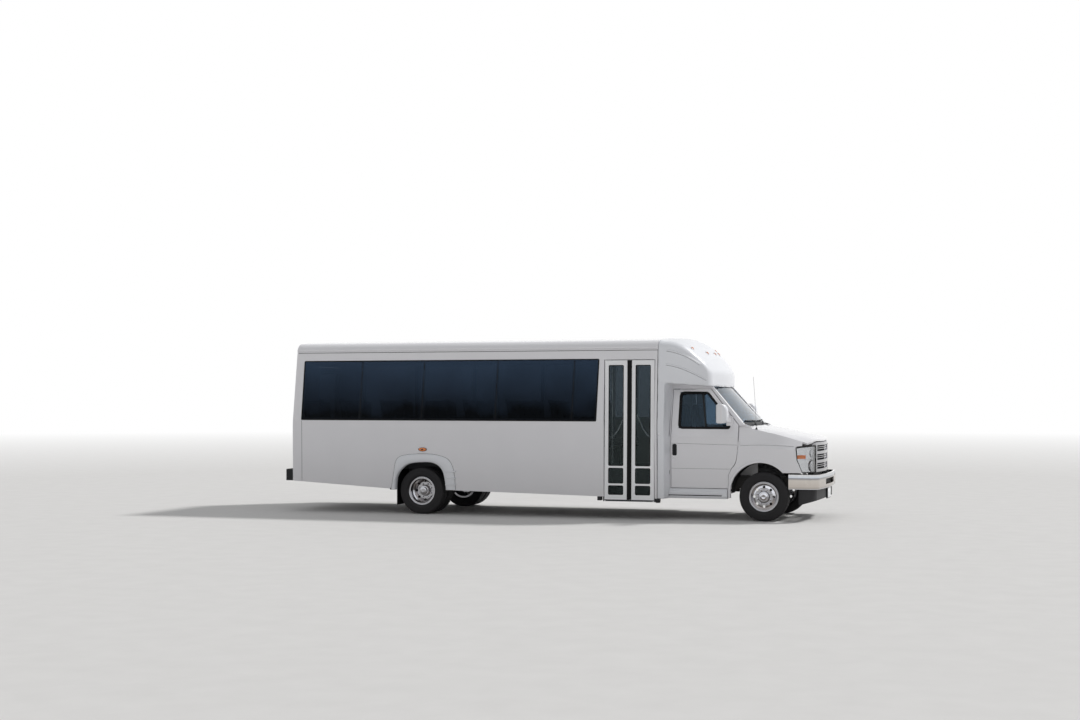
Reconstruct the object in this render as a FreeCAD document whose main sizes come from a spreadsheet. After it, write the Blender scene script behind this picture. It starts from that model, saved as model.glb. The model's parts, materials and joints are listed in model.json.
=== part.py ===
"""Shuttle minibus: a long passenger body on a van chassis with its own cab, hood and cab doors.

Frame: +X forward, +Y to the driver's side, +Z up, millimetres. Every sub-part is drawn with
X = 0 at the rear axle, Y = 0 on the centre line and Z = 0 on the ground. One placement then
moves them all back so that the origin lies under the middle of the whole bus.
"""
import FreeCAD, Part
import math
import os
import re

import Sketcher
from FreeCAD import Placement, Rotation, Vector

# Driving dimensions. Columns: name, value in millimetres or degrees, what it measures.
SIZES = [
    # Chassis layout, measured along the bus from the rear axle
    ("wheelbase", 5480, "rear axle to front axle"),
    ("rear_overhang", 2460, "rear axle back to the bumper's rear face"),
    ("front_overhang", 870, "front axle to the front bumper's face"),
    ("rail_low", 470, "underside of the frame rails"),
    ("rail_top", 650, "top of the frame rails"),
    ("rail_half", 470, "centre line to a rail's outer face"),
    ("rail_flange", 70, "width of a rail's flanges"),
    ("rail_sheet", 9, "sheet of the rails"),
    ("pad_rear", 1300, "rear axle forward to the rear jacking pads"),
    ("pad_front", 4100, "rear axle forward to the front jacking pads"),
    ("pad_half", 60, "half length of the jacking pads"),
    ("pad_thick", 10, "thickness of the jacking pads"),
    # Wheels
    ("tyre_radius", 372, "radius of a tyre"),
    ("tyre_half", 111, "half of a tyre's width"),
    ("tread_half", 88, "half of the tread's width"),
    ("rim_radius", 206, "bead seat of the rim"),
    ("rim_lip", 224, "outer radius of the rim's lip"),
    ("rim_half", 84, "half of the rim's width over its lips"),
    ("rim_sheet", 9, "sheet of the rim"),
    ("fit_gap", 0.3, "seat clearance between assembled pieces"),
    ("shaft_gap", 0.05, "running clearance on pins and spindles"),
    ("front_track_half", 879, "centre line to the middle of a front tyre"),
    ("rear_outer_half", 1059, "centre line to the middle of an outer rear tyre"),
    ("rear_inner_half", 797, "centre line to the middle of an inner rear tyre"),
    ("spindle_radius", 32, "radius of the wheel spindles"),
    ("hub_radius", 86, "radius of the wheel hubs"),
    ("king_half", 742, "centre line to the steering pivot"),
    ("king_radius", 17, "radius of the steering pivot pin"),
    ("beam_half_height", 42, "half of the front beam's height"),
    # Passenger body
    ("body_half", 1219, "half of the body's width at the belt"),
    ("skirt_half", 1205, "half of the body's width at the skirt"),
    ("gutter_half", 1150, "half of the body's width at the gutter"),
    ("wall", 45, "thickness of the side and rear walls"),
    ("body_rear", 2262, "rear axle back to the rear wall"),
    ("rear_lean", 60, "forward lean of the rear wall's top"),
    ("lean_start", 1400, "height where the rear wall starts to lean"),
    ("cap_seam", 3890, "rear axle forward to the front cap's seam"),
    ("skirt_rear", 505, "skirt height at the rear corner"),
    ("skirt_axle", 395, "skirt height beside the rear wheels"),
    ("skirt_front", 326, "skirt height at the cap seam"),
    ("belt", 1506, "belt line, the bottom of the window band"),
    ("gutter", 2623, "height of the gutter"),
    ("shoulder_rise", 122, "gutter up to where the roof's shoulder ends"),
    ("shoulder", "=gutter + shoulder_rise", "height where the roof's shoulder ends"),
    ("shoulder_half", 1040, "half width where the roof's shoulder ends"),
    ("roof_rise", 177, "gutter up to the top of the roof"),
    ("roof_top", "=gutter + roof_rise", "top of the roof"),
    ("roof_wall", 40, "thickness of the roof"),
    ("roof_round", 85, "rounding of the roof's rear edge"),
    ("drip", 9, "how far the drip rail stands out"),
    ("floor_top", 760, "saloon floor"),
    ("floor_wall", 60, "thickness of the floor"),
    # Window band
    ("band_top", 2456, "top of the window band"),
    ("band_rear", 2100, "rear axle back to the band's end"),
    ("band_front", 2920, "rear axle forward to the band's front"),
    ("left_band_front", 3720, "the same on the driver's side"),
    ("pillar_a", -1060, "first window joint"),
    ("pillar_b", 20, "second window joint"),
    ("pillar_c", 1270, "third window joint"),
    ("pillar_d", 2530, "fourth window joint"),
    ("window_slant", 36, "forward slant of the window joints over their height"),
    ("window_lip", 32, "wall lip behind each pane's edge"),
    ("pane", 8, "thickness of the side panes"),
    ("pane_joint", 3, "half of the joint between two panes"),
    # Rear wheel opening and flare
    ("arch_rear", 428, "opening behind the rear axle"),
    ("arch_front", 436, "opening ahead of the rear axle"),
    ("arch_top", 850, "top of the rear wheel opening"),
    ("arch_round", 190, "corner radius of the wheel opening"),
    ("flare_width", 92, "width of the flare round the opening"),
    ("flare_proud", 32, "how far the flare stands out"),
    ("flare_low", 392, "lower end of the flares"),
    ("mat_half", 230, "half width of the aisle mat"),
    ("mat_thick", 3, "thickness of the aisle mat"),
    ("box_half", 455, "half length of the wheel boxes in the floor"),
    ("box_top", 905, "top of the wheel boxes"),
    # Entry doorway
    ("door_rear", 3045, "rear edge of the entry doorway"),
    ("door_front", 3850, "front edge of the entry doorway"),
    ("door_top", 2450, "top of the entry doorway"),
    ("leaf_low", 300, "lower edge of the door leaves"),
    ("leaf_gap", 10, "clearance round the door leaves"),
    ("pivot_radius", 5, "radius of the door pivot pins"),
    ("pivot_in", 9, "pivot pins' distance in from a door's outer corner"),
    ("pivot_deep", 20, "how far the pivot pins stand in the doors"),
    ("leaf_seal", 30, "half width of the seal between the leaves"),
    ("leaf_thick", 38, "thickness of a door leaf"),
    ("leaf_side", 66, "width of a leaf's upright"),
    ("leaf_head", 80, "height of a leaf's top and bottom rails"),
    ("leaf_bar", 44, "height of a leaf's cross bars"),
    ("bar_high", 802, "height of the upper cross bar"),
    ("bar_low", 533, "height of the lower cross bar"),
    ("door_pane", 8, "thickness of the door panes"),
    ("step_low", 296, "height of the first step"),
    ("step_mid", 528, "height of the second step"),
    ("step_in", 945, "half width where the first riser stands"),
    ("well_in", 720, "half width where the stepwell ends"),
    ("step_sheet", 26, "thickness of the steps"),
    # Rear door
    ("exit_half", 455, "half width of the rear doorway"),
    ("exit_low", 790, "sill of the rear doorway"),
    ("exit_top", 2380, "head of the rear doorway"),
    ("exit_gap", 10, "clearance round the rear door"),
    # Front cap
    ("cap_nose", 4795, "foremost point of the front cap"),
    ("cap_rear_low", 2090, "underside of the cap at its rear"),
    ("cap_nose_low", 2024, "underside of the cap at its nose"),
    ("cap_wall", 28, "thickness of the cap"),
    ("cap_corner", 3995, "front corner of the body beside the cab"),
    # Cab
    ("cab_rear", 4035, "rear face of the cab"),
    ("cab_half", 1000, "half of the cab's width at the belt"),
    ("cab_low_half", 985, "half of the cab's width at the door's bottom"),
    ("cab_top_half", 800, "half of the cab's width at its top"),
    ("cab_belt", 1270, "height of the cab's widest line"),
    ("cab_floor", 720, "floor of the cab"),
    ("cab_wall", 55, "thickness of the cab doors and pillars"),
    ("cab_door_rear", 4058, "rear edge of the cab door"),
    ("cab_door_front", 5090, "front edge of the cab door at the belt"),
    ("cab_door_low", 490, "lower edge of the cab door"),
    ("cab_door_top", 1992, "upper edge of the cab door"),
    ("cab_door_gap", 9, "clearance round the cab doors"),
    ("swing_gap", 6, "room between a swinging cab door and what it passes"),
    ("cab_glass", 6, "thickness of the cab's panes"),
    ("dash_rear", 4960, "rear edge of the dashboard"),
    ("column_radius", 11, "radius of the steering shaft in its hub"),
    ("cowl", 5280, "rear edge of the hood"),
    ("screen_foot", 1460, "height of the windshield's foot"),
    ("screen_corner", 108, "cowl back to the windshield's lower corners"),
    ("screen_middle", 30, "cowl back to the middle of its lower edge"),
    ("screen_half", 820, "half of the windshield's width at its foot"),
    ("screen_opening", 760, "half width of the opening behind it"),
    ("hood_front", 6250, "front tip of the hood"),
    ("hood_sheet", 26, "thickness of the hood"),
    ("hood_gap", 7, "gap between the hood and its neighbours"),
    ("hood_axis", 1440, "height of the hood's hinge axis"),
    ("hinge_radius", 5, "outer radius of the small hinges"),
    ("hinge_pin", 2.5, "radius of the small hinges' pins"),
    ("hinge_long", 60, "length of the small hinges"),
    ("fender_wall", 46, "thickness of the front fenders"),
    ("fender_arch", 456, "radius of the front wheel opening"),
    ("fender_arch_height", 428, "height of that opening's centre"),
    # Front end
    ("bumper_low", 493, "lower edge of the front bumper"),
    ("bumper_top", 712, "upper edge of the front bumper"),
    ("bumper_half", 985, "half of the front bumper's width"),
    ("bumper_sheet", 26, "thickness of the bumpers"),
    ("valance_low", 262, "lower edge of the front valance"),
    ("grille_low", 738, "lower edge of the grille"),
    ("grille_top", 1188, "upper edge of the grille"),
    ("grille_half", 600, "half of the grille's width"),
    ("grille_face", 6262, "foremost point of the grille"),
    # Rear end
    ("rear_bumper_low", 500, "lower edge of the rear bumper"),
    ("rear_bumper_high", 180, "height of the rear bumper"),
    ("rear_bumper_half", 1130, "half of the rear bumper's width"),
    # Engine and tank, plain blocks
    ("engine_rear", 4930, "rear face of the engine"),
    ("engine_length", 820, "length of the engine"),
    ("engine_half", 300, "half of the engine's width"),
    ("engine_low", 560, "underside of the engine"),
    ("engine_high", 590, "height of the engine"),
    ("tank_rear", -2080, "rear end of the fuel tank"),
    ("tank_length", 1040, "length of the fuel tank"),
    # Seats
    ("seat_pitch", 762, "spacing of the saloon seat rows"),
    ("seat_first", -2020, "front of the rearmost seat row's back"),
    ("seat_width", 880, "width of a double seat"),
    ("cab_seat_at", 4200, "front of the cab seats' backs"),
    ("cab_seat_half", 500, "centre line to the middle of a cab seat"),
    ("seat_high", 1080, "height of a seat back over the floor"),
    ("seat_count_right", 6, "seat rows beside the entry door's wall"),
    ("seat_count_left", 7, "seat rows on the driver's side"),
]

doc = FreeCAD.newDocument("Minibus")
sheet = doc.addObject("Spreadsheet::Sheet", "Sizes")
for row, (alias, number, meaning) in enumerate(SIZES, start=1):
    sheet.set(f"A{row}", alias)
    sheet.set(f"B{row}", str(number))
    sheet.set(f"C{row}", meaning)
    sheet.setAlias(f"B{row}", alias)
doc.recompute()

NAMES = {alias for alias, number, meaning in SIZES}
SHIFT = "(rear_overhang - front_overhang - wheelbase) / 2"
RIGHT, LEFT = -1, 1
SIDES = (("right", RIGHT), ("left", LEFT))
MARGIN = 60
SUBPARTS = []


def bind(formula):
    """Return the formula with the sheet's name before each of its sizes."""
    def named(match):
        word = match.group(0)
        return "Sizes." + word if word in NAMES else word
    return re.sub(r"[a-z][a-z_]*", named, str(formula))


def value(formula):
    """Work out a formula of sheet sizes as a plain number."""
    found = sheet.evalExpression(bind(formula))
    return float(getattr(found, "Value", found))


def settle(item, x="0", y="0", z="0"):
    """Bind an object's placement to the frame's shift, plus its own offset, and list it."""
    item.setExpression("Placement.Base.x", bind(f"{SHIFT} + {x}"))
    item.setExpression("Placement.Base.y", bind(y))
    item.setExpression("Placement.Base.z", bind(z))
    SUBPARTS.append(item)
    return item


def new_body(label):
    """Start a sub-part that is built from sketches."""
    body = doc.addObject("PartDesign::Body", label)
    body.Label = label
    body.AllowCompound = True
    return body


def grouped(label, bodies):
    """Add a sub-part that holds the solids of several bodies side by side."""
    item = doc.addObject("Part::Compound", label)
    item.Label = label
    item.Links = bodies
    return settle(item)


def new_feature(label, shape):
    """Add a sub-part whose shape comes from solids made here."""
    item = doc.addObject("Part::Feature", label)
    item.Label = label
    item.Shape = shape
    return settle(item)


def origin_plane(body, role):
    """Find one of a body's three origin planes."""
    return next(part for part in body.Origin.OriginFeatures if part.Role == role)


def outline(body, name, role, loops, offset="0"):
    """Draw closed loops on an origin plane, each point held by formulas.

    A point is (across, up), or (across, up, via) where an arc through `via` leads to it.
    """
    sketch = body.newObject("Sketcher::SketchObject", name)
    sketch.AttachmentSupport = [(origin_plane(body, role), "")]
    sketch.MapMode = "FlatFace"
    sketch.setExpression("AttachmentOffset.Base.z", bind(offset))
    for loop in loops:
        draw_loop(sketch, loop)
    return sketch


def arc_through(start, via, end):
    """Arc drawn anticlockwise through three points, and whether it ends at its far point."""
    curve = Part.Arc(start, via, end).toShape().Curve
    centre, radius = curve.Center, curve.Radius

    def angle_at(spot):
        return math.atan2(spot.y - centre.y, spot.x - centre.x) % (2 * math.pi)

    turn = (angle_at(end) - angle_at(start)) % (2 * math.pi)
    forward = (angle_at(via) - angle_at(start)) % (2 * math.pi) < turn
    first, last = (start, end) if forward else (end, start)
    low = angle_at(first)
    high = low + (angle_at(last) - low) % (2 * math.pi)
    circle = Part.Circle(centre, Vector(0, 0, 1), radius)
    return Part.ArcOfCircle(circle, low, high), forward


def draw_loop(sketch, loop):
    """Add one closed loop of lines and arcs to a sketch and bind its points."""
    spots = [Vector(value(point[0]), value(point[1]), 0) for point in loop]
    edges = []
    tips = []
    for index, point in enumerate(loop):
        start, end = spots[index - 1], spots[index]
        if len(point) > 2:
            via = Vector(value(point[2][0]), value(point[2][1]), 0)
            curve, forward = arc_through(start, via, end)
        else:
            curve, forward = Part.LineSegment(start, end), True
        edges.append(sketch.addGeometry(curve))
        tips.append(2 if forward else 1)
    for index, point in enumerate(loop):
        follower = (index + 1) % len(loop)
        edge, tip = edges[index], tips[index]
        sketch.addConstraint(
            Sketcher.Constraint("Coincident", edge, tip, edges[follower], 3 - tips[follower]))
        pin_point(sketch, edge, tip, point)
        if len(point) > 2:
            spot = Vector(value(point[2][0]), value(point[2][1]), 0)
            helper = sketch.addGeometry(Part.Point(spot), True)
            sketch.addConstraint(Sketcher.Constraint("PointOnObject", helper, 1, edge))
            pin_point(sketch, helper, 1, point[2])


def pin_point(sketch, edge, tip, point):
    """Hold one point of a sketch at the place that two formulas give."""
    for kind, formula in (("DistanceX", point[0]), ("DistanceY", point[1])):
        number = sketch.addConstraint(Sketcher.Constraint(kind, edge, tip, value(formula)))
        sketch.setExpression(f"Constraints[{number}]", bind(formula))


def pad(body, sketch, length, both_ways=False, reverse=False):
    """Raise a sketch into a solid."""
    feature = body.newObject("PartDesign::Pad", sketch.Name + "_pad")
    feature.Profile = sketch
    feature.SideType = "Symmetric" if both_ways else "One side"
    feature.Reversed = reverse
    feature.setExpression("Length", bind(length))
    return feature


def pocket(body, sketch, length, both_ways=True, reverse=False):
    """Cut a sketch out of a body."""
    feature = body.newObject("PartDesign::Pocket", sketch.Name + "_cut")
    feature.Profile = sketch
    feature.SideType = "Symmetric" if both_ways else "One side"
    feature.Reversed = reverse
    feature.setExpression("Length", bind(length))
    return feature


def rectangle(low_x, high_x, low_y, high_y):
    """Four corners of a rectangle as formulas."""
    return [(low_x, low_y), (high_x, low_y), (high_x, high_y), (low_x, high_y)]


def bar(label_body, name, role, loops, offset, length):
    """Pad loops that start at a given offset from an origin plane."""
    return pad(label_body, outline(label_body, name, role, loops, offset), length)


def block(low, high):
    """A box between two corners."""
    size = [high[i] - low[i] for i in range(3)]
    return Part.makeBox(size[0], size[1], size[2], Vector(*low))


def wire_of(points):
    """Closed wire through 3-D points; a point with a fourth entry ends an arc through it."""
    edges = []
    for index, point in enumerate(points):
        start = Vector(*points[index - 1][:3])
        end = Vector(*point[:3])
        if len(point) > 3:
            edges.append(Part.Arc(start, Vector(*point[3]), end).toShape())
        else:
            edges.append(Part.LineSegment(start, end).toShape())
    return Part.Wire(edges)


def slab(points, axis, low, high):
    """Prism of a flat outline, along "x", "y" or "z" between two values.

    Outline points are (y, z), (x, z) or (x, y); a third entry is the middle of an arc.
    """
    order = {"x": lambda a, b: (low, a, b), "y": lambda a, b: (a, low, b), "z": lambda a, b: (a, b, low)}
    spot = order[axis]
    corners = []
    for point in points:
        corner = spot(point[0], point[1])
        corners.append(corner + (spot(*point[2]),) if len(point) > 2 else corner)
    along = {"x": Vector(1, 0, 0), "y": Vector(0, 1, 0), "z": Vector(0, 0, 1)}[axis]
    return Part.Face(wire_of(corners)).extrude(along * (high - low))


def mirrored(shape):
    """The same shape on the other side of the centre line."""
    return shape.mirror(Vector(0, 0, 0), Vector(0, 1, 0))


def number(alias):
    """A size from the sheet as a plain number."""
    return float(getattr(sheet, alias))


def body_section(side, low):
    """Section of a side wall: skirt to belt to gutter, outside then back inside."""
    return [
        (f"{side} * skirt_half", low),
        (f"{side} * body_half", "belt"),
        (f"{side} * gutter_half", "gutter"),
        (f"{side} * (gutter_half - wall)", "gutter"),
        (f"{side} * (body_half - wall)", "belt"),
        (f"{side} * (skirt_half - wall)", low),
    ]


def roof_arcs(side, inset):
    """Two arcs of half a roof, from the gutter up and over to the other shoulder."""
    return [
        (f"{side} * shoulder_half", f"shoulder - {inset}",
         (f"{side} * (0.36 * shoulder_half + 0.64 * gutter_half - 0.7 * {inset})",
          f"0.32 * gutter + 0.68 * shoulder - 0.7 * {inset}")),
        (f"{-side} * shoulder_half", f"shoulder - {inset}", ("0", f"roof_top - {inset}")),
    ]


def window_lines(side):
    """Joints of a side's window band, from the rear forward."""
    lines = ["-band_rear", "pillar_a", "pillar_b", "pillar_c", "pillar_d"]
    if side == RIGHT:
        return lines + ["band_front"]
    return lines + ["band_front + 3 * pane_joint", "left_band_front"]


def leaning_outline(body, name, side, loops):
    """Sketch on the outer face of a side wall above the belt, which leans inward."""
    sketch = outline(body, name, "XZ_Plane", loops, f"{-side} * body_half")
    sketch.setExpression("AttachmentOffset.Base.y", bind("belt"))
    sketch.AttachmentOffset = Placement(
        sketch.AttachmentOffset.Base, Rotation(Vector(1, 0, 0), 1))
    tilt = f"{side} * atan((body_half - gutter_half) / (gutter - belt))"
    sketch.setExpression("AttachmentOffset.Rotation.Angle", bind(tilt))
    return sketch


def leaning_pane(rear, front, inset):
    """One slanted window outline between two joints, drawn in from its edges."""
    high = "((band_top - belt) / cos(atan((body_half - gutter_half) / (gutter - belt))))"
    return [
        (f"{rear} + {inset}", f"{inset}"),
        (f"{front} - {inset}", f"{inset}"),
        (f"{front} - {inset} + window_slant", f"{high} - {inset}"),
        (f"{rear} + {inset} + window_slant", f"{high} - {inset}"),
    ]


def skirt_loop():
    """Region under the rising skirt line, seen from the side."""
    return [
        (f"-body_rear - {MARGIN}", f"skirt_front - {MARGIN}"),
        (f"cap_seam + {MARGIN}", f"skirt_front - {MARGIN}"),
        (f"cap_seam + {MARGIN}", "skirt_front"),
        ("arch_front", "skirt_axle"),
        ("-arch_rear", "skirt_axle"),
        (f"-body_rear - {MARGIN}", "skirt_rear"),
    ]


def lean_loop():
    """Region behind the leaning rear wall and its rounded top edge."""
    rear_at_top = "-body_rear + rear_lean"
    return [
        (f"-body_rear - {MARGIN}", "lean_start"),
        ("-body_rear", "lean_start"),
        (rear_at_top, "roof_top - roof_round"),
        (f"{rear_at_top} + roof_round", "roof_top",
         (f"{rear_at_top} + 0.293 * roof_round", "roof_top - 0.293 * roof_round")),
        (f"{rear_at_top} + roof_round", f"roof_top + {MARGIN}"),
        (f"-body_rear - {MARGIN}", f"roof_top + {MARGIN}"),
    ]


def arch_loop(grow, low):
    """Outline of the rear wheel opening, grown by a width, down to a height."""
    rear, front, top = f"(-arch_rear - {grow})", f"(arch_front + {grow})", f"(arch_top + {grow})"
    turn = f"(arch_round + {grow})"
    return [
        (rear, low),
        (front, low),
        (front, f"{top} - {turn}"),
        (f"{front} - {turn}", top, (f"{front} - 0.293 * {turn}", f"{top} - 0.293 * {turn}")),
        (f"{rear} + {turn}", top),
        (rear, f"{top} - {turn}", (f"{rear} + 0.293 * {turn}", f"{top} - 0.293 * {turn}")),
    ]


def make_side_wall(name, side):
    """Side wall of the saloon with its rebated window band, wheel opening and doorway."""
    body = new_body(f"{name}_wall")
    section = outline(body, f"{name}_wall_section", "YZ_Plane",
                      [body_section(side, "skirt_front")], "-body_rear")
    pad(body, section, "body_rear + cap_seam")
    wide = "2 * body_half + 200"
    pocket(body, outline(body, f"{name}_skirt", "XZ_Plane", [skirt_loop()]), wide)
    pocket(body, outline(body, f"{name}_lean", "XZ_Plane", [lean_loop()]), wide)
    arch = outline(body, f"{name}_arch", "XZ_Plane", [arch_loop("0", f"skirt_front - {MARGIN}")])
    pocket(body, arch, wide)
    if side == RIGHT:
        doorway = rectangle("door_rear", "door_front", f"skirt_front - {MARGIN}", "door_top")
        pocket(body, outline(body, "entry_doorway", "XZ_Plane", [doorway]), wide)
    lines = window_lines(side)
    band = leaning_outline(body, f"{name}_rebate", side, [leaning_pane(lines[0], lines[-1], "0")])
    pocket(body, band, "pane", both_ways=False, reverse=side == LEFT)
    openings = [leaning_pane(rear, front, "window_lip") for rear, front in zip(lines, lines[1:])]
    holes = leaning_outline(body, f"{name}_openings", side, openings)
    pocket(body, holes, "4 * wall")
    return settle(body)


def make_side_windows():
    """Flush side panes in the rebates of both window bands, one solid for each."""
    body = new_body("side_windows")
    for name, side in SIDES:
        lines = window_lines(side)
        panes = [leaning_pane(rear, front, "pane_joint") for rear, front in zip(lines, lines[1:])]
        sketch = leaning_outline(body, f"{name}_panes", side, panes)
        pad(body, sketch, "pane", reverse=side == RIGHT)
    return settle(body)


def make_roof():
    """Cambered roof with rounded shoulders and a drip rail along each side."""
    body = new_body("roof")
    loop = [("gutter_half + drip", "gutter"), ("gutter_half + drip", "gutter + 2 * drip"),
            ("gutter_half", "gutter + 3 * drip")]
    loop += roof_arcs(1, "0")
    loop += [("-gutter_half", "gutter + 3 * drip",
              ("-(0.36 * shoulder_half + 0.64 * gutter_half)", "0.32 * gutter + 0.68 * shoulder")),
             ("-gutter_half - drip", "gutter + 2 * drip"), ("-gutter_half - drip", "gutter"),
             ("-gutter_half + wall", "gutter")]
    loop += [("-shoulder_half + 0.3 * wall", "shoulder - roof_wall"),
             ("shoulder_half - 0.3 * wall", "shoulder - roof_wall", ("0", "roof_top - roof_wall")),
             ("gutter_half - wall", "gutter")]
    section = outline(body, "roof_section", "YZ_Plane", [loop], "-body_rear")
    pad(body, section, "body_rear + cap_seam")
    pocket(body, outline(body, "roof_lean", "XZ_Plane", [lean_loop()]), "2 * body_half + 200")
    return settle(body)


def make_rear_wall():
    """Rear wall between the side walls, leaning above the belt, with its doorway."""
    body = new_body("rear_wall")
    inner = [
        ("-(skirt_half - wall)", "skirt_rear"), ("skirt_half - wall", "skirt_rear"),
        ("body_half - wall", "belt"), ("gutter_half - wall", "gutter"),
        ("shoulder_half - 0.3 * wall", "shoulder - roof_wall"),
        ("-shoulder_half + 0.3 * wall", "shoulder - roof_wall", ("0", "roof_top - roof_wall")),
        ("-gutter_half + wall", "gutter"), ("-body_half + wall", "belt"),
    ]
    pad(body, outline(body, "rear_section", "YZ_Plane", [inner], "-body_rear"),
        "wall + rear_lean")
    wide = "2 * body_half + 200"
    pocket(body, outline(body, "rear_outside", "XZ_Plane", [lean_loop()]), wide)
    inside = [
        ("-body_rear + wall", f"skirt_front - {MARGIN}"),
        (f"-body_rear + wall + rear_lean + {MARGIN}", f"skirt_front - {MARGIN}"),
        (f"-body_rear + wall + rear_lean + {MARGIN}", f"roof_top + {MARGIN}"),
        ("-body_rear + wall + rear_lean", f"roof_top + {MARGIN}"),
        ("-body_rear + wall + rear_lean", "roof_top - roof_round"),
        ("-body_rear + wall", "lean_start"),
    ]
    pocket(body, outline(body, "rear_inside", "XZ_Plane", [inside]), wide)
    doorway = rectangle("-exit_half", "exit_half", "exit_low", "exit_top")
    pocket(body, outline(body, "exit_doorway", "YZ_Plane", [doorway], "-body_rear"), "8 * wall")
    return settle(body)


def exit_panel(inset, low, high, thick_from, thick_to):
    """Slice of the rear door, inset from the doorway, between two depths in the wall."""
    rear, lean = -number("body_rear"), number("rear_lean")
    start, top = number("lean_start"), number("roof_top") - number("roof_round")
    slope = lean / (top - start)
    ahead = (high - start) * slope
    side_view = [
        (rear + thick_from, low), (rear + thick_from, start), (rear + thick_from + ahead, high),
        (rear + thick_to + ahead, high), (rear + thick_to, start), (rear + thick_to, low),
    ]
    if low > start:
        behind = (low - start) * slope
        side_view = [
            (rear + thick_from + behind, low), (rear + thick_from + ahead, high),
            (rear + thick_to + ahead, high), (rear + thick_to + behind, low),
        ]
    half = number("exit_half") - inset
    return slab(side_view, "y", -half, half)


def make_rear_door():
    """Rear emergency door with one window, its pane, and its pivot pins."""
    gap, wall, belt = number("exit_gap"), number("wall"), number("belt")
    low, high = number("exit_low") + gap, number("exit_top") - gap
    frame = 95
    opening = exit_panel(gap + frame, belt, high - frame, -wall, 2 * wall)
    door = exit_panel(gap, low, high, 0, wall).cut(opening)
    pane = exit_panel(gap + frame, belt, high - frame, 0.3 * wall, 0.3 * wall + number("pane"))
    radius, deep, inward = number("pivot_radius"), number("pivot_deep"), number("pivot_in")
    spot = Vector(-number("body_rear") + inward, -number("exit_half") + gap + inward, 0)
    up = Vector(0, 0, 1)
    door = door.cut(Part.makeCylinder(radius + number("shaft_gap"), deep + 2, spot + up * (low - 2), up))
    pins = [Part.makeCylinder(radius, gap + deep - 1, spot + up * (low - gap), up)]
    base = number("lean_start") - 6
    ear = block((spot.x - inward, spot.y - gap - inward, base), (spot.x + 14, spot.y + 14, base + 12))
    door = door.cut(block((spot.x - 40, spot.y - 60, base - 6), (spot.x + 22, spot.y + 22, base + 18)))
    bore = Part.makeCylinder(radius + number("shaft_gap"), deep, spot + up * (base - 5 - deep), up)
    door = door.cut(bore)
    pins.append(ear.fuse(Part.makeCylinder(radius, deep + 6, spot + up * (base + 5 - deep), up)))
    new_feature("rear_door", door)
    new_feature("rear_door_glass", pane)
    new_feature("rear_door_pins", Part.makeCompound(pins))


def make_floor():
    """Saloon floor in panels that lie on its sills, with the mat down its aisle."""
    inner, box_in = "(skirt_half - wall)", "(rear_inner_half - tyre_half - 50)"
    under = "floor_top - floor_wall"
    # Panels from the rear on. Columns: rear, front, right and left edge.
    panels = [
        ("-body_rear + wall", "-box_half", f"-{inner}", inner),
        ("-box_half", "box_half", f"-{box_in}", box_in),
        ("box_half", "door_rear", f"-{inner}", inner),
        ("door_rear", "door_front", "-well_in + step_sheet", inner),
        ("door_front", "cap_seam", f"-{inner}", inner),
        ("cap_seam", "cab_rear - 2", "-cab_half + 16", "cab_half - 16"),
    ]
    bodies = []
    for row, edges in enumerate(panels):
        bodies.append(new_body(f"floor_panel_{row}"))
        bar(bodies[-1], f"panel_{row}", "XY_Plane", [rectangle(*edges)], under, "floor_wall")
    stations = ["-2130", "-1500", "-820", "820", "1560", "2300", "2960"]
    sills = [rectangle(f"{station} - 30", f"{station} + 30", f"-{inner} + 4", f"{inner} - 4")
             for station in stations]
    bodies.append(new_body("floor_sills"))
    bar(bodies[-1], "sills", "XY_Plane", sills, "rail_top", f"{under} - rail_top")
    bodies.append(new_body("aisle_mat"))
    mat = rectangle("-body_rear + 300", "door_rear - 100", "-mat_half", "mat_half")
    bar(bodies[-1], "mat", "XY_Plane", [mat], "floor_top", "mat_thick")
    return grouped("body_floor", bodies)


def make_wheel_boxes():
    """Boxes over the rear wheels, open below and towards the side walls."""
    body = new_body("wheel_boxes")
    inner, box_in = "(skirt_half - wall)", "(rear_inner_half - tyre_half - 50)"
    boxes = [rectangle("-box_half", "box_half", box_in, inner),
             rectangle("-box_half", "box_half", f"-{inner}", f"-{box_in}")]
    bar(body, "box_blocks", "XY_Plane", boxes, "floor_top - floor_wall", "box_top - floor_top + floor_wall")
    rear, front = "-box_half + step_sheet", "box_half - step_sheet"
    hollows = [rectangle(rear, front, f"{box_in} + step_sheet", f"{inner} + {MARGIN}"),
               rectangle(rear, front, f"-{inner} - {MARGIN}", f"-{box_in} - step_sheet")]
    hollow = outline(body, "wheel_hollows", "XY_Plane", hollows, "box_top - step_sheet")
    pocket(body, hollow, "2 * floor_top", both_ways=False)
    return settle(body)


def make_entry_steps():
    """Two steps behind the entry door, their risers and the cheeks beside them."""
    rear, front, sheet_thick = number("door_rear"), number("door_front"), number("step_sheet")
    outer = -number("skirt_half") + number("leaf_thick") + 2 * number("leaf_gap")
    first, second = -number("step_in"), -number("well_in")
    low, middle, high = number("step_low"), number("step_mid"), number("floor_top")
    boards = [
        block((rear, outer, low - sheet_thick), (front, first, low)),
        block((rear, first, low - sheet_thick), (front, first + sheet_thick, middle)),
        block((rear, first + sheet_thick, middle - sheet_thick), (front, second, middle)),
        block((rear, second, middle - sheet_thick), (front, second + sheet_thick, high)),
    ]
    wall_side, under = -number("skirt_half") + number("wall") + 8, high - number("floor_wall")
    first, second = first + sheet_thick, second + sheet_thick
    cheek = [(wall_side, low - sheet_thick), (first, low - sheet_thick), (first, middle - sheet_thick),
             (second, middle - sheet_thick), (second, under), (wall_side, under)]
    cheeks = [slab(cheek, "x", rear - sheet_thick, rear), slab(cheek, "x", front, front + sheet_thick)]
    new_feature("entry_steps", Part.makeCompound(boards + cheeks))


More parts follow.
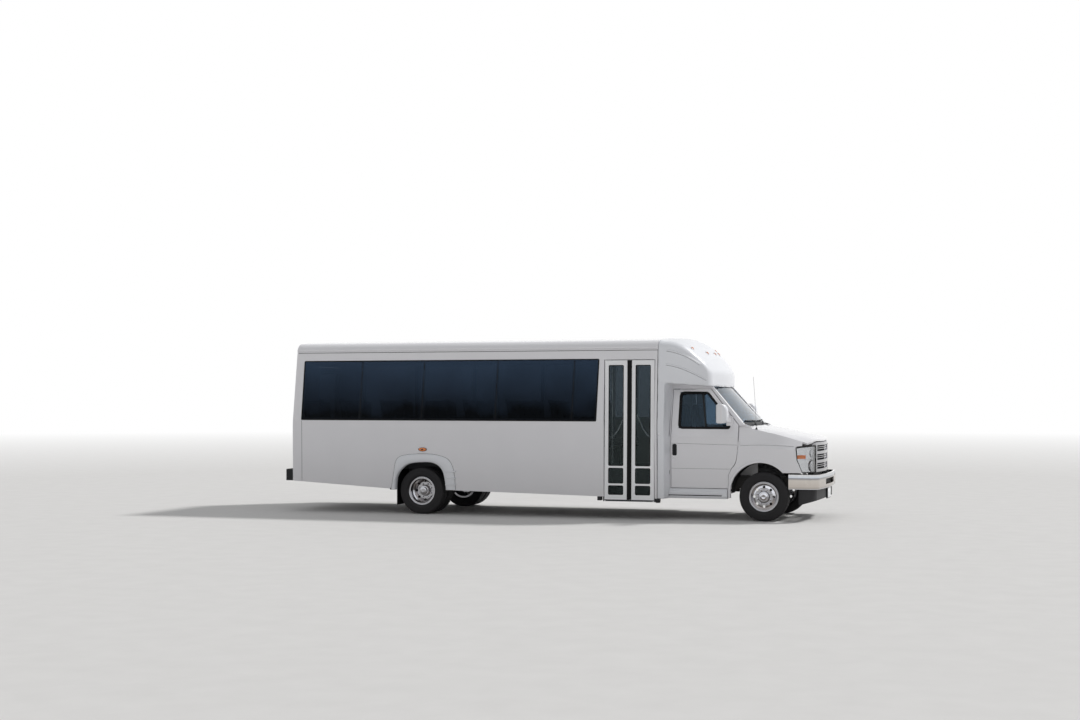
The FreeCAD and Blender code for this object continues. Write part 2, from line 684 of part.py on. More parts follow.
def make_flares():
    """Wheel opening flares on both sides, with three strakes down each front leg."""
    solids = []
    for name, side in SIDES:
        grow = number("flare_width")
        inner = number("skirt_half")
        outer = inner + number("flare_proud")
        low = number("flare_low")
        wide = arch_points(grow, low)
        narrow = arch_points(0, low - MARGIN)
        ring = slab(wide, "y", inner, outer).cut(slab(narrow, "y", inner - 10, outer + 10))
        bevel = 22
        crest = slab(arch_points(grow - bevel, low - MARGIN), "y", outer - 12, outer + 10)
        lip = slab(arch_points(grow + MARGIN, low - MARGIN), "y", outer - 12, outer + 10).cut(crest)
        ring = ring.cut(lip)
        for row in range(3):
            height = low + 70 + row * 56
            strake = block((number("arch_front") + 12, outer - 12, height),
                           (number("arch_front") + grow + 5, outer - 2, height + 14))
            ring = ring.cut(strake.translated(Vector(0, 6, 0)))
        ring = ring.cut(body_prism(0, 300, 1500, -800, 800))
        solids.append(ring if side == LEFT else mirrored(ring))
    new_feature("wheel_flares", Part.makeCompound(solids))


def arch_points(grow, low):
    """The rear wheel opening's outline as plain numbers."""
    def numeric(point):
        flat = (value(point[0]), value(point[1]))
        return flat if len(point) < 3 else flat + ((value(point[2][0]), value(point[2][1])),)
    return [numeric(point) for point in arch_loop(str(grow), str(low))]


# Sections of the front cap over the cab. Columns: station along the bus, rise of its top over
# the roof, rise and half width of its shoulder, rise and half width of its side's upper edge.
CAP_SECTIONS = [
    (3890, 12, -55, 1040, -150, 1150),
    (4120, -38, -112, 1010, -210, 1115),
    (4360, -148, -244, 960, -330, 1052),
    (4570, -295, -408, 900, -490, 985),
    (4710, -420, -538, 850, -610, 930),
    (4810, -585, -680, 800, -730, 880),
]


def cap_solid(inset):
    """Solid of the over-cab dome, drawn in by a thickness."""
    roof = number("roof_top")
    low, high = number("cap_nose_low") - 124, roof + 150
    wires = []
    for station, top_rise, brow_rise, shoulder_half, edge_rise, edge_half in CAP_SECTIONS:
        top, shoulder, edge = roof + top_rise, roof + brow_rise, roof + edge_rise
        at = station - (inset * 0.7 if station > CAP_SECTIONS[0][0] else MARGIN if inset else 0)
        rise, spread = top - inset, shoulder_half - inset * 0.4
        side_half, base_half = edge_half - inset, edge_half - inset + 0.062 * (edge - low)
        brow = shoulder - inset * 0.9
        cheek = edge - inset * 0.3
        middle = (0.36 * spread + 0.64 * side_half, 0.32 * cheek + 0.68 * brow)
        wires.append(wire_of([
            (at, base_half, low),
            (at, side_half, cheek),
            (at, spread, brow, (at, middle[0], middle[1])),
            (at, -spread, brow, (at, 0, rise)),
            (at, -side_half, cheek, (at, -middle[0], middle[1])),
            (at, -base_half, low),
        ]))
    dome = Part.makeLoft(wires, True, False)
    nose = number("cap_nose") - inset
    seam = number("cap_seam")
    corner = number("cap_corner")
    half = number("body_half") + 20 - inset
    start = seam - MARGIN if inset else seam
    plan = [
        (start, half), (corner - inset, half - 25), (4560, 985 - inset),
        (4725 - inset * 0.6, 800 - inset, (4675 - inset * 0.7, 925 - inset)),
        (4725 - inset * 0.6, -800 + inset, (nose, 0)),
        (4560, -985 + inset, (4675 - inset * 0.7, -925 + inset)),
        (corner - inset, -half + 25), (start, -half),
    ]
    lift = inset
    side_view = [
        (start, number("cap_rear_low") + lift), (corner, number("cap_rear_low") + lift),
        (number("cap_nose") + MARGIN, number("cap_nose_low") + lift),
        (number("cap_nose") + MARGIN, high), (start, high),
    ]
    return dome.common(slab(plan, "z", low - 50, high)).common(slab(side_view, "y", -1400, 1400))


def body_prism(inset, low, high, rear, front):
    """Prism of the saloon body's section below the gutter, drawn in by a thickness."""
    skirt, belt_half = number("skirt_half") - inset, number("body_half") - inset
    top, belt = number("gutter_half") - inset, number("belt")
    base = number("skirt_front")
    points = [(skirt, base), (belt_half, belt), (top, number("gutter")),
              (-top, number("gutter")), (-belt_half, belt), (-skirt, base)]
    whole = slab(points, "x", rear, front)
    return whole.common(block((rear - 10, -2000, low), (front + 10, 2000, high)))


def cab_door_sweep():
    """Space behind the cab doors that their leaning rear edges pass through as they open."""
    half, belt, top = number("cab_half"), number("cab_belt"), number("cab_door_top")
    axis = number("cab_door_front") + number("hood_gap") / 2
    lean = (half - number("cab_top_half")) / (2045 - belt)
    inner = number("cab_wall") + lean * (top - belt)
    reach = math.hypot(axis - number("cab_door_rear"), inner) + number("swing_gap")
    rear = number("cab_rear")
    corner = block((rear - 40, half - inner - 20, belt), (rear + 1, half + 60, top + 12))
    left = Part.makeCylinder(reach, top + 12 - belt, Vector(axis, half, belt)).common(corner)
    return [left, mirrored(left)]


def make_front_cap():
    """Moulded front cap: the dome over the cab and the body's two front corners."""
    inset = number("cap_wall")
    shell = cap_solid(0).cut(cap_solid(inset))
    seam, corner, cab_rear = number("cap_seam"), number("cap_corner"), number("cab_rear")
    low, high = number("skirt_front"), number("cap_rear_low")
    wall = number("wall")
    strip = body_prism(0, low, high, seam, corner + 50).cut(
        body_prism(wall, low - 10, high + 10, seam - 10, corner + 60))
    half, cab_half = number("body_half"), number("cab_half")
    face = [(seam, half + 30), (corner - 30, half + 30), (corner, half - 24),
            (cab_rear - 1, cab_half - 10), (seam, cab_half - 10)]
    corners = []
    for name, side in SIDES:
        plan = [(x, side * y) for x, y in face]
        column = slab(plan, "z", low, high)
        hollow = [(seam - 10, side * (half - wall)), (corner - wall, side * (half - wall - 30)),
                  (cab_rear - wall, side * (cab_half - 20)), (seam - 10, side * (cab_half - 20))]
        column = column.cut(slab(hollow, "z", low - 10, high + 10))
        corners.append(column.common(body_prism(0, low, high, seam, corner + 100)))
    bulkhead = body_prism(0, low, high - 1, cab_rear - wall, cab_rear - 1).common(
        block((seam, -cab_half, low), (cab_rear, cab_half, high)))
    inside = cab_prism(wall + 5, seam, cab_rear + 10).common(
        block((seam, -1100, 500), (cab_rear + 165, 1100, 2020)))
    bulkhead = bulkhead.cut([inside, block((seam, -905, 200), (cab_rear, 905, 700)),
                             block((seam, -cab_half + 15, 690), (cab_rear, cab_half - 15, 761))])
    window = block((cab_rear + 40, -number("cab_top_half") + 60, 1950),
                   (cab_rear + 565, number("cab_top_half") - 60, high + 40))
    shell = shell.cut(window)
    cap = shell.fuse([strip.cut(slab([(corner - 30, -2000), (corner + 90, -2000),
                                      (corner + 90, 2000), (corner - 30, 2000)], "z", 0, 3000))]
                     + corners + [bulkhead]).cut(cab_door_sweep()).removeSplitter()
    new_feature("front_cap", cap)


def cab_prism(inset, rear, front):
    """Prism of the cab's section, widest at its belt and leaning in above, drawn in."""
    floor, belt, top = 300, number("cab_belt"), 2100
    low, wide = number("cab_low_half") - inset, number("cab_half") - inset
    lean = (number("cab_half") - number("cab_top_half")) / (2045 - belt)
    narrow = wide - lean * (top - belt)
    points = [(low, floor), (wide, belt), (narrow, top), (-narrow, top), (-wide, belt), (-low, floor)]
    return slab(points, "x", rear, front)


def door_outline(gap):
    """Cab door seen from the side, grown by a gap."""
    rear, front = number("cab_door_rear") - gap, number("cab_door_front") + gap
    low, top = number("cab_door_low") - gap, number("cab_door_top") + gap
    return [
        (rear, low), (front - 148, low), (front - 145, 700), (front - 95, 800),
        (front - 25, 930, (front - 52, 858)), (front, 1130), (front, 1452 + gap * 0.6),
        (front - 445, top), (rear, top),
    ]


def window_outline(inset):
    """Cab door's window seen from the side, drawn in from its edges."""
    rear, low, top = number("cab_door_rear") + 108, 1398, number("cab_door_top") - 40
    return [
        (rear + inset, low + inset), (4962 - inset, low + inset), (4962 - inset, 1512 - inset * 0.4),
        (4600 - inset * 0.6, top - inset), (rear + inset, top - inset),
    ]


def make_cab_shell():
    """Cab: pillars, header, floor, firewall, cowl and engine cover round the two doorways."""
    rear, cowl = number("cab_rear"), number("cowl")
    wall, floor = number("cab_wall"), number("cab_floor")
    top_rear, top_nose = number("cap_rear_low"), number("cap_nose_low")
    slope = (top_nose - top_rear) / (number("cap_nose") - number("cap_corner"))
    header, front = 4672, cowl - 7
    side_view = [
        (rear, 480), (rear, top_rear + slope * (rear - number("cap_corner")) - 1),
        (header, top_rear + slope * (header - number("cap_corner")) - 1), (5172, 1462),
        (front, 1432), (front, 900), (4985, 790), (4985, 480),
    ]
    inner_view = [
        (rear - 10, floor), (rear - 10, 2200), (header - 70, 2200), (header - 40, 1960),
        (5120, 1400), (cowl - 60, 1370), (cowl - 60, 940), (4965, floor + 90), (4940, floor),
    ]
    shell = slab(side_view, "y", -1100, 1100).common(cab_prism(0, rear, cowl))
    shell = shell.cut(slab(inner_view, "y", -1100, 1100).common(cab_prism(wall, rear - 20, cowl)))
    doorways = slab(door_outline(number("cab_door_gap")), "y", -1200, 1200)
    shell = shell.cut(doorways.cut(cab_prism(wall + 12, rear, cowl)))
    half = number("screen_opening")
    shell = shell.cut(slab([(4668, 1990), (5145, 1492), (5260, 1620), (4790, 2120)], "y", -half, half))
    shell = shell.cut(screen_loft(1.4 * number("cab_glass") + 0.5, 400, 1))
    shell = shell.cut(block((rear - 10, -720, floor), (rear + wall + 20, 720, 2020)))
    under = block((rear - 10, -1100, 400), (5000, 1100, floor - 60))
    rocker = cab_prism(-50, rear, cowl).cut(cab_prism(wall + 30, rear - 5, cowl + 5))
    shell = shell.cut(under.cut(rocker))
    beside = slab([(953, 200), (953, 1097), (903, 1400), (903, 1446), (1200, 1446), (1200, 200)],
                  "x", 4900, 5400).fuse(fender_skin()).common(slab(fender_outline(5), "y", 800, 1200))
    shell = shell.cut(beside).cut(mirrored(beside))
    outer, inner = engine_cover_blocks()
    shell = shell.cut(outer).fuse(outer.cut(inner)).removeSplitter()
    for leaf, leaf_relief, frame, frame_relief in hood_hinges():
        shell = shell.cut(frame_relief).fuse(frame)
    new_feature("cab_shell", shell)


def hinge(base, along, leaf_way, frame_way, side):
    """Small hinge from `base` on its axis: solids to add to and cut from the leaf and the frame.

    `leaf_way` and `frame_way` are the reach of the two webs, `side` their thickness.
    """
    outer, pin = number("hinge_radius"), number("hinge_pin")
    relief, third = outer + 2, number("hinge_long") / 3

    def tube(radius, low, high):
        return Part.makeCylinder(radius, high - low, base + along * low, along)

    def web(way, low, high, spare=0):
        start = base + along * low - side * spare
        across = side * (1 + 2 * spare)
        corners = [start, start + way, start + way + across, start + across]
        return Part.Face(wire_of([tuple(corner) for corner in corners])).extrude(along * (high - low))

    bore = tube(pin + number("shaft_gap"), third - 1, 2 * third + 1)
    knuckle = [third + 0.4, 2 * third - 0.4]
    leaf = tube(outer, *knuckle).fuse(web(leaf_way, *knuckle)).cut(bore)
    ears = [tube(outer, low, low + third).fuse(web(frame_way, low, low + third)) for low in (0, 2 * third)]
    frame = ears[0].fuse([ears[1], tube(pin, 1, 3 * third - 1)])
    leaf_relief = [tube(relief, -2, third + 0.4), tube(relief, 2 * third - 0.4, 3 * third + 2)]
    frame_relief = [tube(relief, third - 1.6, 2 * third + 1.6),
                    web(leaf_way, third - 1.6, 2 * third + 1.6, 0.12)]
    return leaf, leaf_relief, frame, frame_relief


def cab_door_hinges():
    """Hinges of the left cab door, on an upright axis at its front edge."""
    along, middle = Vector(0, 0, 1), number("cab_door_front") + number("hood_gap") / 2
    return [hinge(Vector(middle, number("cab_half"), height), along, Vector(-26, 0, 0), Vector(26, 0, 0),
                  Vector(0, -14, 0)) for height in (1030, 1136)]


def hood_hinges():
    """Hinges at the hood's rear corners, on an axis level with its highest point."""
    spot = number("cowl") - number("hood_gap") / 2
    return [hinge(Vector(spot, across, number("hood_axis")), Vector(0, 1, 0), Vector(24, 0, -16),
                  Vector(-24, 0, 0), Vector(0, 0, -12)) for across in (-650, 590)]


def engine_cover_blocks():
    """Outside and inside of the cover over the engine's rear part, in the cab."""
    gap, thick = 16, 14
    rear, half = number("engine_rear"), number("engine_half")
    top = number("engine_low") + number("engine_high")
    front = number("cowl") - 7
    low = number("cab_floor") - 60
    outer = block((rear - gap - thick, -half - gap - thick, low),
                  (front, half + gap + thick, top + gap + thick))
    inner = block((rear - gap, -half - gap, low - 10), (front + 10, half + gap, top + gap))
    return outer, inner


def mirror_head():
    """Driver's side mirror on its arm and foot, which stand on the door's skin."""
    head = block((4812, 1105, 1478), (4925, 1290, 1768))
    head = head.makeFillet(28, head.Edges)
    arm = slab([(4868, 1120), (4905, 1120), (4990, 992), (4930, 975)], "z", 1496, 1560)
    foot = block((4915, 930, 1440), (5010, 990, 1580))
    skin = cab_prism(0, 3900, 5400)
    return head.fuse([arm.cut(skin), foot.cut(skin)])


def make_cab_doors():
    """Two cab doors with their mirrors and panes."""
    wall = number("cab_wall")
    skin = cab_prism(0, 3900, 5400).cut(cab_prism(wall, 3890, 5410))
    glass_from = 0.35 * wall
    glass_to = glass_from + number("cab_glass")
    glass = cab_prism(glass_from, 3900, 5400).cut(cab_prism(glass_to, 3890, 5410))
    left = block((3900, 100, 300), (5400, 1400, 2200))
    door = skin.common(slab(door_outline(0), "y", 100, 1200))
    door = door.cut(slab(window_outline(0), "y", 100, 1200)).fuse(mirror_head()).removeSplitter()
    for leaf, leaf_relief, frame, frame_relief in cab_door_hinges():
        door = door.cut(leaf_relief).fuse(leaf)
    pane = glass.common(slab(window_outline(0), "y", 100, 1200)).common(left)
    for name, side in SIDES:
        new_feature(f"cab_door_{name}", door if side == LEFT else mirrored(door))
        new_feature(f"cab_door_glass_{name}", pane if side == LEFT else mirrored(pane))


def screen_loft(behind, ahead, spread):
    """Raked and bowed solid that follows the windshield, between two horizontal sections."""
    wires, cowl = [], number("cowl")
    for height in (1430, 2060):
        rise = height - number("screen_foot")
        corner = cowl - number("screen_corner") - 0.933 * rise
        middle = cowl - number("screen_middle") - 0.907 * rise
        half = number("screen_half") - 0.139 * rise + spread
        wires.append(wire_of([
            (corner - behind, -half, height),
            (corner - behind, half, height, (middle - behind, 0, height)),
            (corner + ahead, half, height),
            (corner + ahead, -half, height, (middle + ahead, 0, height)),
        ]))
    rear, rear_z = number("cap_corner"), number("cap_rear_low")
    slope = (number("cap_nose_low") - rear_z) / (number("cap_nose") - rear)
    under = rear_z - 3
    side_view = [
        (4500, under + slope * (4500 - rear)), (4500, 1654 + spread), (5172, 1464 - spread),
        (cowl + 400, 1464 - 0.288 * (cowl + 400 - 5172) - spread), (cowl + 400, under + slope * 1600),
    ]
    return Part.makeLoft(wires, True, True).common(slab(side_view, "y", -900, 900))


def make_windshield():
    """Raked windshield, bowed forward in plan."""
    new_feature("windshield", screen_loft(1.4 * number("cab_glass"), 0, 0))


# Sections of the hood. Columns: station, height on the centre line, height at the shoulders,
# height and half width of the edge where the hood meets the fenders.
HOOD_SECTIONS = [
    (5280, 1440, 1428, 1398, 902),
    (5580, 1385, 1372, 1330, 893),
    (5880, 1330, 1314, 1250, 872),
    (6090, 1288, 1270, 1188, 842),
    (6200, 1252, 1236, 1156, 820),
    (6264, 1214, 1200, 1136, 806),
]
# Sections of a front fender. Columns: station, half width at the side, height of the crease,
# drop of the upper edge and its half width, both taken at the hood's edge.
FENDER_SECTIONS = [
    (4920, 1000, 1126, 1452, 912),
    (5280, 1000, 1118, 1398, 902),
    (5600, 1000, 1104, 1325, 892),
    (5860, 990, 1084, 1256, 873),
    (6000, 965, 1071, 1216, 857),
    (6120, 918, 1060, 1180, 838),
]


def make_hood():
    """Hood: a crowned lid whose nose rounds down to the grille."""
    thick, bend = number("hood_sheet"), 560
    wires = []
    for station, centre, shoulder, edge, edge_half in HOOD_SECTIONS:
        half = edge_half - number("hood_gap") / 2
        turn = ((bend + half) / 2, (shoulder + edge) / 2 + 16)
        wires.append(wire_of([
            (station, -half, edge),
            (station, -bend, shoulder, (station, -turn[0], turn[1])),
            (station, bend, shoulder, (station, 0, centre)),
            (station, half, edge, (station, turn[0], turn[1])),
            (station, half, edge - thick),
            (station, bend, shoulder - thick, (station, turn[0], turn[1] - thick)),
            (station, -bend, shoulder - thick, (station, 0, centre - thick)),
            (station, -half, edge - thick, (station, -turn[0], turn[1] - thick)),
        ]))
    skin = Part.makeLoft(wires, True, False)
    front = number("hood_front")
    plan = [(5200, -1000), (6112, -1000), (6112, -838), (front - 82, -745), (front - 50, -620),
            (front - 50, 620, (front, 0)), (front - 82, 745), (6112, 838), (6112, 1000), (5200, 1000)]
    lid = skin.common(slab(plan, "z", 900, 1600))
    for leaf, leaf_relief, frame, frame_relief in hood_hinges():
        lid = lid.cut(leaf_relief).fuse(leaf)
    new_feature("hood", lid)


def fender_outline(grow):
    """Front fender seen from the side, its rear edge moved back by a little."""
    axle = number("wheelbase")
    front = number("cab_door_front") + number("hood_gap") - grow
    low = 345
    return [
        (front - 152, low - grow), (axle + 700, low - grow), (axle + 700, 738), (6050, 738), (5978, 930),
        (5966, 1132), (6044, 1140), (6044, 1300), (5172, 1600), (front, 1600),
        (front, 1130), (front - 25, 925), (front - 95, 795, (front - 50, 852)), (front - 145, 700),
    ]


def fender_skin():
    """Curved wall of the left front fender before its openings are cut."""
    wall = number("fender_wall")
    wires = []
    for station, side_half, crease, edge, half in FENDER_SECTIONS:
        half = half + number("hood_gap") / 2
        wires.append(wire_of([
            (station, side_half, 250), (station, side_half, crease), (station, half, edge),
            (station, half, edge - wall), (station, side_half - wall, crease - wall * 0.5),
            (station, side_half - wall, 250),
        ]))
    return Part.makeLoft(wires, True, False)


def make_fenders():
    """Front fenders with the wheel openings and the sides of the nose."""
    axle, radius = number("wheelbase"), number("fender_arch")
    height = number("fender_arch_height")
    panel = fender_skin().common(slab(fender_outline(0), "y", 700, 1200))
    opening = Part.makeCylinder(radius, 600, Vector(axle - 48, 600, height), Vector(0, 1, 0))
    panel = panel.cut(opening).cut(block((axle - 48, 600, 200), (axle + 900, 1200, 736)))
    for leaf, leaf_relief, frame, frame_relief in cab_door_hinges():
        panel = panel.cut(frame_relief).fuse(frame)
    new_feature("front_fenders", Part.makeCompound([panel, mirrored(panel)]))


def make_headlamps():
    """Corner headlamps that wrap from the grille round to the fenders."""
    inner = number("grille_half")
    plan = [(5956, 976), (6070, 925), (6168, 842, (6128, 893)), (6204, inner, (6196, 730)),
            (6144, inner), (6090, 800), (5956, 905)]
    side_view = [(5978.3, 930), (5967.5, 1112), (6050, 1124), (6230, 1140), (6230, 745), (6050, 738)]
    lens = slab(plan, "z", 700, 1200).common(slab(side_view, "y", 500, 1100))
    new_feature("headlamps", Part.makeCompound([lens, mirrored(lens)]))


def make_grille():
    """Grille: a bowed frame with a wide centre bar between upper and lower slots."""
    body = new_body("grille")
    back = "grille_face - 110"
    plan = [
        (f"{back}", "-grille_half"), ("grille_face - 55", "-grille_half"),
        ("grille_face - 55", "grille_half", ("grille_face", "0")), (f"{back}", "grille_half"),
    ]
    bar(body, "grille_plan", "XY_Plane", [plan], "grille_low", "grille_top - grille_low")
    slots = []
    rim, ribs = 46, 3
    pitch = (number("grille_top") - number("grille_low") - rim) / ribs
    for index in range(ribs):
        low = f"grille_low + {rim + index * pitch:.1f}"
        high = f"grille_low + {(index + 1) * pitch:.1f}"
        slots.append(rectangle(f"-grille_half + {rim}", f"grille_half - {rim}", low, high))
    pocket(body, outline(body, "grille_slots", "YZ_Plane", slots, "grille_face"), "130")
    return settle(body)


def make_radiator():
    """Radiator behind the grille, one plain block on the bumper's arms."""
    body = new_body("radiator")
    plan = rectangle("grille_face - 200", "grille_face - 110", "-rail_half + 30", "rail_half - 30")
    bar(body, "radiator_plan", "XY_Plane", [plan], "bumper_low + 50", "grille_top - bumper_low - 130")
    return settle(body)


def make_front_bumper():
    """Front bumper: a wrapped bar with an air slot in its middle."""
    body = new_body("front_bumper")
    face = "(wheelbase + front_overhang)"
    loop = [
        ("wheelbase + 374", "-bumper_half"), (f"{face} - 150", "-bumper_half + 12"),
        (f"{face} - 48", "-bumper_half + 180", (f"{face} - 75", "-bumper_half + 62")),
        (f"{face} - 48", "bumper_half - 180", (face, "0")),
        (f"{face} - 150", "bumper_half - 12", (f"{face} - 75", "bumper_half - 62")),
        ("wheelbase + 374", "bumper_half"), ("wheelbase + 374", "bumper_half - bumper_sheet"),
        (f"{face} - 158", "bumper_half - 12 - bumper_sheet"),
        (f"{face} - 74", "bumper_half - 190", (f"{face} - 97", "bumper_half - 82")),
        (f"{face} - 74", "-bumper_half + 190", (f"{face} - bumper_sheet", "0")),
        (f"{face} - 158", "-bumper_half + 12 + bumper_sheet", (f"{face} - 97", "-bumper_half + 82")),
        ("wheelbase + 374", "-bumper_half + bumper_sheet"),
    ]
    bar(body, "bumper_plan", "XY_Plane", [loop], "bumper_low", "bumper_top - bumper_low")
    slot = rectangle("-430", "430", "bumper_low + 58", "bumper_top - 78")
    pocket(body, outline(body, "bumper_slot", "YZ_Plane", [slot], face), "400")
    arms = [rectangle("wheelbase + 470", f"{face} - bumper_sheet - 8", "rail_half - rail_flange", "rail_half"),
            rectangle("wheelbase + 470", f"{face} - bumper_sheet - 8", "-rail_half", "-rail_half + rail_flange")]
    bar(body, "bumper_arms", "XY_Plane", arms, "bumper_low + 10", "40")
    return settle(body)


def make_front_valance():
    """Valance under the front bumper, its lower edge rising to the front."""
    body = new_body("front_valance")
    face = "(wheelbase + front_overhang)"
    loop = [
        ("wheelbase + 520", "-bumper_half + 40"),
        (f"{face} - 90", "-bumper_half + 200", (f"{face} - 130", "-bumper_half + 82")),
        (f"{face} - 90", "bumper_half - 200", (f"{face} - 45", "0")),
        ("wheelbase + 520", "bumper_half - 40", (f"{face} - 130", "bumper_half - 82")),
        ("wheelbase + 520", "bumper_half - 64"),
        (f"{face} - 114", "bumper_half - 210", (f"{face} - 152", "bumper_half - 104")),
        (f"{face} - 114", "-bumper_half + 210", (f"{face} - 69", "0")),
        ("wheelbase + 520", "-bumper_half + 64", (f"{face} - 152", "-bumper_half + 104")),
    ]
    bar(body, "valance_plan", "XY_Plane", [loop], "valance_low", "bumper_low - valance_low")
    rise = [("wheelbase + 560", "valance_low"), (f"{face}", "valance_low + 88"),
            (f"{face}", f"valance_low - {MARGIN}"), ("wheelbase + 400", f"valance_low - {MARGIN}"),
            ("wheelbase + 400", "valance_low")]
    pocket(body, outline(body, "valance_rise", "XZ_Plane", [rise]), "2400")
    return settle(body)


def make_rear_bumper():
    """Rear bumper with tapered ends and two brackets to the frame."""
    body = new_body("rear_bumper")
    rear, wall_face = "-rear_overhang", "-body_rear"
    loop = [
        (wall_face, "-rear_bumper_half"), ("-rear_overhang + 36", "-rear_bumper_half"),
        (rear, "-rear_bumper_half + 110"), (rear, "rear_bumper_half - 110"),
        ("-rear_overhang + 36", "rear_bumper_half"), (wall_face, "rear_bumper_half"),
        (wall_face, "rear_bumper_half - bumper_sheet"),
        ("-rear_overhang + 50", "rear_bumper_half - bumper_sheet"),
        ("-rear_overhang + bumper_sheet", "rear_bumper_half - 125"),
        ("-rear_overhang + bumper_sheet", "-rear_bumper_half + 125"),
        ("-rear_overhang + 50", "-rear_bumper_half + bumper_sheet"),
        (wall_face, "-rear_bumper_half + bumper_sheet"),
    ]
    bar(body, "rear_bumper_plan", "XY_Plane", [loop], "rear_bumper_low", "rear_bumper_high")
    rear, front = "-rear_overhang + bumper_sheet", "-body_rear + wall"
    brackets = [rectangle(rear, front, "rail_half - rail_flange", "rail_half"),
                rectangle(rear, front, "-rail_half", "-rail_half + rail_flange")]
    sketch = outline(body, "rear_brackets", "XY_Plane", brackets, "rail_low")
    pad(body, sketch, "skirt_rear - rail_low - 2")
    shelf = [rectangle(rear, "-body_rear - 1", "-rail_half", "-rail_half + rail_flange"),
             rectangle(rear, "-body_rear - 1", "rail_half - rail_flange", "rail_half")]
    pad(body, outline(body, "rear_shelf", "XY_Plane", shelf, "rail_low"), "120")
    return settle(body)


def make_chassis():
    """Ladder frame: two channel rails, the cross members between them and four jacking pads."""
    body = new_body("frame_rails")
    rails = []
    for side in (RIGHT, LEFT):
        outer, inner = f"{side} * rail_half", f"{side} * (rail_half - rail_flange)"
        web = f"{side} * (rail_half - rail_sheet)"
        rails.append([
            (outer, "rail_low"), (outer, "rail_top"), (inner, "rail_top"),
            (inner, "rail_top - rail_sheet"), (web, "rail_top - rail_sheet"),
            (web, "rail_low + rail_sheet"), (inner, "rail_low + rail_sheet"), (inner, "rail_low"),
        ])
    front = "wheelbase + 470"
    bar(body, "rails", "YZ_Plane", rails, "-body_rear + wall", f"{front} + body_rear - wall")
    stations = ["-2160", "-980", "700", "1700", "2900", "4300", "5260", "5900"]
    half = "(rail_half - rail_sheet)"
    members = [rectangle(f"{station} - 35", f"{station} + 35", f"-{half}", half) for station in stations]
    inside = new_body("frame_members")
    bar(inside, "cross_members", "XY_Plane", members, "rail_low + rail_sheet",
        "engine_low - rail_low - rail_sheet")
    pads = [rectangle(f"{place} - pad_half", f"{place} + pad_half", *sorted(
        (f"{side} * rail_half", f"{side} * (rail_half - rail_flange)"), reverse=side == LEFT))
        for place in ("pad_rear", "pad_front") for side in (RIGHT, LEFT)]
    bar(inside, "jacking_pads", "XY_Plane", pads, "rail_low - pad_thick", "pad_thick")
    return grouped("chassis_frame", [body, inside])


def make_engine():
    """Engine as one plain block."""
    body = new_body("engine_block")
    plan = rectangle("engine_rear", "engine_rear + engine_length", "-engine_half", "engine_half")
    bar(body, "engine_plan", "XY_Plane", [plan], "engine_low", "engine_high")
    return settle(body)


def make_tank():
    """Fuel tank between the rails behind the rear axle."""
    body = new_body("fuel_tank")
    plan = rectangle("tank_rear", "tank_rear + tank_length", "-rail_half + rail_flange + 25",
                     "rail_half - rail_flange - 25")
    feature = bar(body, "tank_plan", "XY_Plane", [plan], "rail_low - 90", "engine_low - rail_low + 90")
    doc.recompute()
    fillet = body.newObject("PartDesign::Fillet", "tank_rounding")
    upright = [f"Edge{index + 1}" for index, edge in enumerate(feature.Shape.Edges)
               if edge.BoundBox.ZLength > 20]
    fillet.Base = (feature, upright)
    fillet.Radius = 55
    straps = [rectangle(f"tank_rear + {at} - 30", f"tank_rear + {at} + 30", "-rail_half + rail_sheet",
                        "rail_half - rail_sheet") for at in ("150", "tank_length - 150")]
    bar(body, "tank_straps", "XY_Plane", straps, "engine_low", "rail_sheet")
    return settle(body)


def make_rear_axle():
    """Rear axle with its differential, leaf springs and the propeller shaft."""
    centre = number("tyre_radius")
    end = number("rear_outer_half") - 60
    tube_end = number("rear_inner_half") - 20
    tube = Part.makeCylinder(52, 2 * tube_end, Vector(0, -tube_end, centre), Vector(0, 1, 0))
    spindle = Part.makeCylinder(number("spindle_radius"), 2 * end, Vector(0, -end, centre), Vector(0, 1, 0))
    ball = Part.makeSphere(150, Vector(0, 0, centre))
    ball = ball.common(block((-160, -110, 0), (160, 110, 800)))
    shaft = Part.makeCylinder(42, 4800, Vector(120, 0, centre), Vector(4800, 0, 58))
    parts = [spindle, ball, shaft]
    rail_low = number("rail_low")
    for side in (RIGHT, LEFT):
        y = side * (number("rail_half") + 48)
        leaf = [(-700, rail_low + 60), (-660, rail_low + 60), (0, centre + 90, (-340, centre + 112)),
                (660, rail_low + 60, (340, centre + 112)), (700, rail_low + 60), (700, rail_low + 30),
                (640, rail_low + 30), (0, centre + 30, (330, centre + 60)),
                (-640, rail_low + 30, (-330, centre + 60)), (-700, rail_low + 30)]
        parts.append(slab(leaf, "y", y - 38, y + 38))
        parts.append(block((-60, y - 45, centre - 60), (60, y + 45, centre + 60)))
        for x in (-680, 680):
            inner = side * number("rail_half")
            low, high = sorted((inner, y + side * 45))
            parts.append(block((x - 25, low, rail_low + 20), (x + 25, high, rail_low + 110)))
    new_feature("rear_axle", tube.fuse(parts))


def make_front_axle():
    """Front beam with its two pivot eyes and the spring seats up to the rails."""
    axle, centre = number("wheelbase"), number("tyre_radius")
    king, half = number("king_half"), number("beam_half_height")
    eye_radius = 40
    beam = block((axle - 45, -king + 10, centre - half), (axle + 45, king - 10, centre + half))
    parts = []
    for side in (RIGHT, LEFT):
        parts.append(Part.makeCylinder(eye_radius, 2 * half, Vector(axle, side * king, centre - half)))
        seat = number("rail_half") - number("rail_flange") / 2
        low = centre + half
        parts.append(Part.makeCylinder(48, number("rail_low") - low, Vector(axle, side * seat, low)))
    beam = beam.fuse(parts)
    for side in (RIGHT, LEFT):
        bore = Part.makeCylinder(number("king_radius") + number("shaft_gap"), 400,
                                 Vector(axle, side * king, centre - 200))
        beam = beam.cut(bore)
    new_feature("front_axle", beam)


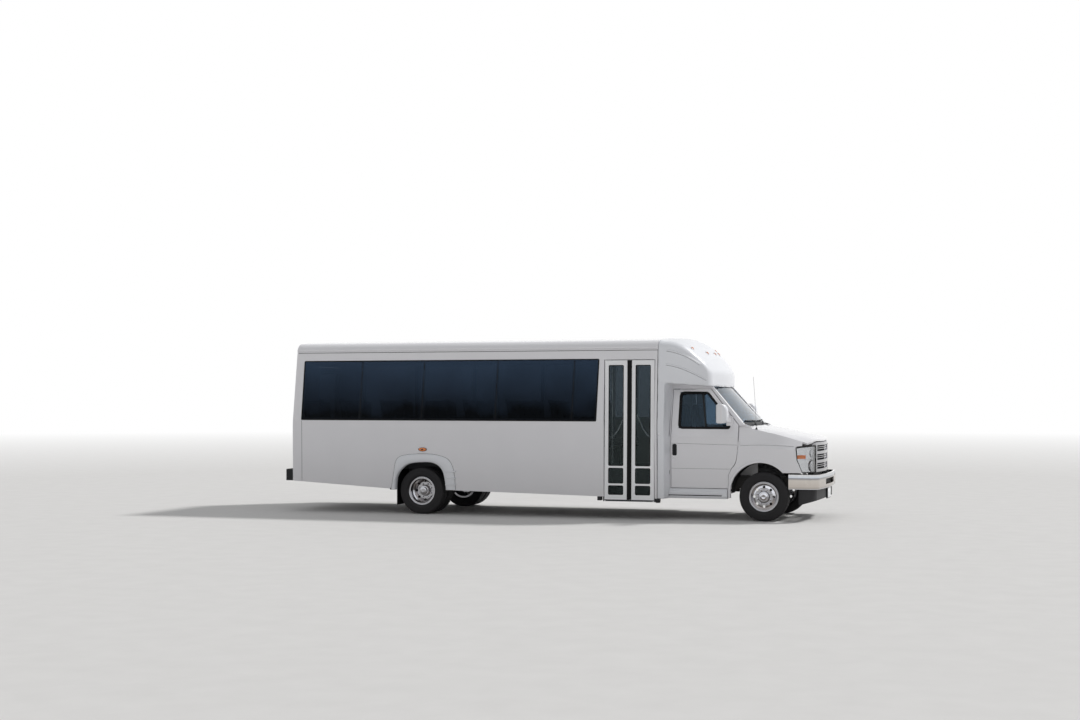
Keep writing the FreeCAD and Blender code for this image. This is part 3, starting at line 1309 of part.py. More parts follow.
def make_knuckles():
    """Steering knuckles: a fork on the pivot pin with the wheel spindle outboard."""
    axle, centre = number("wheelbase"), number("tyre_radius")
    king, half, gap = number("king_half"), number("beam_half_height"), 5
    cheek_radius, cheek = 42, 16
    inner_end = king + 40 + gap + 5
    end = number("front_track_half") + 92
    for name, side in SIDES:
        pin = Part.makeCylinder(number("king_radius"), 2 * (half + gap + cheek),
                                Vector(axle, king, centre - half - gap - cheek))
        top = Part.makeCylinder(cheek_radius, cheek, Vector(axle, king, centre + half + gap))
        base = Part.makeCylinder(cheek_radius, cheek, Vector(axle, king, centre - half - gap - cheek))
        upper = block((axle - 42, king, centre + half + gap), (axle + 42, inner_end + 20, centre + half + gap + cheek))
        lower = block((axle - 42, king, centre - half - gap - cheek), (axle + 42, inner_end + 20, centre - half - gap))
        web = block((axle - 42, inner_end, centre - half - gap - cheek),
                    (axle + 42, inner_end + 20, centre + half + gap + cheek))
        spindle = Part.makeCylinder(number("spindle_radius"), end - inner_end, Vector(axle, inner_end, centre),
                                    Vector(0, 1, 0))
        knuckle = pin.fuse([top, base, upper, lower, web, spindle]).removeSplitter()
        new_feature(f"knuckle_{name}", knuckle if side == LEFT else mirrored(knuckle))


def tyre_loop(side, middle):
    """Half section of a tyre round its axle line: offset along the axle, radius."""
    def spot(offset, radius):
        return (f"{side} * ({middle} + {offset})", radius)
    return [
        spot("(-rim_half + rim_sheet)", "rim_radius + fit_gap"),
        spot("(-rim_half + rim_sheet)", "rim_lip + 1"), spot("(-rim_half - 4)", "rim_lip + 5"),
        spot("(-tyre_half + 4)", "rim_lip + 26"),
        spot("-tyre_half", "tyre_radius - 84"), spot("(-tyre_half + 6)", "tyre_radius - 34"),
        spot("-tread_half", "tyre_radius"), spot("tread_half", "tyre_radius"),
        spot("(tyre_half - 6)", "tyre_radius - 34"), spot("tyre_half", "tyre_radius - 84"),
        spot("(tyre_half - 4)", "rim_lip + 26"),
        spot("(rim_half + 4)", "rim_lip + 5"), spot("(rim_half - rim_sheet)", "rim_lip + 1"),
        spot("(rim_half - rim_sheet)", "rim_radius + fit_gap"),
    ]


def revolve(body, sketch):
    """Turn a sketch round the axle line."""
    feature = body.newObject("PartDesign::Revolution", sketch.Name + "_turn")
    feature.Profile = sketch
    feature.ReferenceAxis = (sketch, ["H_Axis"])
    feature.Angle = 360
    return feature


def make_tyres():
    """One tyre on each front wheel and two on each rear wheel."""
    for name, side in SIDES:
        front = new_body(f"front_tyre_{name}")
        revolve(front, outline(front, f"front_tyre_{name}_section", "YZ_Plane",
                               [tyre_loop(side, "front_track_half")]))
        settle(front, x="wheelbase", z="tyre_radius")
        rear = new_body(f"rear_tyres_{name}")
        loops = [tyre_loop(side, "rear_outer_half"), tyre_loop(side, "rear_inner_half")]
        revolve(rear, outline(rear, f"rear_tyres_{name}_section", "YZ_Plane", loops))
        settle(rear, z="tyre_radius")


def rim_loop(side, middle, face, sweep, hub_in, hub_out):
    """Section of a rim: barrel with two lips, and a disc that meets the hub.

    `face` is the offset of the disc's outer face and `sweep` of its root on the barrel.
    """
    def spot(offset, radius):
        return (f"{side} * ({middle} + {offset})", radius)
    lip, seat, thin = "rim_lip", "rim_radius", "rim_sheet"
    return [
        spot("(-rim_half)", lip), spot("(-rim_half + rim_sheet - 1)", lip),
        spot("(-rim_half + rim_sheet - 1)", seat), spot("(rim_half - rim_sheet + 1)", seat),
        spot("(rim_half - rim_sheet + 1)", lip), spot("(rim_half)", lip),
        spot("(rim_half)", f"{seat} - {thin}"), spot(f"({sweep} + 7)", f"{seat} - {thin} - 2"),
        spot(f"({face})", "hub_radius + 52"), spot(f"({face})", "hub_radius"),
        spot(f"({hub_out})", "hub_radius - 10"), spot(f"({hub_out})", "spindle_radius + shaft_gap"),
        spot(f"({hub_in})", "spindle_radius + shaft_gap"), spot(f"({hub_in})", "hub_radius - 10"),
        spot(f"({face} - 9)", "hub_radius"), spot(f"({face} - 9)", "hub_radius + 52"),
        spot(f"({sweep} - 9)", f"{seat} - {thin} - 2"), spot("(-rim_half)", f"{seat} - {thin}"),
    ]


def hand_holes(body, base, offset, depth, reverse):
    """Eight round hand holes through a wheel disc."""
    sketch = body.newObject("Sketcher::SketchObject", base.Name + "_hole")
    sketch.AttachmentSupport = [(origin_plane(body, "XZ_Plane"), "")]
    sketch.MapMode = "FlatFace"
    sketch.setExpression("AttachmentOffset.Base.z", bind(offset))
    sketch.addGeometry(Part.Circle(Vector(0, value("hub_radius + 62"), 0), Vector(0, 0, 1), 20))
    sketch.addConstraint(Sketcher.Constraint("Radius", 0, 20))
    height = sketch.addConstraint(Sketcher.Constraint("DistanceY", 0, 3, value("hub_radius + 62")))
    sketch.setExpression(f"Constraints[{height}]", bind("hub_radius + 62"))
    sketch.addConstraint(Sketcher.Constraint("DistanceX", 0, 3, 0))
    hole = body.newObject("PartDesign::Pocket", base.Name + "_bore")
    hole.Profile = sketch
    hole.SideType = "Symmetric"
    hole.setExpression("Length", bind(depth))
    ring = body.newObject("PartDesign::PolarPattern", base.Name + "_ring")
    ring.Originals = [hole]
    ring.Axis = (origin_axis(body, "Y_Axis"), [""])
    ring.Angle = 360
    ring.Occurrences = 8
    body.Tip = ring
    return ring


def origin_axis(body, role):
    """Find one of a body's three origin axes."""
    return next(part for part in body.Origin.OriginFeatures if part.Role == role)


def make_rims():
    """Front rims with a bowed disc near the outside, and dished pairs at the rear."""
    for name, side in SIDES:
        front = new_body(f"front_rim_{name}")
        loop = rim_loop(side, "front_track_half", "70", "38", "-8", "104")
        turn = revolve(front, outline(front, f"front_rim_{name}_section", "YZ_Plane", [loop]))
        hand_holes(front, turn, f"{-side} * (front_track_half + 60)", "70", False)
        settle(front, x="wheelbase", z="tyre_radius")
        rear = new_body(f"rear_rims_{name}")
        gap = "(rear_outer_half - rear_inner_half) / 2"
        outer = rim_loop(side, "rear_outer_half", f"-{gap} + 60", "-20", "-110", "-10")
        inner = rim_loop(side, "rear_inner_half", f"{gap} - 70", "20", "20", "100")
        turn = revolve(rear, outline(rear, f"rear_rims_{name}_section", "YZ_Plane", [outer, inner]))
        hand_holes(rear, turn, f"{-side} * (rear_outer_half - {gap})", "190", False)
        settle(rear, z="tyre_radius")


def leaf_line(height):
    """Half width of the entry door's outer face at a height."""
    low, high = number("leaf_low"), number("door_top")
    base = number("skirt_half") + 2
    lean = (number("body_half") - number("gutter_half")) / (number("gutter") - number("belt"))
    top = number("body_half") - lean * (high - number("belt"))
    return base + (top - base) * (height - low) / (high - low)


def leaf_slab(points, depth_from, depth_to):
    """Prism of a side-view outline that leans as the entry doors do, between two depths."""
    low, high = 200, 2600
    skin = slab([(-leaf_line(low) + depth_from, low), (-leaf_line(high) + depth_from, high),
                 (-leaf_line(high) + depth_to, high), (-leaf_line(low) + depth_to, low)],
                "x", 2900, 4000)
    return skin.common(slab(points, "y", -1400, -900))


def pivot_pin(x, base, head, radius):
    """Pin along the entry doors' leaning pivot line between two heights."""
    low = Vector(x, -leaf_line(base) + number("pivot_in"), base)
    high = Vector(x, -leaf_line(head) + number("pivot_in"), head)
    return Part.makeCylinder(radius, (high - low).Length, low, high - low)


def make_entry_leaves():
    """Two glazed door leaves that open outward from the middle, and their pivot pins."""
    middle = (number("door_rear") + number("door_front")) / 2
    gap, seal = number("leaf_gap"), number("leaf_seal")
    low, top = number("leaf_low"), number("door_top") - gap
    side, head, bar_high = number("leaf_side"), number("leaf_head"), number("leaf_bar")
    thick, pane = number("leaf_thick"), number("door_pane")
    radius, deep, inward = number("pivot_radius"), number("pivot_deep"), number("pivot_in")
    spans = (("rear", number("door_rear") + gap, middle - 4), ("front", middle + 4, number("door_front") - gap))
    pivots = []
    for name, rear, front in spans:
        leaf = leaf_slab([(rear, low), (front, low), (front, top), (rear, top)], 0, thick)
        inner_rear = rear + (side if name == "rear" else seal + side)
        inner_front = front - (seal + side if name == "rear" else side)
        rows = [(low + head, number("bar_low") - bar_high / 2),
                (number("bar_low") + bar_high / 2, number("bar_high") - bar_high / 2),
                (number("bar_high") + bar_high / 2, top - head)]
        panes = []
        for base, crown in rows:
            hole = [(inner_rear, base), (inner_front, base), (inner_front, crown), (inner_rear, crown)]
            leaf = leaf.cut(leaf_slab(hole, -20, thick + 20))
            panes.append(leaf_slab(hole, 0.3 * thick, 0.3 * thick + pane))
        x = rear + inward if name == "rear" else front - inward
        bore = radius + number("shaft_gap")
        leaf = leaf.cut([pivot_pin(x, low - 2, low + deep, bore),
                         pivot_pin(x, top - deep, top + 2, bore)])
        new_feature(f"entry_leaf_{name}", leaf)
        new_feature(f"entry_glass_{name}", Part.makeCompound(panes))
        foot_top = number("step_low") - 12
        foot_end = -number("skirt_half") + thick + 2 * gap
        foot = block((x - 12, -leaf_line(low) - 3, foot_top - 14), (x + 12, foot_end, foot_top))
        pivots.append(foot.fuse(pivot_pin(x, foot_top - 5, low + deep - 1, radius)))
        pivots.append(pivot_pin(x, top - deep + 1, number("door_top"), radius))
    new_feature("entry_pivots", Part.makeCompound(pivots))


def make_running_boards():
    """Moulded sills under the cab doors."""
    body = new_body("running_boards")
    loops = []
    for side in (RIGHT, LEFT):
        loops.append([
            (f"{side} * 905", "330"), (f"{side} * 1012", "330"), (f"{side} * 1030", "362"),
            (f"{side} * 1026", "430"), (f"{side} * 984", "480"), (f"{side} * 905", "480"),
        ])
    bar(body, "sill_section", "YZ_Plane", loops, "cab_rear", "cab_door_front - cab_rear - 160")
    return settle(body)


def make_mud_flaps():
    """Mud flaps behind the rear wheels."""
    body = new_body("mud_flaps")
    loops = [rectangle(f"{side} * (rear_inner_half - tyre_half)", f"{side} * (skirt_half - wall - 5)",
                       "140", "floor_top - floor_wall") for side in (RIGHT, LEFT)]
    bar(body, "flap_section", "YZ_Plane", loops, "-box_half + step_sheet", "10")
    return settle(body)


def make_exhaust():
    """Exhaust pipe with its silencer, ending behind the rear axle."""
    radius, height = 32, number("rail_low") - 62
    y = -(number("rail_half") - 260)
    pipe = Part.makeCylinder(radius, 3300, Vector(900, y, height), Vector(1, 0, 0))
    muffler = Part.makeCylinder(95, 620, Vector(2000, y, height), Vector(1, 0, 0))
    hangers = [block((x - 15, y - 8, height), (x + 15, y + 8, number("rail_low") + 9))
               for x in (1700, 2900)]
    new_feature("exhaust", pipe.fuse([muffler] + hangers))


def make_dashboard():
    """Dashboard across the cab with the driver's steering column."""
    rear, cowl = number("dash_rear"), number("cowl")
    half = number("cab_half") - number("cab_wall") - 62
    side_view = [(rear, 1130), (rear - 10, 1300), (rear + 60, 1395), (cowl - 190, 1400), (cowl - 60, 1368),
                 (cowl - 60, 1060), (rear + 90, 1060)]
    dash = slab(side_view, "y", -half, half)
    axis = Vector(*STEERING_AXIS).normalize()
    column = Part.makeCylinder(28, 300, Vector(*STEERING) - axis * 334, axis)
    shaft = Part.makeCylinder(number("column_radius"), 56, Vector(*STEERING) - axis * 54, axis)
    new_feature("dashboard", dash.fuse([column, shaft]).cut(engine_cover_blocks()[0]))


# Centre of the steering wheel and the direction of its axis, up and towards the driver.
STEERING = (4800, 500, 1350)
STEERING_AXIS = (-0.82, 0, 0.57)


def make_steering_wheel():
    """Steering wheel: rim, hub and three spokes."""
    ring = Part.makeTorus(190, 14)
    hub = Part.makeCylinder(52, 34, Vector(0, 0, -24))
    spokes = []
    for angle in (0, 120, 240):
        spoke = block((30, -16, -14), (186, 16, 0))
        spoke.rotate(Vector(0, 0, 0), Vector(0, 0, 1), angle)
        spokes.append(spoke)
    bore = Part.makeCylinder(number("column_radius") + number("shaft_gap"), 34, Vector(0, 0, -30))
    wheel = ring.fuse([hub] + spokes).cut(bore)
    turn = Rotation(Vector(0, 0, 1), Vector(*STEERING_AXIS))
    wheel.Placement = Placement(Vector(*STEERING), turn)
    new_feature("steering_wheel", Part.makeCompound([wheel]))


def seat_solids(x, floor, high, low, top):
    """Pedestal with cushion, and leaning back, of a seat between two places across the bus."""
    joint = [(x + 90, floor + 420), (x - 10, floor + 320)]
    base = [(x + 170, floor), (x + 360, floor), (x + 360, floor + 300), (x + 480, floor + 330),
            (x + 490, floor + 440), *joint, (x + 170, floor + 290)]
    back = [(x - 20, floor + high), (x - 95, floor + high), *reversed(joint)]
    return [slab(base, "y", low, top), slab(back, "y", low, top)]


def make_saloon_seats():
    """Rows of double seats down both sides of the aisle."""
    floor, high, width = number("floor_top"), number("seat_high"), number("seat_width")
    wall_side = number("skirt_half") - number("wall") - 20
    solids = []
    for side, count in ((RIGHT, number("seat_count_right")), (LEFT, number("seat_count_left"))):
        for row in range(int(count)):
            x = number("seat_first") + row * number("seat_pitch")
            low, top = sorted((side * (wall_side - width), side * wall_side))
            solids += seat_solids(x, floor, high, low, top)
    clear = number("box_half") + 2
    beside = number("rear_inner_half") - number("tyre_half") - 52
    space = block((-clear, beside, floor - 5), (clear, 1300, number("box_top") + 1))
    solids = [solid.cut([space, mirrored(space)]) for solid in solids]
    new_feature("saloon_seats", Part.makeCompound(solids))


def make_cab_seats():
    """Driver's seat and the seat beside it."""
    solids = []
    for side in (RIGHT, LEFT):
        middle = side * number("cab_seat_half")
        solids += seat_solids(number("cab_seat_at"), number("cab_floor"), number("seat_high"),
                              middle - 250, middle + 250)
    new_feature("cab_seats", Part.makeCompound(solids))


def make_tail_lamps():
    """Round tail lamps in a column at each rear corner."""
    solids = []
    rear = -number("body_rear")
    for side in (RIGHT, LEFT):
        for height in (960, 1095, 1230):
            solids.append(Part.makeCylinder(52, 22, Vector(rear - 22, side * 1020, height), Vector(1, 0, 0)))
    new_feature("tail_lamps", Part.makeCompound(solids))


def make_marker_lamps():
    """Amber side markers over the rear wheels and the clearance lamps of the cap."""
    solids = []
    for side in (RIGHT, LEFT):
        lamp = Part.makeCylinder(30, 30, Vector(-15, 1195, 1037), Vector(0, 1, 0))
        other = lamp.translated(Vector(110, 0, 0))
        lens = lamp.fuse([other, block((-15, 1195, 1007), (95, 1225, 1067))]).removeSplitter()
        lens = lens.cut(body_prism(0, 300, 2600, -400, 400))
        solids.append(lens if side == LEFT else mirrored(lens))
    dome = cap_solid(0)
    for x, y in ((4360, 860), (4500, 430), (4530, 0), (4500, -430), (4360, -860)):
        upright = Part.LineSegment(Vector(x, y, 2000), Vector(x, y, 3000)).toShape()
        top = dome.common(upright).BoundBox.ZMax
        solids.append(Part.makeSphere(40, Vector(x, y, top - 22)).cut(dome))
    new_feature("marker_lamps", Part.makeCompound(solids))


def make_grab_rails():
    """Stanchions and rails beside the entry steps."""
    radius = 16
    floor, inner = number("floor_top"), number("roof_top") - number("roof_wall") - 14
    solids = []
    for x in (number("door_rear") - 20, number("door_front") - 40):
        post = Part.makeCylinder(radius, inner - floor - 10, Vector(x, -640, floor))
        solids.append(post)
    new_feature("grab_rails", Part.makeCompound(solids))


def check_and_write():
    """Check every object and sub-part, then write each sub-part to its own file."""
    doc.recompute()
    failed = [item.Label for item in doc.Objects if {"Invalid", "Error"} & set(item.State)]
    if failed:
        raise RuntimeError("failed objects: " + ", ".join(failed))
    os.makedirs("parts", exist_ok=True)
    for item in SUBPARTS:
        shape = item.Shape
        if shape.isNull() or not shape.isValid() or not shape.Solids:
            raise RuntimeError("bad shape: " + item.Label)
        shape.exportStep(f"parts/{item.Label}.step")
    whole = FreeCAD.BoundBox()
    for item in SUBPARTS:
        whole.add(item.Shape.BoundBox)
    print(len(SUBPARTS), "sub-parts, overall", whole)


def main():
    """Build every sub-part from the chassis up."""
    make_chassis()
    make_engine()
    make_radiator()
    make_tank()
    make_exhaust()
    make_rear_axle()
    make_front_axle()
    make_knuckles()
    make_tyres()
    make_rims()
    make_floor()
    make_wheel_boxes()
    make_entry_steps()
    for name, side in SIDES:
        make_side_wall(name, side)
    make_side_windows()
    make_roof()
    make_rear_wall()
    make_rear_door()
    make_front_cap()
    make_flares()
    make_mud_flaps()
    make_rear_bumper()
    make_tail_lamps()
    make_marker_lamps()
    make_entry_leaves()
    make_grab_rails()
    make_saloon_seats()
    make_cab_shell()
    make_cab_doors()
    make_windshield()
    make_dashboard()
    make_steering_wheel()
    make_cab_seats()
    make_running_boards()
    make_fenders()
    make_hood()
    make_headlamps()
    make_grille()
    make_front_bumper()
    make_front_valance()
    check_and_write()


main()
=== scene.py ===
"""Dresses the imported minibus: finishes, wheels, glazing, doors, nose, seats, and the studio round it.

All sizes are in metres. X runs forward, Y to the driver's side and Z up. The helper `station`
turns a distance ahead of the rear axle into the frame's X.
"""

import json
import logging
import math
from dataclasses import dataclass, replace
from enum import Enum
from typing import Callable, Iterable, Sequence

import bmesh
import bpy
from mathutils import Matrix, Vector
from mathutils.bvhtree import BVHTree


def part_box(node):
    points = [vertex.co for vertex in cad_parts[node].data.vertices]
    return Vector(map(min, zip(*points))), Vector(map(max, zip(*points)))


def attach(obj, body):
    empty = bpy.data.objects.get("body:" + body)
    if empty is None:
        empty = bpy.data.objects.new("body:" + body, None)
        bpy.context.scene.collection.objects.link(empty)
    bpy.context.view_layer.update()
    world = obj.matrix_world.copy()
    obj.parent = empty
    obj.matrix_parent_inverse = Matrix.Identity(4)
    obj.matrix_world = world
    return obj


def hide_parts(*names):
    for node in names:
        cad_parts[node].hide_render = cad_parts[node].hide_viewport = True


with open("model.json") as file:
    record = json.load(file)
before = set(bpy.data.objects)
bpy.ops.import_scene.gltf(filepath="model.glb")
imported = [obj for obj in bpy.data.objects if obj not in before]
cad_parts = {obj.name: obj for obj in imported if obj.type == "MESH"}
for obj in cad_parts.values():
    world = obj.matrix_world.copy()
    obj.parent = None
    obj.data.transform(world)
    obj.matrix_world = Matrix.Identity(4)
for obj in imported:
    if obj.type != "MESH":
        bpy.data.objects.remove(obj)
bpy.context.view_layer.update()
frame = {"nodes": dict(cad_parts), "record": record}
LOG = logging.getLogger("minibus")

REAR_AXLE_X = -1.945
RIGHT, LEFT = -1, 1
SIDE_NAMES = {RIGHT: "right", LEFT: "left"}
BELT, BELT_HALF = 1.506, 1.219
GUTTER, GUTTER_HALF = 2.623, 1.15
SKIRT, SKIRT_HALF = 0.326, 1.205
CAB_BELT, CAB_HALF, CAB_LEAN = 1.27, 1.0, 0.2581
AHEAD, ACROSS, UP = (Vector(axis) for axis in ((1, 0, 0), (0, 1, 0), (0, 0, 1)))
FRONT_AXLE = 5.48
WHEEL_RADIUS = 0.372
SCREEN_NORMAL = Vector((0.73, 0, 0.68))
DOOR_LEAN = -0.0155
# A turned piece faces along +Y until one of these turns it.
FORWARD, BACKWARD = (Matrix.Rotation(turn * math.pi / 2, 4, "Z") for turn in (-1, 1))
UPRIGHT = Matrix.Rotation(math.pi / 2, 4, "X")
BACK_LEAN = 0.15
# Places clear of the body, on its right and over its roof, from which lines look for its skin.
ASIDE, ABOVE = -1.5, 3.0


def station(ahead: float, across: float = 0.0, height: float = 0.0) -> Vector:
    """Point given by its distance ahead of the rear axle, across and up.

    Args:
        ahead: metres ahead of the rear axle.
        across: metres towards the driver's side.
        height: metres above the ground.

    Returns:
        The point in the frame's coordinates.
    """
    return Vector((ahead + REAR_AXLE_X, across, height))


def body_half(height: float) -> float:
    """Half width of the saloon body's outer skin at a height.

    Args:
        height: metres above the ground.

    Returns:
        The half width.
    """
    if height < BELT:
        return SKIRT_HALF + (BELT_HALF - SKIRT_HALF) * (height - SKIRT) / (BELT - SKIRT)
    return BELT_HALF - (BELT_HALF - GUTTER_HALF) * (height - BELT) / (GUTTER - BELT)


def cab_half(height: float) -> float:
    """Half width of the cab's outer skin at a height.

    Args:
        height: metres above the ground.

    Returns:
        The half width.
    """
    if height < CAB_BELT:
        return 0.985 + (CAB_HALF - 0.985) * (height - 0.3) / (CAB_BELT - 0.3)
    return CAB_HALF - CAB_LEAN * (height - CAB_BELT)


def leaf_half(height: float) -> float:
    """Half width of the entry door's outer face at a height.

    Args:
        height: metres above the ground.

    Returns:
        The half width.
    """
    low, high = 0.3, 2.45
    base, top = SKIRT_HALF + 0.002, body_half(high)
    return base + (top - base) * (height - low) / (high - low)


def on_body(ahead: float, height: float, side: int, proud: float = 0.0) -> Vector:
    """Point on the saloon's side, a little proud of the skin."""
    return station(ahead, side * (body_half(height) + proud), height)


def on_cab(ahead: float, height: float, side: int) -> Vector:
    """Point on the cab's side."""
    return station(ahead, side * cab_half(height), height)


class Slot(Enum):
    """Material slots of the part's record."""

    PAINT = "white_paint"
    PLASTIC = "white_plastic"
    CHASSIS = "chassis_black"
    ENGINE = "engine_grey"
    EXHAUST = "exhaust_steel"
    TYRE = "tyre"
    WHEEL = "wheel_chrome"
    FLOOR = "floor_grey"
    DARK_GLASS = "dark_glass"
    CAB_GLASS = "cab_glass"
    RUBBER = "black_rubber"
    TRIM = "black_trim"
    RED = "lamp_red"
    AMBER = "lamp_amber"
    CLEAR = "lamp_clear"
    DOOR = "door_frame"
    RAIL = "rail_steel"
    VINYL = "seat_vinyl"
    DASH = "dash_plastic"
    GRILLE = "grille_chrome"
    BUMPER = "bumper_chrome"
    VALANCE = "valance_grey"


Colour = tuple[float, float, float]
Socket = bpy.types.NodeSocket
WHITE, SHADE, DUST, PRIMER = (1.0, 1.0, 1.0), (0.55, 0.56, 0.58), (0.36, 0.32, 0.27), (0.006, 0.006, 0.007)
# Painted reflection on polished metal: tints by which way a face looks, from what faces down to what faces up.
PAINTED_REFLECTION_STOPS = ((0.0, (0.3, 0.27, 0.24)), (0.34, (0.62, 0.56, 0.5)), (0.46, (0.34, 0.33, 0.33)),
         (0.505, (0.6, 0.6, 0.61)), (0.6, (0.86, 0.88, 0.92)), (1.0, (0.92, 0.95, 1.0)))


@dataclass(frozen=True)
class Finish:
    """An opaque finish with its own grain: colour, gloss, and the fine noise that breaks them up; it may also carry
    a painted reflection, by facing or by height.
    """

    colour: Colour
    roughness: float
    metallic: float = 0.0
    coat: float = 0.0
    coat_roughness: float = 0.04
    grain: float = 60.0
    relief: float = 0.05
    relief_depth: float = 0.0004
    mottle: float = 0.04
    gloss_spread: float = 0.06
    dust: float = 0.0
    # Paints a reflection on polished metal: tints by which way each face looks.
    polished: bool = False
    specular: float = 0.5
    # Tints by height that paint a reflection on polished metal.
    levels: tuple[tuple[float, Colour], ...] = ()
    rebated: bool = False

    def build(self, name: str) -> bpy.types.Material:
        """Make the node material.

        Args:
            name: name of the new material.

        Returns:
            The material.
        """
        graph = Graph(bpy.data.materials.new(name))
        place = graph.place()
        broad = graph.noise(place, 2.3, 4)
        fine = graph.noise(place, self.grain, 5)
        colour = graph.mix(graph.span(broad, 0.3, 0.7, 0.0, self.mottle), self.colour, SHADE, "MULTIPLY")
        if self.dust:
            low = graph.span(graph.axis(place, "Z"), 0.3, 1.0, self.dust, 0.0)
            patch = graph.math("MULTIPLY", low, graph.span(fine, 0.35, 0.7, 0.4, 1.0))
            colour = graph.mix(patch, colour, DUST)
        # Painted reflection by facing.
        if self.polished:
            colour = self.painted_facing_reflection(graph, colour)
        # Painted reflection by height.
        if self.levels:
            colour = self.painted_height_reflection(graph, colour, place)
        if self.rebated:
            colour = self.primed(graph, colour, place)
        low, high = self.roughness - self.gloss_spread, self.roughness + self.gloss_spread
        graph.shade({"Base Color": colour, "Roughness": graph.span(fine, 0.3, 0.7, max(low, 0.02), high),
                     "Metallic": self.metallic, "Specular IOR Level": self.specular,
                     "Coat Weight": self.coat, "Coat Roughness": self.coat_roughness})
        graph.bump(fine, self.relief, self.relief_depth)
        return graph.owner

    @staticmethod
    def painted_facing_reflection(graph: "Graph", colour: Socket) -> Socket:
        """Painted reflection on polished metal: lighter where it faces up, dark about level and warm below.

        Args:
            graph: graph of the material.
            colour: socket with the metal's own colour.

        Returns:
            The banded colour's socket.
        """
        facing = graph.axis(graph.place("Normal"), "Z")
        reflection_ramp = graph.ramp(graph.span(facing, -1.0, 1.0, 0.0, 1.0), PAINTED_REFLECTION_STOPS)
        return graph.mix(1.0, colour, reflection_ramp, "MULTIPLY")

    def primed(self, graph: "Graph", colour: Socket,
               place: Socket) -> Socket:
        """Black primer in the rebate behind the side panes.

        Args:
            graph: graph of the material.
            colour: socket with the finish's own colour.
            place: socket with the coordinates.

        Returns:
            The colour with the primed band.
        """
        side, height = graph.math("ABSOLUTE", graph.axis(place, "Y")), graph.axis(place, "Z")
        skin = graph.math("MULTIPLY_ADD", height, -BODY_LEAN, BELT_HALF + BODY_LEAN * BELT)
        rebate = graph.math("COMPARE", graph.math("SUBTRACT", skin, side), 0.0095, 0.0045)
        above = graph.math("GREATER_THAN", height, BELT - 0.004)
        below = graph.math("LESS_THAN", height, 2.462)
        mask = graph.math("MULTIPLY", graph.math("MULTIPLY", above, below), rebate)
        return graph.mix(mask, colour, PRIMER)

    def painted_height_reflection(self, graph: "Graph", colour: Socket,
                place: Socket) -> Socket:
        """Painted reflection: tints that lie over each other by height.

        Args:
            graph: graph of the material.
            colour: socket with the finish's own colour.
            place: socket with the coordinates.

        Returns:
            The tinted colour's socket.
        """
        low, high = self.levels[0][0], self.levels[-1][0]
        stops = [((level - low) / (high - low), tint) for level, tint in self.levels]
        height_reflection_ramp = graph.ramp(graph.span(graph.axis(place, "Z"), low, high, 0.0, 1.0), stops)
        return graph.mix(1.0, colour, height_reflection_ramp, "MULTIPLY")


@dataclass(frozen=True)
class Glass:
    """Tinted glass, a touch uneven in its tint, with a painted reflection: its specular tint may be graded from foot
    to crown.
    """

    colour: Colour
    ior: float = 1.45
    roughness: float = 0.0
    specular: float = 0.5
    # Specular tints at the foot and the crown, and the heights between them: a painted reflection.
    foot: Colour = (1.0, 1.0, 1.0)
    crown: Colour = (1.0, 1.0, 1.0)
    heights: tuple[float, float] = (0.0, 1.0)

    def build(self, name: str) -> bpy.types.Material:
        """Make the node material.

        Args:
            name: name of the new material.

        Returns:
            The material.
        """
        graph = Graph(bpy.data.materials.new(name))
        place = graph.place()
        paler = tuple(0.86 * value for value in self.colour)
        tint = graph.mix(graph.span(graph.noise(place, 0.9, 2), 0.3, 0.7, 0.0, 1.0), self.colour, paler)
        # Painted reflection: the specular tint blends from foot to crown by height, its edge waved by noise.
        wave = graph.math("MULTIPLY_ADD", graph.noise(place, 1.6, 3), 0.5, graph.axis(place, "Z"))
        low, high = (height + 0.25 for height in self.heights)
        painted_sky_reflection = graph.mix(graph.span(wave, low, high, 0.0, 1.0), self.foot, self.crown)
        graph.shade({"Base Color": tint, "Roughness": self.roughness, "IOR": self.ior,
                     "Specular IOR Level": self.specular, "Transmission Weight": 1.0, "Specular Tint": painted_sky_reflection})
        return graph.owner


@dataclass(frozen=True)
class Fabric:
    """Grained seat vinyl with a fine weave."""

    colour: Colour
    thread: Colour
    pitch: float = 260.0

    def build(self, name: str) -> bpy.types.Material:
        """Make the node material.

        Args:
            name: name of the new material.

        Returns:
            The material.
        """
        graph = Graph(bpy.data.materials.new(name))
        place = graph.place()
        fine = graph.noise(place, self.pitch, 3)
        cells = graph.add("ShaderNodeTexVoronoi")
        graph.feed(cells.inputs["Scale"], self.pitch)
        graph.feed(cells.inputs["Vector"], place)
        weave = graph.mix(graph.span(fine, 0.4, 0.6, 0.0, 1.0), self.colour, self.thread)
        graph.shade({"Base Color": weave, "Roughness": graph.span(fine, 0.3, 0.7, 0.48, 0.62), "Sheen Weight": 0.15})
        graph.bump(cells.outputs["Distance"], 0.25, 0.0006)
        return graph.owner


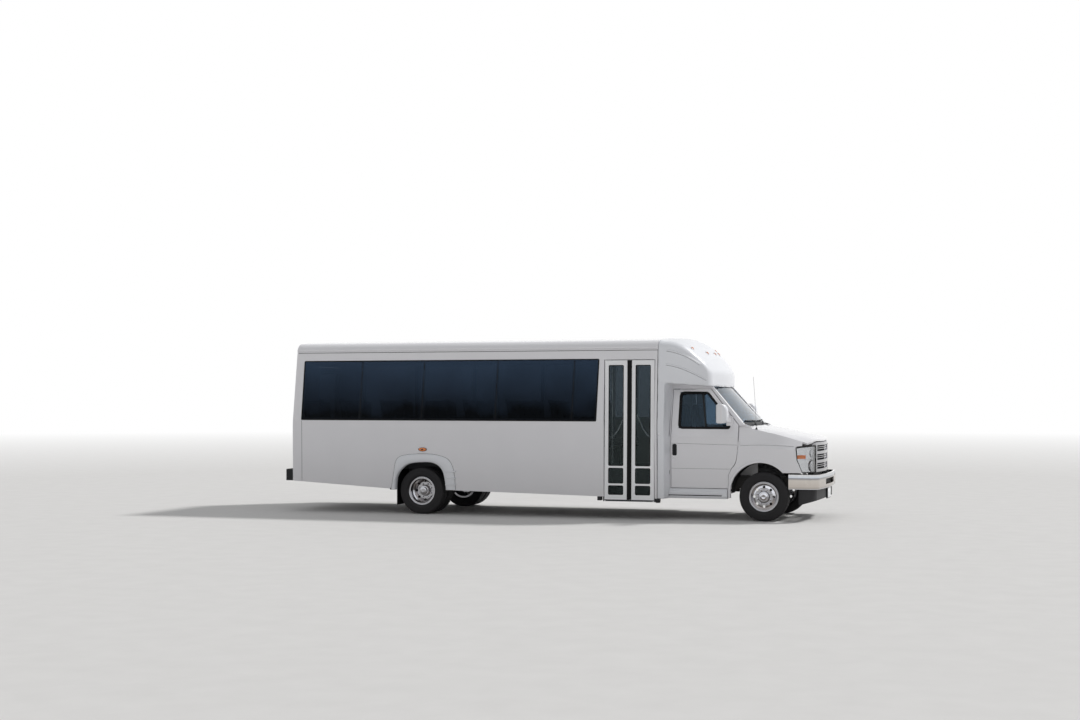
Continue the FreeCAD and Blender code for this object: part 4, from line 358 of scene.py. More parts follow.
class Graph:
    """Small helper round the nodes of a material or a world."""

    def __init__(self, owner: bpy.types.Material | bpy.types.World) -> None:
        """Start on the owner's own nodes.

        Args:
            owner: the new material or world.
        """
        owner.use_nodes = True
        self.owner, self.tree = owner, owner.node_tree

    def add(self, kind: str, **settings: object) -> bpy.types.Node:
        """Add a node and set its properties.

        Args:
            kind: Blender's name of the node type.
            settings: properties to set on it.

        Returns:
            The node.
        """
        node = self.tree.nodes.new(kind)
        for key, value in settings.items():
            setattr(node, key, value)
        return node

    def feed(self, target: Socket, value: Socket | Colour | float) -> None:
        """Lead a socket, a colour or a number to an input.

        Args:
            target: the input.
            value: what it takes.
        """
        if isinstance(value, Socket):
            self.tree.links.new(value, target)
        else:
            target.default_value = (*value, 1) if isinstance(value, tuple) else value

    def shade(self, values: dict[str, Socket | Colour | float]) -> None:
        """Feed the material's shader.

        Args:
            values: what each named input of the shader takes.
        """
        for name, value in values.items():
            self.feed(self.tree.nodes["Principled BSDF"].inputs[name], value)

    def place(self, kind: str = "Object") -> Socket:
        """Coordinates over the surface."""
        return self.add("ShaderNodeTexCoord").outputs[kind]

    def axis(self, source: Socket, name: str) -> Socket:
        """One axis of a vector.

        Args:
            source: socket with the vector.
            name: X, Y or Z.

        Returns:
            The number's socket.
        """
        node = self.add("ShaderNodeSeparateXYZ")
        self.feed(node.inputs[0], source)
        return node.outputs[name]

    def math(self, operation: str, *values: float | Socket) -> Socket:
        """Reckon with sockets and numbers.

        Args:
            operation: Blender's name of the operation.
            values: sockets and numbers, in the operation's order.

        Returns:
            The result's socket.
        """
        node = self.add("ShaderNodeMath", operation=operation)
        for target, value in zip(node.inputs, values):
            self.feed(target, value)
        return node.outputs[0]

    def mix(self, factor: float | Socket, first: Socket | Colour, second: Socket | Colour,
            blend: str = "MIX") -> Socket:
        """Mix two colours.

        Args:
            factor: how much of the second one counts.
            first: the first colour.
            second: the second colour.
            blend: Blender's name of the way they are mixed.

        Returns:
            The mixed colour's socket.
        """
        node = self.add("ShaderNodeMix", data_type="RGBA", blend_type=blend)
        for name, value in (("Factor", factor), ("A", first), ("B", second)):
            self.feed(node.inputs[name], value)
        return node.outputs["Result"]

    def ramp(self, source: Socket, stops: Sequence[tuple[float, Colour]]) -> Socket:
        """Colours along a value from 0 to 1.

        Args:
            source: socket with the value.
            stops: places and colours, the first at 0 and the last at 1.

        Returns:
            The colour's socket.
        """
        node = self.add("ShaderNodeValToRGB")
        self.feed(node.inputs["Fac"], source)
        elements = node.color_ramp.elements
        elements[0].color, elements[1].color = (*stops[0][1], 1), (*stops[-1][1], 1)
        for spot, tint in stops[1:-1]:
            elements.new(spot).color = (*tint, 1)
        return node.outputs["Color"]

    def noise(self, place: Socket, scale: float, detail: float) -> Socket:
        """Noise over the surface.

        Args:
            place: socket with the coordinates.
            scale: cells a metre.
            detail: octaves.

        Returns:
            The noise value's socket.
        """
        node = self.add("ShaderNodeTexNoise")
        for name, value in (("Scale", scale), ("Detail", detail), ("Vector", place)):
            self.feed(node.inputs[name], value)
        return node.outputs[0]

    def span(self, source: Socket, low: float, high: float, first: float,
             last: float) -> Socket:
        """Map a value's range to another.

        Args:
            source: socket with the value.
            low: value that gives `first`.
            high: value that gives `last`.
            first: result at the low end.
            last: result at the high end.

        Returns:
            The result's socket.
        """
        node = self.add("ShaderNodeMapRange")
        for name, value in (("From Min", low), ("From Max", high), ("To Min", first), ("To Max", last),
                            ("Value", source)):
            self.feed(node.inputs[name], value)
        return node.outputs["Result"]

    def bump(self, height: Socket, strength: float, depth: float) -> None:
        """Lead a height to the shader's normal.

        Args:
            height: socket with the height.
            strength: how much of it shows.
            depth: its depth in metres.
        """
        node = self.add("ShaderNodeBump")
        for name, value in (("Strength", strength), ("Distance", depth), ("Height", height)):
            self.feed(node.inputs[name], value)
        self.shade({"Normal": node.outputs["Normal"]})


FINISHES: dict[Slot, Finish | Glass | Fabric] = {
    Slot.PAINT: Finish((0.8, 0.79, 0.81), 0.32, coat=0.7, grain=420, relief=0.02, mottle=0.05, dust=0.16),
    Slot.PLASTIC: Finish((0.8, 0.81, 0.84), 0.38, coat=0.3, grain=300, relief=0.04, mottle=0.06, dust=0.16),
    Slot.CHASSIS: Finish((0.022, 0.022, 0.024), 0.6, grain=90, relief=0.25, dust=0.18, mottle=0.3),
    Slot.ENGINE: Finish((0.12, 0.12, 0.125), 0.65, metallic=0.3, grain=160, relief=0.4, mottle=0.4),
    Slot.EXHAUST: Finish((0.3, 0.27, 0.24), 0.45, metallic=0.9, grain=70, relief=0.1, mottle=0.6),
    Slot.TYRE: Finish((0.012, 0.012, 0.014), 0.66, grain=380, relief=0.2, mottle=0.2, dust=0.03, specular=0.25),
    # Wheel chrome paints a reflection: tints by which way each face looks.
    Slot.WHEEL: Finish((0.74, 0.74, 0.76), 0.12, metallic=1.0, grain=30, relief=0.015, mottle=0.16,
                       gloss_spread=0.05, polished=True),
    Slot.FLOOR: Finish((0.1, 0.105, 0.115), 0.6, grain=500, relief=0.4, mottle=0.2),
    # Dark glass paints a sky reflection: near black at the foot, blue at the crown.
    Slot.DARK_GLASS: Glass((0.045, 0.055, 0.07), ior=1.6, foot=(0.05, 0.06, 0.075),
                           crown=(0.36, 0.58, 0.95), heights=(1.62, 2.42)),
    # Cab glass paints a reflection that grows bluer towards the crown.
    Slot.CAB_GLASS: Glass((0.19, 0.26, 0.33), ior=1.45, foot=(0.5, 0.68, 0.86), crown=(0.55, 0.74, 0.92),
                          heights=(0.4, 2.0)),
    Slot.RUBBER: Finish((0.008, 0.008, 0.009), 0.6, grain=260, relief=0.1, mottle=0.15, specular=0.12),
    Slot.TRIM: Finish((0.015, 0.016, 0.018), 0.5, grain=600, relief=0.3, mottle=0.2, specular=0.25),
    Slot.RED: Finish((0.42, 0.012, 0.01), 0.16, coat=1.0, grain=120, relief=0.05, mottle=0.3),
    Slot.AMBER: Finish((0.8, 0.2, 0.01), 0.18, coat=1.0, grain=120, relief=0.05, mottle=0.3),
    Slot.CLEAR: Glass((0.92, 0.94, 0.96), ior=1.3),
    Slot.DOOR: Finish((0.92, 0.92, 0.93), 0.34, coat=0.25, grain=220, relief=0.03),
    Slot.RAIL: Finish((0.62, 0.62, 0.63), 0.24, metallic=1.0, grain=120, relief=0.03, mottle=0.2),
    Slot.VINYL: Fabric((0.055, 0.062, 0.085), (0.085, 0.095, 0.125)),
    Slot.DASH: Finish((0.075, 0.077, 0.082), 0.6, grain=700, relief=0.4, mottle=0.12),
    # Grille chrome paints a reflection: tints by which way each face looks.
    Slot.GRILLE: Finish((0.74, 0.74, 0.76), 0.12, metallic=1.0, grain=40, relief=0.01, mottle=0.1,
                        polished=True),
    # Bumper chrome paints a reflection by height: light at the lower edge, warm over the middle, a dark line, then
    # light and bluish at the top.
    Slot.BUMPER: Finish((0.88, 0.88, 0.89), 0.1, metallic=1.0, grain=24, relief=0.02, mottle=0.12,
                        levels=((0.493, (0.95, 0.96, 1.0)), (0.506, (0.5, 0.46, 0.42)), (0.53, (0.72, 0.66, 0.6)),
                                (0.625, (0.78, 0.73, 0.67)), (0.655, (0.34, 0.34, 0.36)), (0.668, (0.86, 0.92, 1.0)),
                                (0.712, (1.0, 1.0, 1.0)))),
    Slot.VALANCE: Finish((0.014, 0.015, 0.018), 0.52, grain=650, relief=0.35, mottle=0.2, dust=0.04,
                         specular=0.3),
}
MATERIALS: dict[Slot, bpy.types.Material] = {}


def material(slot: Slot) -> bpy.types.Material:
    """Material of a slot, made when it is first asked for.

    Args:
        slot: slot of the record.

    Returns:
        The material.
    """
    if slot not in MATERIALS:
        MATERIALS[slot] = FINISHES[slot].build(f"{slot.value}_finish")
    return MATERIALS[slot]


Points = Sequence[Sequence[float]]
Mesh = tuple[list[Vector], list[tuple[int, ...]]]


def joined(parts: Iterable[Mesh]) -> Mesh:
    """Join several vertex and face lists into one.

    Args:
        parts: the meshes to join.

    Returns:
        One mesh.
    """
    points: list[Vector] = []
    faces: list[tuple[int, ...]] = []
    for more, polygons in parts:
        start = len(points)
        points.extend(more)
        faces.extend(tuple(start + index for index in polygon) for polygon in polygons)
    return points, faces


def moved(mesh: Mesh, matrix: Matrix) -> Mesh:
    """Mesh carried by a matrix.

    Args:
        mesh: mesh to carry.
        matrix: how it is turned, scaled and shifted.

    Returns:
        The carried mesh.
    """
    points, faces = mesh
    if matrix.to_3x3().determinant() < 0:
        faces = [tuple(reversed(face)) for face in faces]
    return [matrix @ point for point in points], faces


def mirrored(mesh: Mesh) -> Mesh:
    """Mesh mirrored to the other side of the bus."""
    return moved(mesh, Matrix.Scale(-1, 4, ACROSS))


def both_sides(mesh: Mesh) -> Mesh:
    """A mesh and its mirror image."""
    return joined([mesh, mirrored(mesh)])


def evaluated(item: bpy.types.Object) -> bpy.types.Mesh:
    """Mesh of an object with its modifiers worked in."""
    return bpy.data.meshes.new_from_object(item.evaluated_get(bpy.context.evaluated_depsgraph_get()))


def taken(data: bpy.types.Mesh) -> Mesh:
    """Points and faces of a mesh."""
    return [vertex.co.copy() for vertex in data.vertices], [tuple(face.vertices) for face in data.polygons]


def linked(name: str, data: bpy.types.ID) -> bpy.types.Object:
    """New object of the scene.

    Args:
        name: name of the object.
        data: what it shows: a mesh, a lamp or a camera.

    Returns:
        The object.
    """
    item = bpy.data.objects.new(name, data)
    bpy.context.scene.collection.objects.link(item)
    return item


def plain(name: str, mesh: Mesh) -> bpy.types.Object:
    """New object of a mesh, without a finish.

    Args:
        name: name of the object.
        mesh: its points and faces.

    Returns:
        The object.
    """
    data = bpy.data.meshes.new(name)
    data.from_pydata([tuple(point) for point in mesh[0]], [], mesh[1])
    return linked(name, data)


def gridded(item: bpy.types.Object, voxel: float) -> bpy.types.Mesh:
    """Rebuild an object's mesh on an even grid.

    Args:
        item: the object, which takes the new mesh.
        voxel: size of the grid's cells.

    Returns:
        The new mesh.
    """
    remesh = item.modifiers.new("grid", "REMESH")
    remesh.mode, remesh.voxel_size = "VOXEL", voxel
    even = evaluated(item)
    item.modifiers.clear()
    item.data = even
    return even


def tube_faces(rings: int, size: int, closed: bool = False) -> list[tuple[int, ...]]:
    """Faces of a tube whose points are given ring by ring.

    Args:
        rings: number of rings.
        size: points in each ring.
        closed: whether the last ring meets the first; an open tube has caps.

    Returns:
        The faces.
    """
    faces = []
    for ring in range(rings if closed else rings - 1):
        here, following = ring * size, (ring + 1) % rings * size
        for row in range(size):
            other = (row + 1) % size
            faces.append((here + row, here + other, following + other, following + row))
    if not closed:
        faces.append(tuple(range(size - 1, -1, -1)))
        faces.append(tuple((rings - 1) * size + row for row in range(size)))
    return faces


def piece(name: str, mesh: Mesh, slot: Slot, body: str = "bus", replaces: Sequence[str] = (),
          sharp: float = 35.0) -> bpy.types.Object:
    """Make an object from a mesh, dress it and let it ride on a body.

    Args:
        name: name of the piece.
        mesh: its points and faces.
        slot: material slot that it takes its finish from.
        body: CAD body that it moves with.
        replaces: CAD nodes that it stands for.
        sharp: angle in degrees above which an edge stays sharp.

    Returns:
        The new object.
    """
    item = plain(name, mesh)
    data = item.data
    data.validate()
    shell = bmesh.new()
    shell.from_mesh(data)
    bmesh.ops.recalc_face_normals(shell, faces=shell.faces)
    shell.to_mesh(data)
    shell.free()
    data.materials.append(material(slot))
    data.shade_smooth()
    data.set_sharp_from_angle(angle=math.radians(sharp))
    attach(item, body)
    if replaces:
        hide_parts(*replaces)
    return item


def lathe(profile: Points, steps: int | Sequence[float],
          shape: Callable[[float, float, float], float] | None = None, closed: bool = False) -> Mesh:
    """Turn a profile round the Y axis.

    Args:
        profile: offsets along Y and radii.
        steps: number of even steps round the turn, or their places from 0 to 1.
        shape: changes a radius, from the offset, the radius and the turn from 0 to 1.
        closed: whether the profile's ends meet.

    Returns:
        The mesh round the origin.
    """
    turns = [step / steps for step in range(steps)] if isinstance(steps, int) else steps
    points = []
    for turn in turns:
        angle = 2 * math.pi * turn
        for offset, radius in profile:
            reach = shape(offset, radius, turn) if shape else radius
            points.append(Vector((reach * math.cos(angle), offset, reach * math.sin(angle))))
    count = len(profile)
    faces = []
    for index in range(len(turns)):
        here, after = index * count, (index + 1) % len(turns) * count
        for row in range(count if closed else count - 1):
            following = (row + 1) % count
            faces.append((here + row, after + row, after + following, here + following))
    return points, faces


def box(low: Sequence[float], high: Sequence[float], round_off: float = 0.0, steps: int = 2) -> Mesh:
    """Box between two corners, its edges rounded off.

    Args:
        low: lowest corner.
        high: highest corner.
        round_off: width of the rounding.
        steps: segments of the rounding.

    Returns:
        The mesh.
    """
    shell = bmesh.new()
    bmesh.ops.create_cube(shell, size=1)
    low, high = Vector(low), Vector(high)
    for vertex in shell.verts:
        vertex.co = Vector([low[i] + (vertex.co[i] + 0.5) * (high[i] - low[i]) for i in range(3)])
    if round_off:
        bmesh.ops.bevel(shell, geom=shell.edges[:], offset=round_off, segments=steps, profile=0.5,
                        affect="EDGES")
    return emptied(shell)


def slab(low: Sequence[float], high: Sequence[float], round_off: float = 0.0, steps: int = 2) -> Mesh:
    """Box between two corners that are given as distances ahead of the rear axle, across and up."""
    return box(station(*low), station(*high), round_off, steps)


def emptied(shell: bmesh.types.BMesh) -> Mesh:
    """Take the points and faces out of a working mesh and free it.

    Args:
        shell: the working mesh.

    Returns:
        Its points and faces.
    """
    shell.verts.index_update()
    points = [vertex.co.copy() for vertex in shell.verts]
    faces = [tuple(vertex.index for vertex in face.verts) for face in shell.faces]
    shell.free()
    return points, faces


def rounded(corners: Points, radius: float | Sequence[float], steps: int = 5,
            closed: bool = True) -> list[Vector]:
    """Path through corners with an arc at each.

    Args:
        corners: the corner points.
        radius: radius of the arcs, one for all or one for each corner.
        steps: steps of an arc.
        closed: whether the path comes back to its start.

    Returns:
        The points of the path.
    """
    corners = [Vector(corner) for corner in corners]
    count = len(corners)
    path = []
    for index, corner in enumerate(corners):
        size = radius[index] if isinstance(radius, (list, tuple)) else radius
        if not size or (not closed and index in (0, count - 1)):
            path.append(corner.copy())
            continue
        back = (corners[index - 1] - corner).normalized()
        ahead = (corners[(index + 1) % count] - corner).normalized()
        half = back.angle(ahead) / 2
        reach = size / math.tan(half)
        middle = corner + (back + ahead).normalized() * size / math.sin(half)
        first, last = corner + back * reach - middle, corner + ahead * reach - middle
        for step in range(steps + 1):
            blend = step / steps
            whole = math.pi - 2 * half
            weight = math.sin((1 - blend) * whole) / math.sin(whole), math.sin(blend * whole) / math.sin(whole)
            path.append(middle + first * weight[0] + last * weight[1])
    return path


def sweep(path: Sequence[Vector], profile: Points, normal: Sequence[float] | Vector = UP,
          closed: bool = True) -> Mesh:
    """Sweep a profile along a path, with mitred corners.

    Args:
        path: points of the path.
        profile: closed outline as pairs, sideways to the path and along the normal.
        normal: direction that stays across the path.
        closed: whether the path comes back to its start.

    Returns:
        The mesh, capped at its ends when the path is open.
    """
    normal = Vector(normal).normalized()
    count = len(path)
    points = []
    for index, spot in enumerate(path):
        before = path[index - 1] if closed or index else None
        after = path[(index + 1) % count] if closed or index < count - 1 else None
        arriving = (spot - before).normalized() if before is not None else (after - spot).normalized()
        leaving = (after - spot).normalized() if after is not None else arriving
        along = (arriving + leaving).normalized()
        side = normal.cross(along).normalized()
        stretch = 1 / max(math.cos(arriving.angle(leaving, 0) / 2), 0.35)
        rise = along.cross(side)
        points.extend(spot + side * (across * stretch) + rise * up for across, up in profile)
    return points, tube_faces(count, len(profile), closed)


def rod(path: Sequence[Vector], profile: Points, normal: Sequence[float] | Vector = UP) -> Mesh:
    """Sweep a profile along a path with two ends."""
    return sweep(path, profile, normal, closed=False)


def circle(radius: float, steps: int) -> list[tuple[float, float]]:
    """Round profile for a sweep."""
    angles = [2 * math.pi * step / steps for step in range(steps)]
    return [(radius * math.cos(angle), radius * math.sin(angle)) for angle in angles]


def oblong(left: float, right: float, low: float, high: float) -> list[tuple[float, float]]:
    """Four corners of a rectangle, for a profile or an outline."""
    return [(left, low), (right, low), (right, high), (left, high)]


def strip(width: float, height: float) -> list[tuple[float, float]]:
    """Flat profile for a sweep, centred across and standing on the path.

    Args:
        width: width of the strip.
        height: how proud it stands.

    Returns:
        The profile.
    """
    half, edge = width / 2, height * 0.3
    return [(-half, -0.002), (half, -0.002), (half, height - edge), (half - edge, height),
            (-half + edge, height), (-half, height - edge)]


def smooth_path(knots: Points, steps: int = 8) -> list[Vector]:
    """Smooth curve through knots.

    Args:
        knots: points that the curve passes through.
        steps: steps between two knots.

    Returns:
        The curve's points.
    """
    knots = [Vector(knot) for knot in knots]
    ends = [2 * knots[0] - knots[1], *knots, 2 * knots[-1] - knots[-2]]
    path = []
    for index in range(1, len(ends) - 2):
        before, first, second, after = ends[index - 1:index + 3]
        for step in range(steps):
            t = step / steps
            path.append(0.5 * (2 * first + (second - before) * t
                               + (2 * before - 5 * first + 4 * second - after) * t ** 2
                               + (3 * first - before - 3 * second + after) * t ** 3))
    return [*path, knots[-1].copy()]


@dataclass
class Paintwork:
    """Finishes of the CAD nodes that are shown as they are."""

    clearer: tuple[str, ...] = ("entry_glass_front", "entry_glass_rear")
    walls: tuple[str, ...] = ("left_wall", "right_wall")
    # Entry glass paints a reflection that grows bluer towards the crown.
    clearer_glass: Glass = Glass((0.44, 0.48, 0.49), ior=1.5, foot=(0.3, 0.36, 0.36), crown=(0.42, 0.55, 0.66),
                                 heights=(1.2, 2.4))

    def build(self) -> None:
        """Give every node the finish of its slot, or its own."""
        special = dict.fromkeys(self.clearer, self.clearer_glass.build("entry_glass_finish"))
        special |= dict.fromkeys(self.walls, replace(FINISHES[Slot.PAINT], rebated=True).build("wall_paint_finish"))
        for row in frame["record"]["subparts"]:
            node = frame["nodes"][row["node"]]
            finish = special.get(row["node"]) or material(Slot(row["material_slot"]))
            if not node.material_slots:
                node.data.materials.append(finish)
            for place in node.material_slots:
                place.material = finish
        LOG.info("finished %d CAD nodes", len(frame["nodes"]))


@dataclass
class Tyres:
    """Tyres with ribbed sidewalls, main grooves and notched shoulders."""

    radius: float = WHEEL_RADIUS
    half: float = 0.111
    pitches: int = 58
    steps: tuple[float, ...] = (0.0, 0.03, 0.35, 0.38)
    groove_depth: float = 0.009
    shoulder_depth: float = 0.007
    notch_depth: float = 0.004

    def profile(self) -> list[tuple[float, float]]:
        """Half section from the outer bead to the inner one.

        Returns:
            Offsets and radii.
        """
        side = [(0.0755, 0.207), (0.0758, 0.2262), (0.086, 0.2295), (0.0925, 0.232), (0.0965, 0.237),
                (0.101, 0.2405), (0.106, 0.252), (0.1073, 0.256), (0.1093, 0.257), (0.1105, 0.27),
                (0.1108, 0.288), (0.1102, 0.296), (0.1085, 0.2968), (0.1078, 0.308), (0.109, 0.3092),
                (0.1078, 0.32), (0.1062, 0.328), (0.1062, 0.336), (0.1045, 0.344), (0.1005, 0.356),
                (0.096, 0.364), (0.0905, 0.3692)]
        tread = [0.088, 0.076, 0.066, 0.056, 0.0545, 0.0455, 0.044, 0.033, 0.0225, 0.021, 0.013,
                 0.0115, 0.0]
        crown = [(offset, self.radius - 0.3 * offset ** 2) for offset in tread]
        outer = side + crown
        return [(offset, radius) for offset, radius in outer] + [
            (-offset, radius) for offset, radius in reversed(outer[:-1])]

    def tread(self, offset: float, radius: float, turn: float) -> float:
        """Cut grooves and notches into the tread.

        Args:
            offset: distance from the tyre's middle.
            radius: radius of the plain section there.
            turn: part of the turn from 0 to 1.

        Returns:
            The radius with the pattern cut in.
        """
        away = abs(offset)
        if radius < 0.33:
            return radius
        phase = ((turn + 1e-4) * self.pitches + (0.5 if offset < 0 else 0.0)) % 1.0
        if 0.045 <= away <= 0.055 or 0.0125 <= away <= 0.0215:
            return radius - self.groove_depth
        if away > 0.065 and 0.02 < phase < 0.36:
            return radius - (self.shoulder_depth if away < 0.0975 else self.notch_depth)
        if 0.022 < away < 0.044 and 0.52 < phase < 0.66:
            return radius - self.notch_depth
        return radius

    def build(self) -> None:
        """Build the tyres of all wheels."""
        # Uneven steps round each pitch put the notch walls close together.
        turns = [(pitch + step) / self.pitches for pitch in range(self.pitches) for step in self.steps]
        tyre = lathe(self.profile(), turns, self.tread)
        for name in SIDE_NAMES.values():
            front = frame_centre(f"front_tyre_{name}")
            piece(f"front_tyre_tread_{name}", moved(tyre, Matrix.Translation(front)), Slot.TYRE,
                  f"front_wheel_{name}", [f"front_tyre_{name}"], 28)
            low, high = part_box(f"rear_tyres_{name}")
            edges = (low.y + self.half, high.y - self.half)
            pair = [moved(tyre, Matrix.Translation(Vector(((low.x + high.x) / 2, across, self.radius))))
                    for across in edges]
            piece(f"rear_tyre_treads_{name}", joined(pair), Slot.TYRE, f"rear_wheels_{name}",
                  [f"rear_tyres_{name}"], 28)
        LOG.info("tyres: %d notches round each", self.pitches)


def frame_centre(node: str) -> Vector:
    """Middle of a CAD node's box."""
    low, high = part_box(node)
    return (low + high) / 2


@dataclass
class WheelTrim:
    """Hub caps, nut covers, bead rings and valve stems on the chromed wheels."""

    track: float = 0.879
    rear_track: float = 1.059
    nuts: int = 8
    nut_circle: float = 0.108
    lip: float = 0.2215

    def nut(self, outward: float) -> Mesh:
        """Chromed nut cover, rounded at its end, that stands on the disc.

        Args:
            outward: place of the disc's face along Y.

        Returns:
            The covers round one wheel.
        """
        profile = [(-0.004, 0.0155), (0.004, 0.0155), (0.006, 0.0125), (0.024, 0.0115), (0.03, 0.0085),
                   (0.032, 0.0)]
        cover = lathe(profile, 12)
        ring = []
        for index in range(self.nuts):
            angle = 2 * math.pi * (index + 0.5) / self.nuts
            spot = Vector((self.nut_circle * math.cos(angle), outward, self.nut_circle * math.sin(angle)))
            ring.append(moved(cover, Matrix.Translation(spot)))
        return joined(ring)

    def bead(self, offset: float) -> Mesh:
        """Rolled edge of the rim."""
        profile = [(offset + 0.005 * across, self.lip + 0.0042 * up) for across, up in circle(1.0, 8)]
        return lathe(profile, 72, closed=True)

    def front(self) -> Mesh:
        """Trim of a front wheel, outward along +Y from the tyre's middle.

        Returns:
            The mesh.
        """
        cap = [(0.068, 0.094), (0.074, 0.092), (0.08, 0.086), (0.096, 0.08), (0.1015, 0.076),
               (0.106, 0.07), (0.1075, 0.064), (0.1055, 0.06), (0.1065, 0.056), (0.113, 0.05),
               (0.116, 0.042), (0.1172, 0.03), (0.115, 0.027), (0.1155, 0.0)]
        return joined([lathe(cap, 64), self.nut(0.07), self.bead(0.0855), self.stem(0.07, 0.165)])

    def rear(self) -> Mesh:
        """Trim of a rear wheel, outward along +Y from the outer tyre's middle.

        Returns:
            The mesh.
        """
        cap = [(-0.075, 0.092), (-0.066, 0.09), (-0.06, 0.083), (-0.012, 0.0785), (-0.006, 0.074),
               (-0.005, 0.06), (0.004, 0.056), (0.016, 0.0545), (0.0225, 0.05), (0.0245, 0.042),
               (0.025, 0.03), (0.0225, 0.027), (0.0228, 0.0)]
        return joined([lathe(cap, 64), self.nut(-0.071), self.bead(0.0855), self.stem(-0.06, 0.16)])

    def stem(self, offset: float, radius: float) -> Mesh:
        """Valve stem that points outward."""
        profile = [(0.0, 0.0052), (0.02, 0.0046), (0.022, 0.0056), (0.034, 0.0052), (0.036, 0.0)]
        return moved(lathe(profile, 10), Matrix.Translation((0, offset, radius)))

    def build(self) -> None:
        """Place the trim on all four hubs."""
        for side, name in SIDE_NAMES.items():
            turn = Matrix.Scale(side, 4, ACROSS)
            front = Matrix.Translation(station(FRONT_AXLE, side * self.track, WHEEL_RADIUS)) @ turn
            piece(f"front_wheel_trim_{name}", moved(self.front(), front), Slot.WHEEL,
                  f"front_wheel_{name}", sharp=40)
            rear = Matrix.Translation(station(0, side * self.rear_track, WHEEL_RADIUS)) @ turn
            piece(f"rear_wheel_trim_{name}", moved(self.rear(), rear), Slot.WHEEL,
                  f"rear_wheels_{name}", sharp=40)
        LOG.info("wheel trim on four hubs")


def finder(trees: Sequence[BVHTree]) -> Callable[[Vector, Vector], tuple[Vector, Vector]]:
    """Make a function that finds where a line meets some surfaces.

    Args:
        trees: trees of the surfaces.

    Returns:
        A function of a start and a direction that gives the point met and its outward normal.
    """
    def find(start: Vector, way: Vector) -> tuple[Vector, Vector]:
        """Nearest point that a line meets, and its outward normal.

        Args:
            start: where the line starts.
            way: where it goes.

        Returns:
            The point and the normal.
        """
        hits = [tree.ray_cast(start, way) for tree in trees]
        met = [hit for hit in hits if hit[0] is not None]
        if not met:
            raise ValueError(f"no surface is met from {start}")
        spot, normal, _, _ = min(met, key=lambda hit: hit[3])
        return spot, normal if normal.dot(way) < 0 else -normal
    return find


def surface_finder(*nodes: str) -> Callable[[Vector, Vector], tuple[Vector, Vector]]:
    """Finder of the skin of some CAD nodes.

    Args:
        nodes: names of the nodes.

    Returns:
        The finder.
    """
    meshes = [frame["nodes"][node].data for node in nodes]
    return finder([BVHTree.FromPolygons([vertex.co for vertex in mesh.vertices],
                                        [tuple(face.vertices) for face in mesh.polygons]) for mesh in meshes])


def draped(start_points: Sequence[Vector], way: Vector, profile: Points,
           find: Callable[[Vector, Vector], tuple[Vector, Vector]]) -> Mesh:
    """Sweep a profile along a line that is laid on a surface.

    Args:
        start_points: points off the surface, one for each point of the line.
        way: direction in which they are laid on it.
        profile: closed outline as pairs, across the line and away from the surface.
        find: finder of the surface.

    Returns:
        The mesh.
    """
    met = [find(point, way) for point in start_points]
    points = []
    for index, (spot, normal) in enumerate(met):
        before, after = met[max(index - 1, 0)][0], met[min(index + 1, len(met) - 1)][0]
        side = normal.cross(after - before).normalized()
        points.extend(spot + side * across + normal * up for across, up in profile)
    return points, tube_faces(len(met), len(profile))


def outward(side: int, lean: float) -> Vector:
    """Outward normal of a side that leans in towards its top."""
    return Vector((0, side, lean)).normalized()


BODY_LEAN = (BELT_HALF - GUTTER_HALF) / (GUTTER - BELT)
SKIRT_LEAN = -(BELT_HALF - SKIRT_HALF) / (BELT - SKIRT)


@dataclass
class SideGlazing:
    """Rubber round the side window bands and over the joints of their panes."""

    right_joints: tuple[float, ...] = (-2.1, -1.06, 0.02, 1.27, 2.53, 2.92)
    left_joints: tuple[float, ...] = (-2.1, -1.06, 0.02, 1.27, 2.53, 2.938, 3.72)
    top: float = 2.456
    slant: float = 0.036
    rubber: float = 0.018
    joint: float = 0.01

    def spot(self, joint: float, height: float, side: int) -> Vector:
        """Point of the band at a joint and a height, on the leaning skin."""
        rise = (height - BELT) / (self.top - BELT)
        return on_body(joint + self.slant * rise, height, side)

    def build(self) -> None:
        """Lay the rubbers on both sides."""
        for side, joints in ((RIGHT, self.right_joints), (LEFT, self.left_joints)):
            normal = outward(side, BODY_LEAN)
            corners = [self.spot(*corner, side) for corner in oblong(joints[0], joints[-1], BELT, self.top)]
            parts = [sweep(rounded(corners, 0.012, 3), strip(self.rubber, 0.0032), normal)]
            for joint in joints[1:-1]:
                line = [self.spot(joint, BELT + 0.004, side), self.spot(joint, self.top - 0.004, side)]
                parts.append(rod(line, strip(self.joint, 0.0022), normal))
            piece(f"window_rubbers_{SIDE_NAMES[side]}", joined(parts), Slot.RUBBER)
        LOG.info("window rubbers on both sides")


@dataclass
class BodySeams:
    """Sealed seams, corner guards and the lock beside the entry door."""

    front_seam: float = 3.889
    rear_seam: float = -2.098
    seam_width: float = 0.005

    def build(self) -> None:
        """Lay the seams and the small pieces."""
        profile = strip(self.seam_width, 0.0012)
        parts = []
        for ahead, low, high in ((self.front_seam, 0.332, 2.6), (self.rear_seam, 0.505, 1.494)):
            for bottom, top in ((low, min(high, BELT)), (BELT, high)):
                if top <= bottom:
                    continue
                lean = SKIRT_LEAN if top <= BELT else BODY_LEAN
                line = [on_body(ahead, bottom, RIGHT), on_body(ahead, top, RIGHT)]
                parts.append(both_sides(rod(line, profile, outward(RIGHT, lean))))
        piece("body_seams", joined(parts), Slot.RUBBER)
        guards = [slab((2.94, -1.203, 0.283), (3.004, -1.12, 0.343), 0.005),
                  slab((3.862, -1.2, 0.262), (3.922, -1.12, 0.33), 0.005)]
        piece("doorway_corner_guards", joined(guards), Slot.TRIM)
        lock = [(-0.004, 0.0125), (0.003, 0.0125), (0.0045, 0.0105), (0.0045, 0.0035), (0.0015, 0.003),
                (0.0015, 0.0)]
        spot = on_body(3.92, 1.305, RIGHT)
        turned = moved(lathe(lock, 20), Matrix.Translation(spot) @ Matrix.Scale(-1, 4, ACROSS))
        piece("entry_door_lock", turned, Slot.RAIL)
        LOG.info("seams, corner guards and lock")


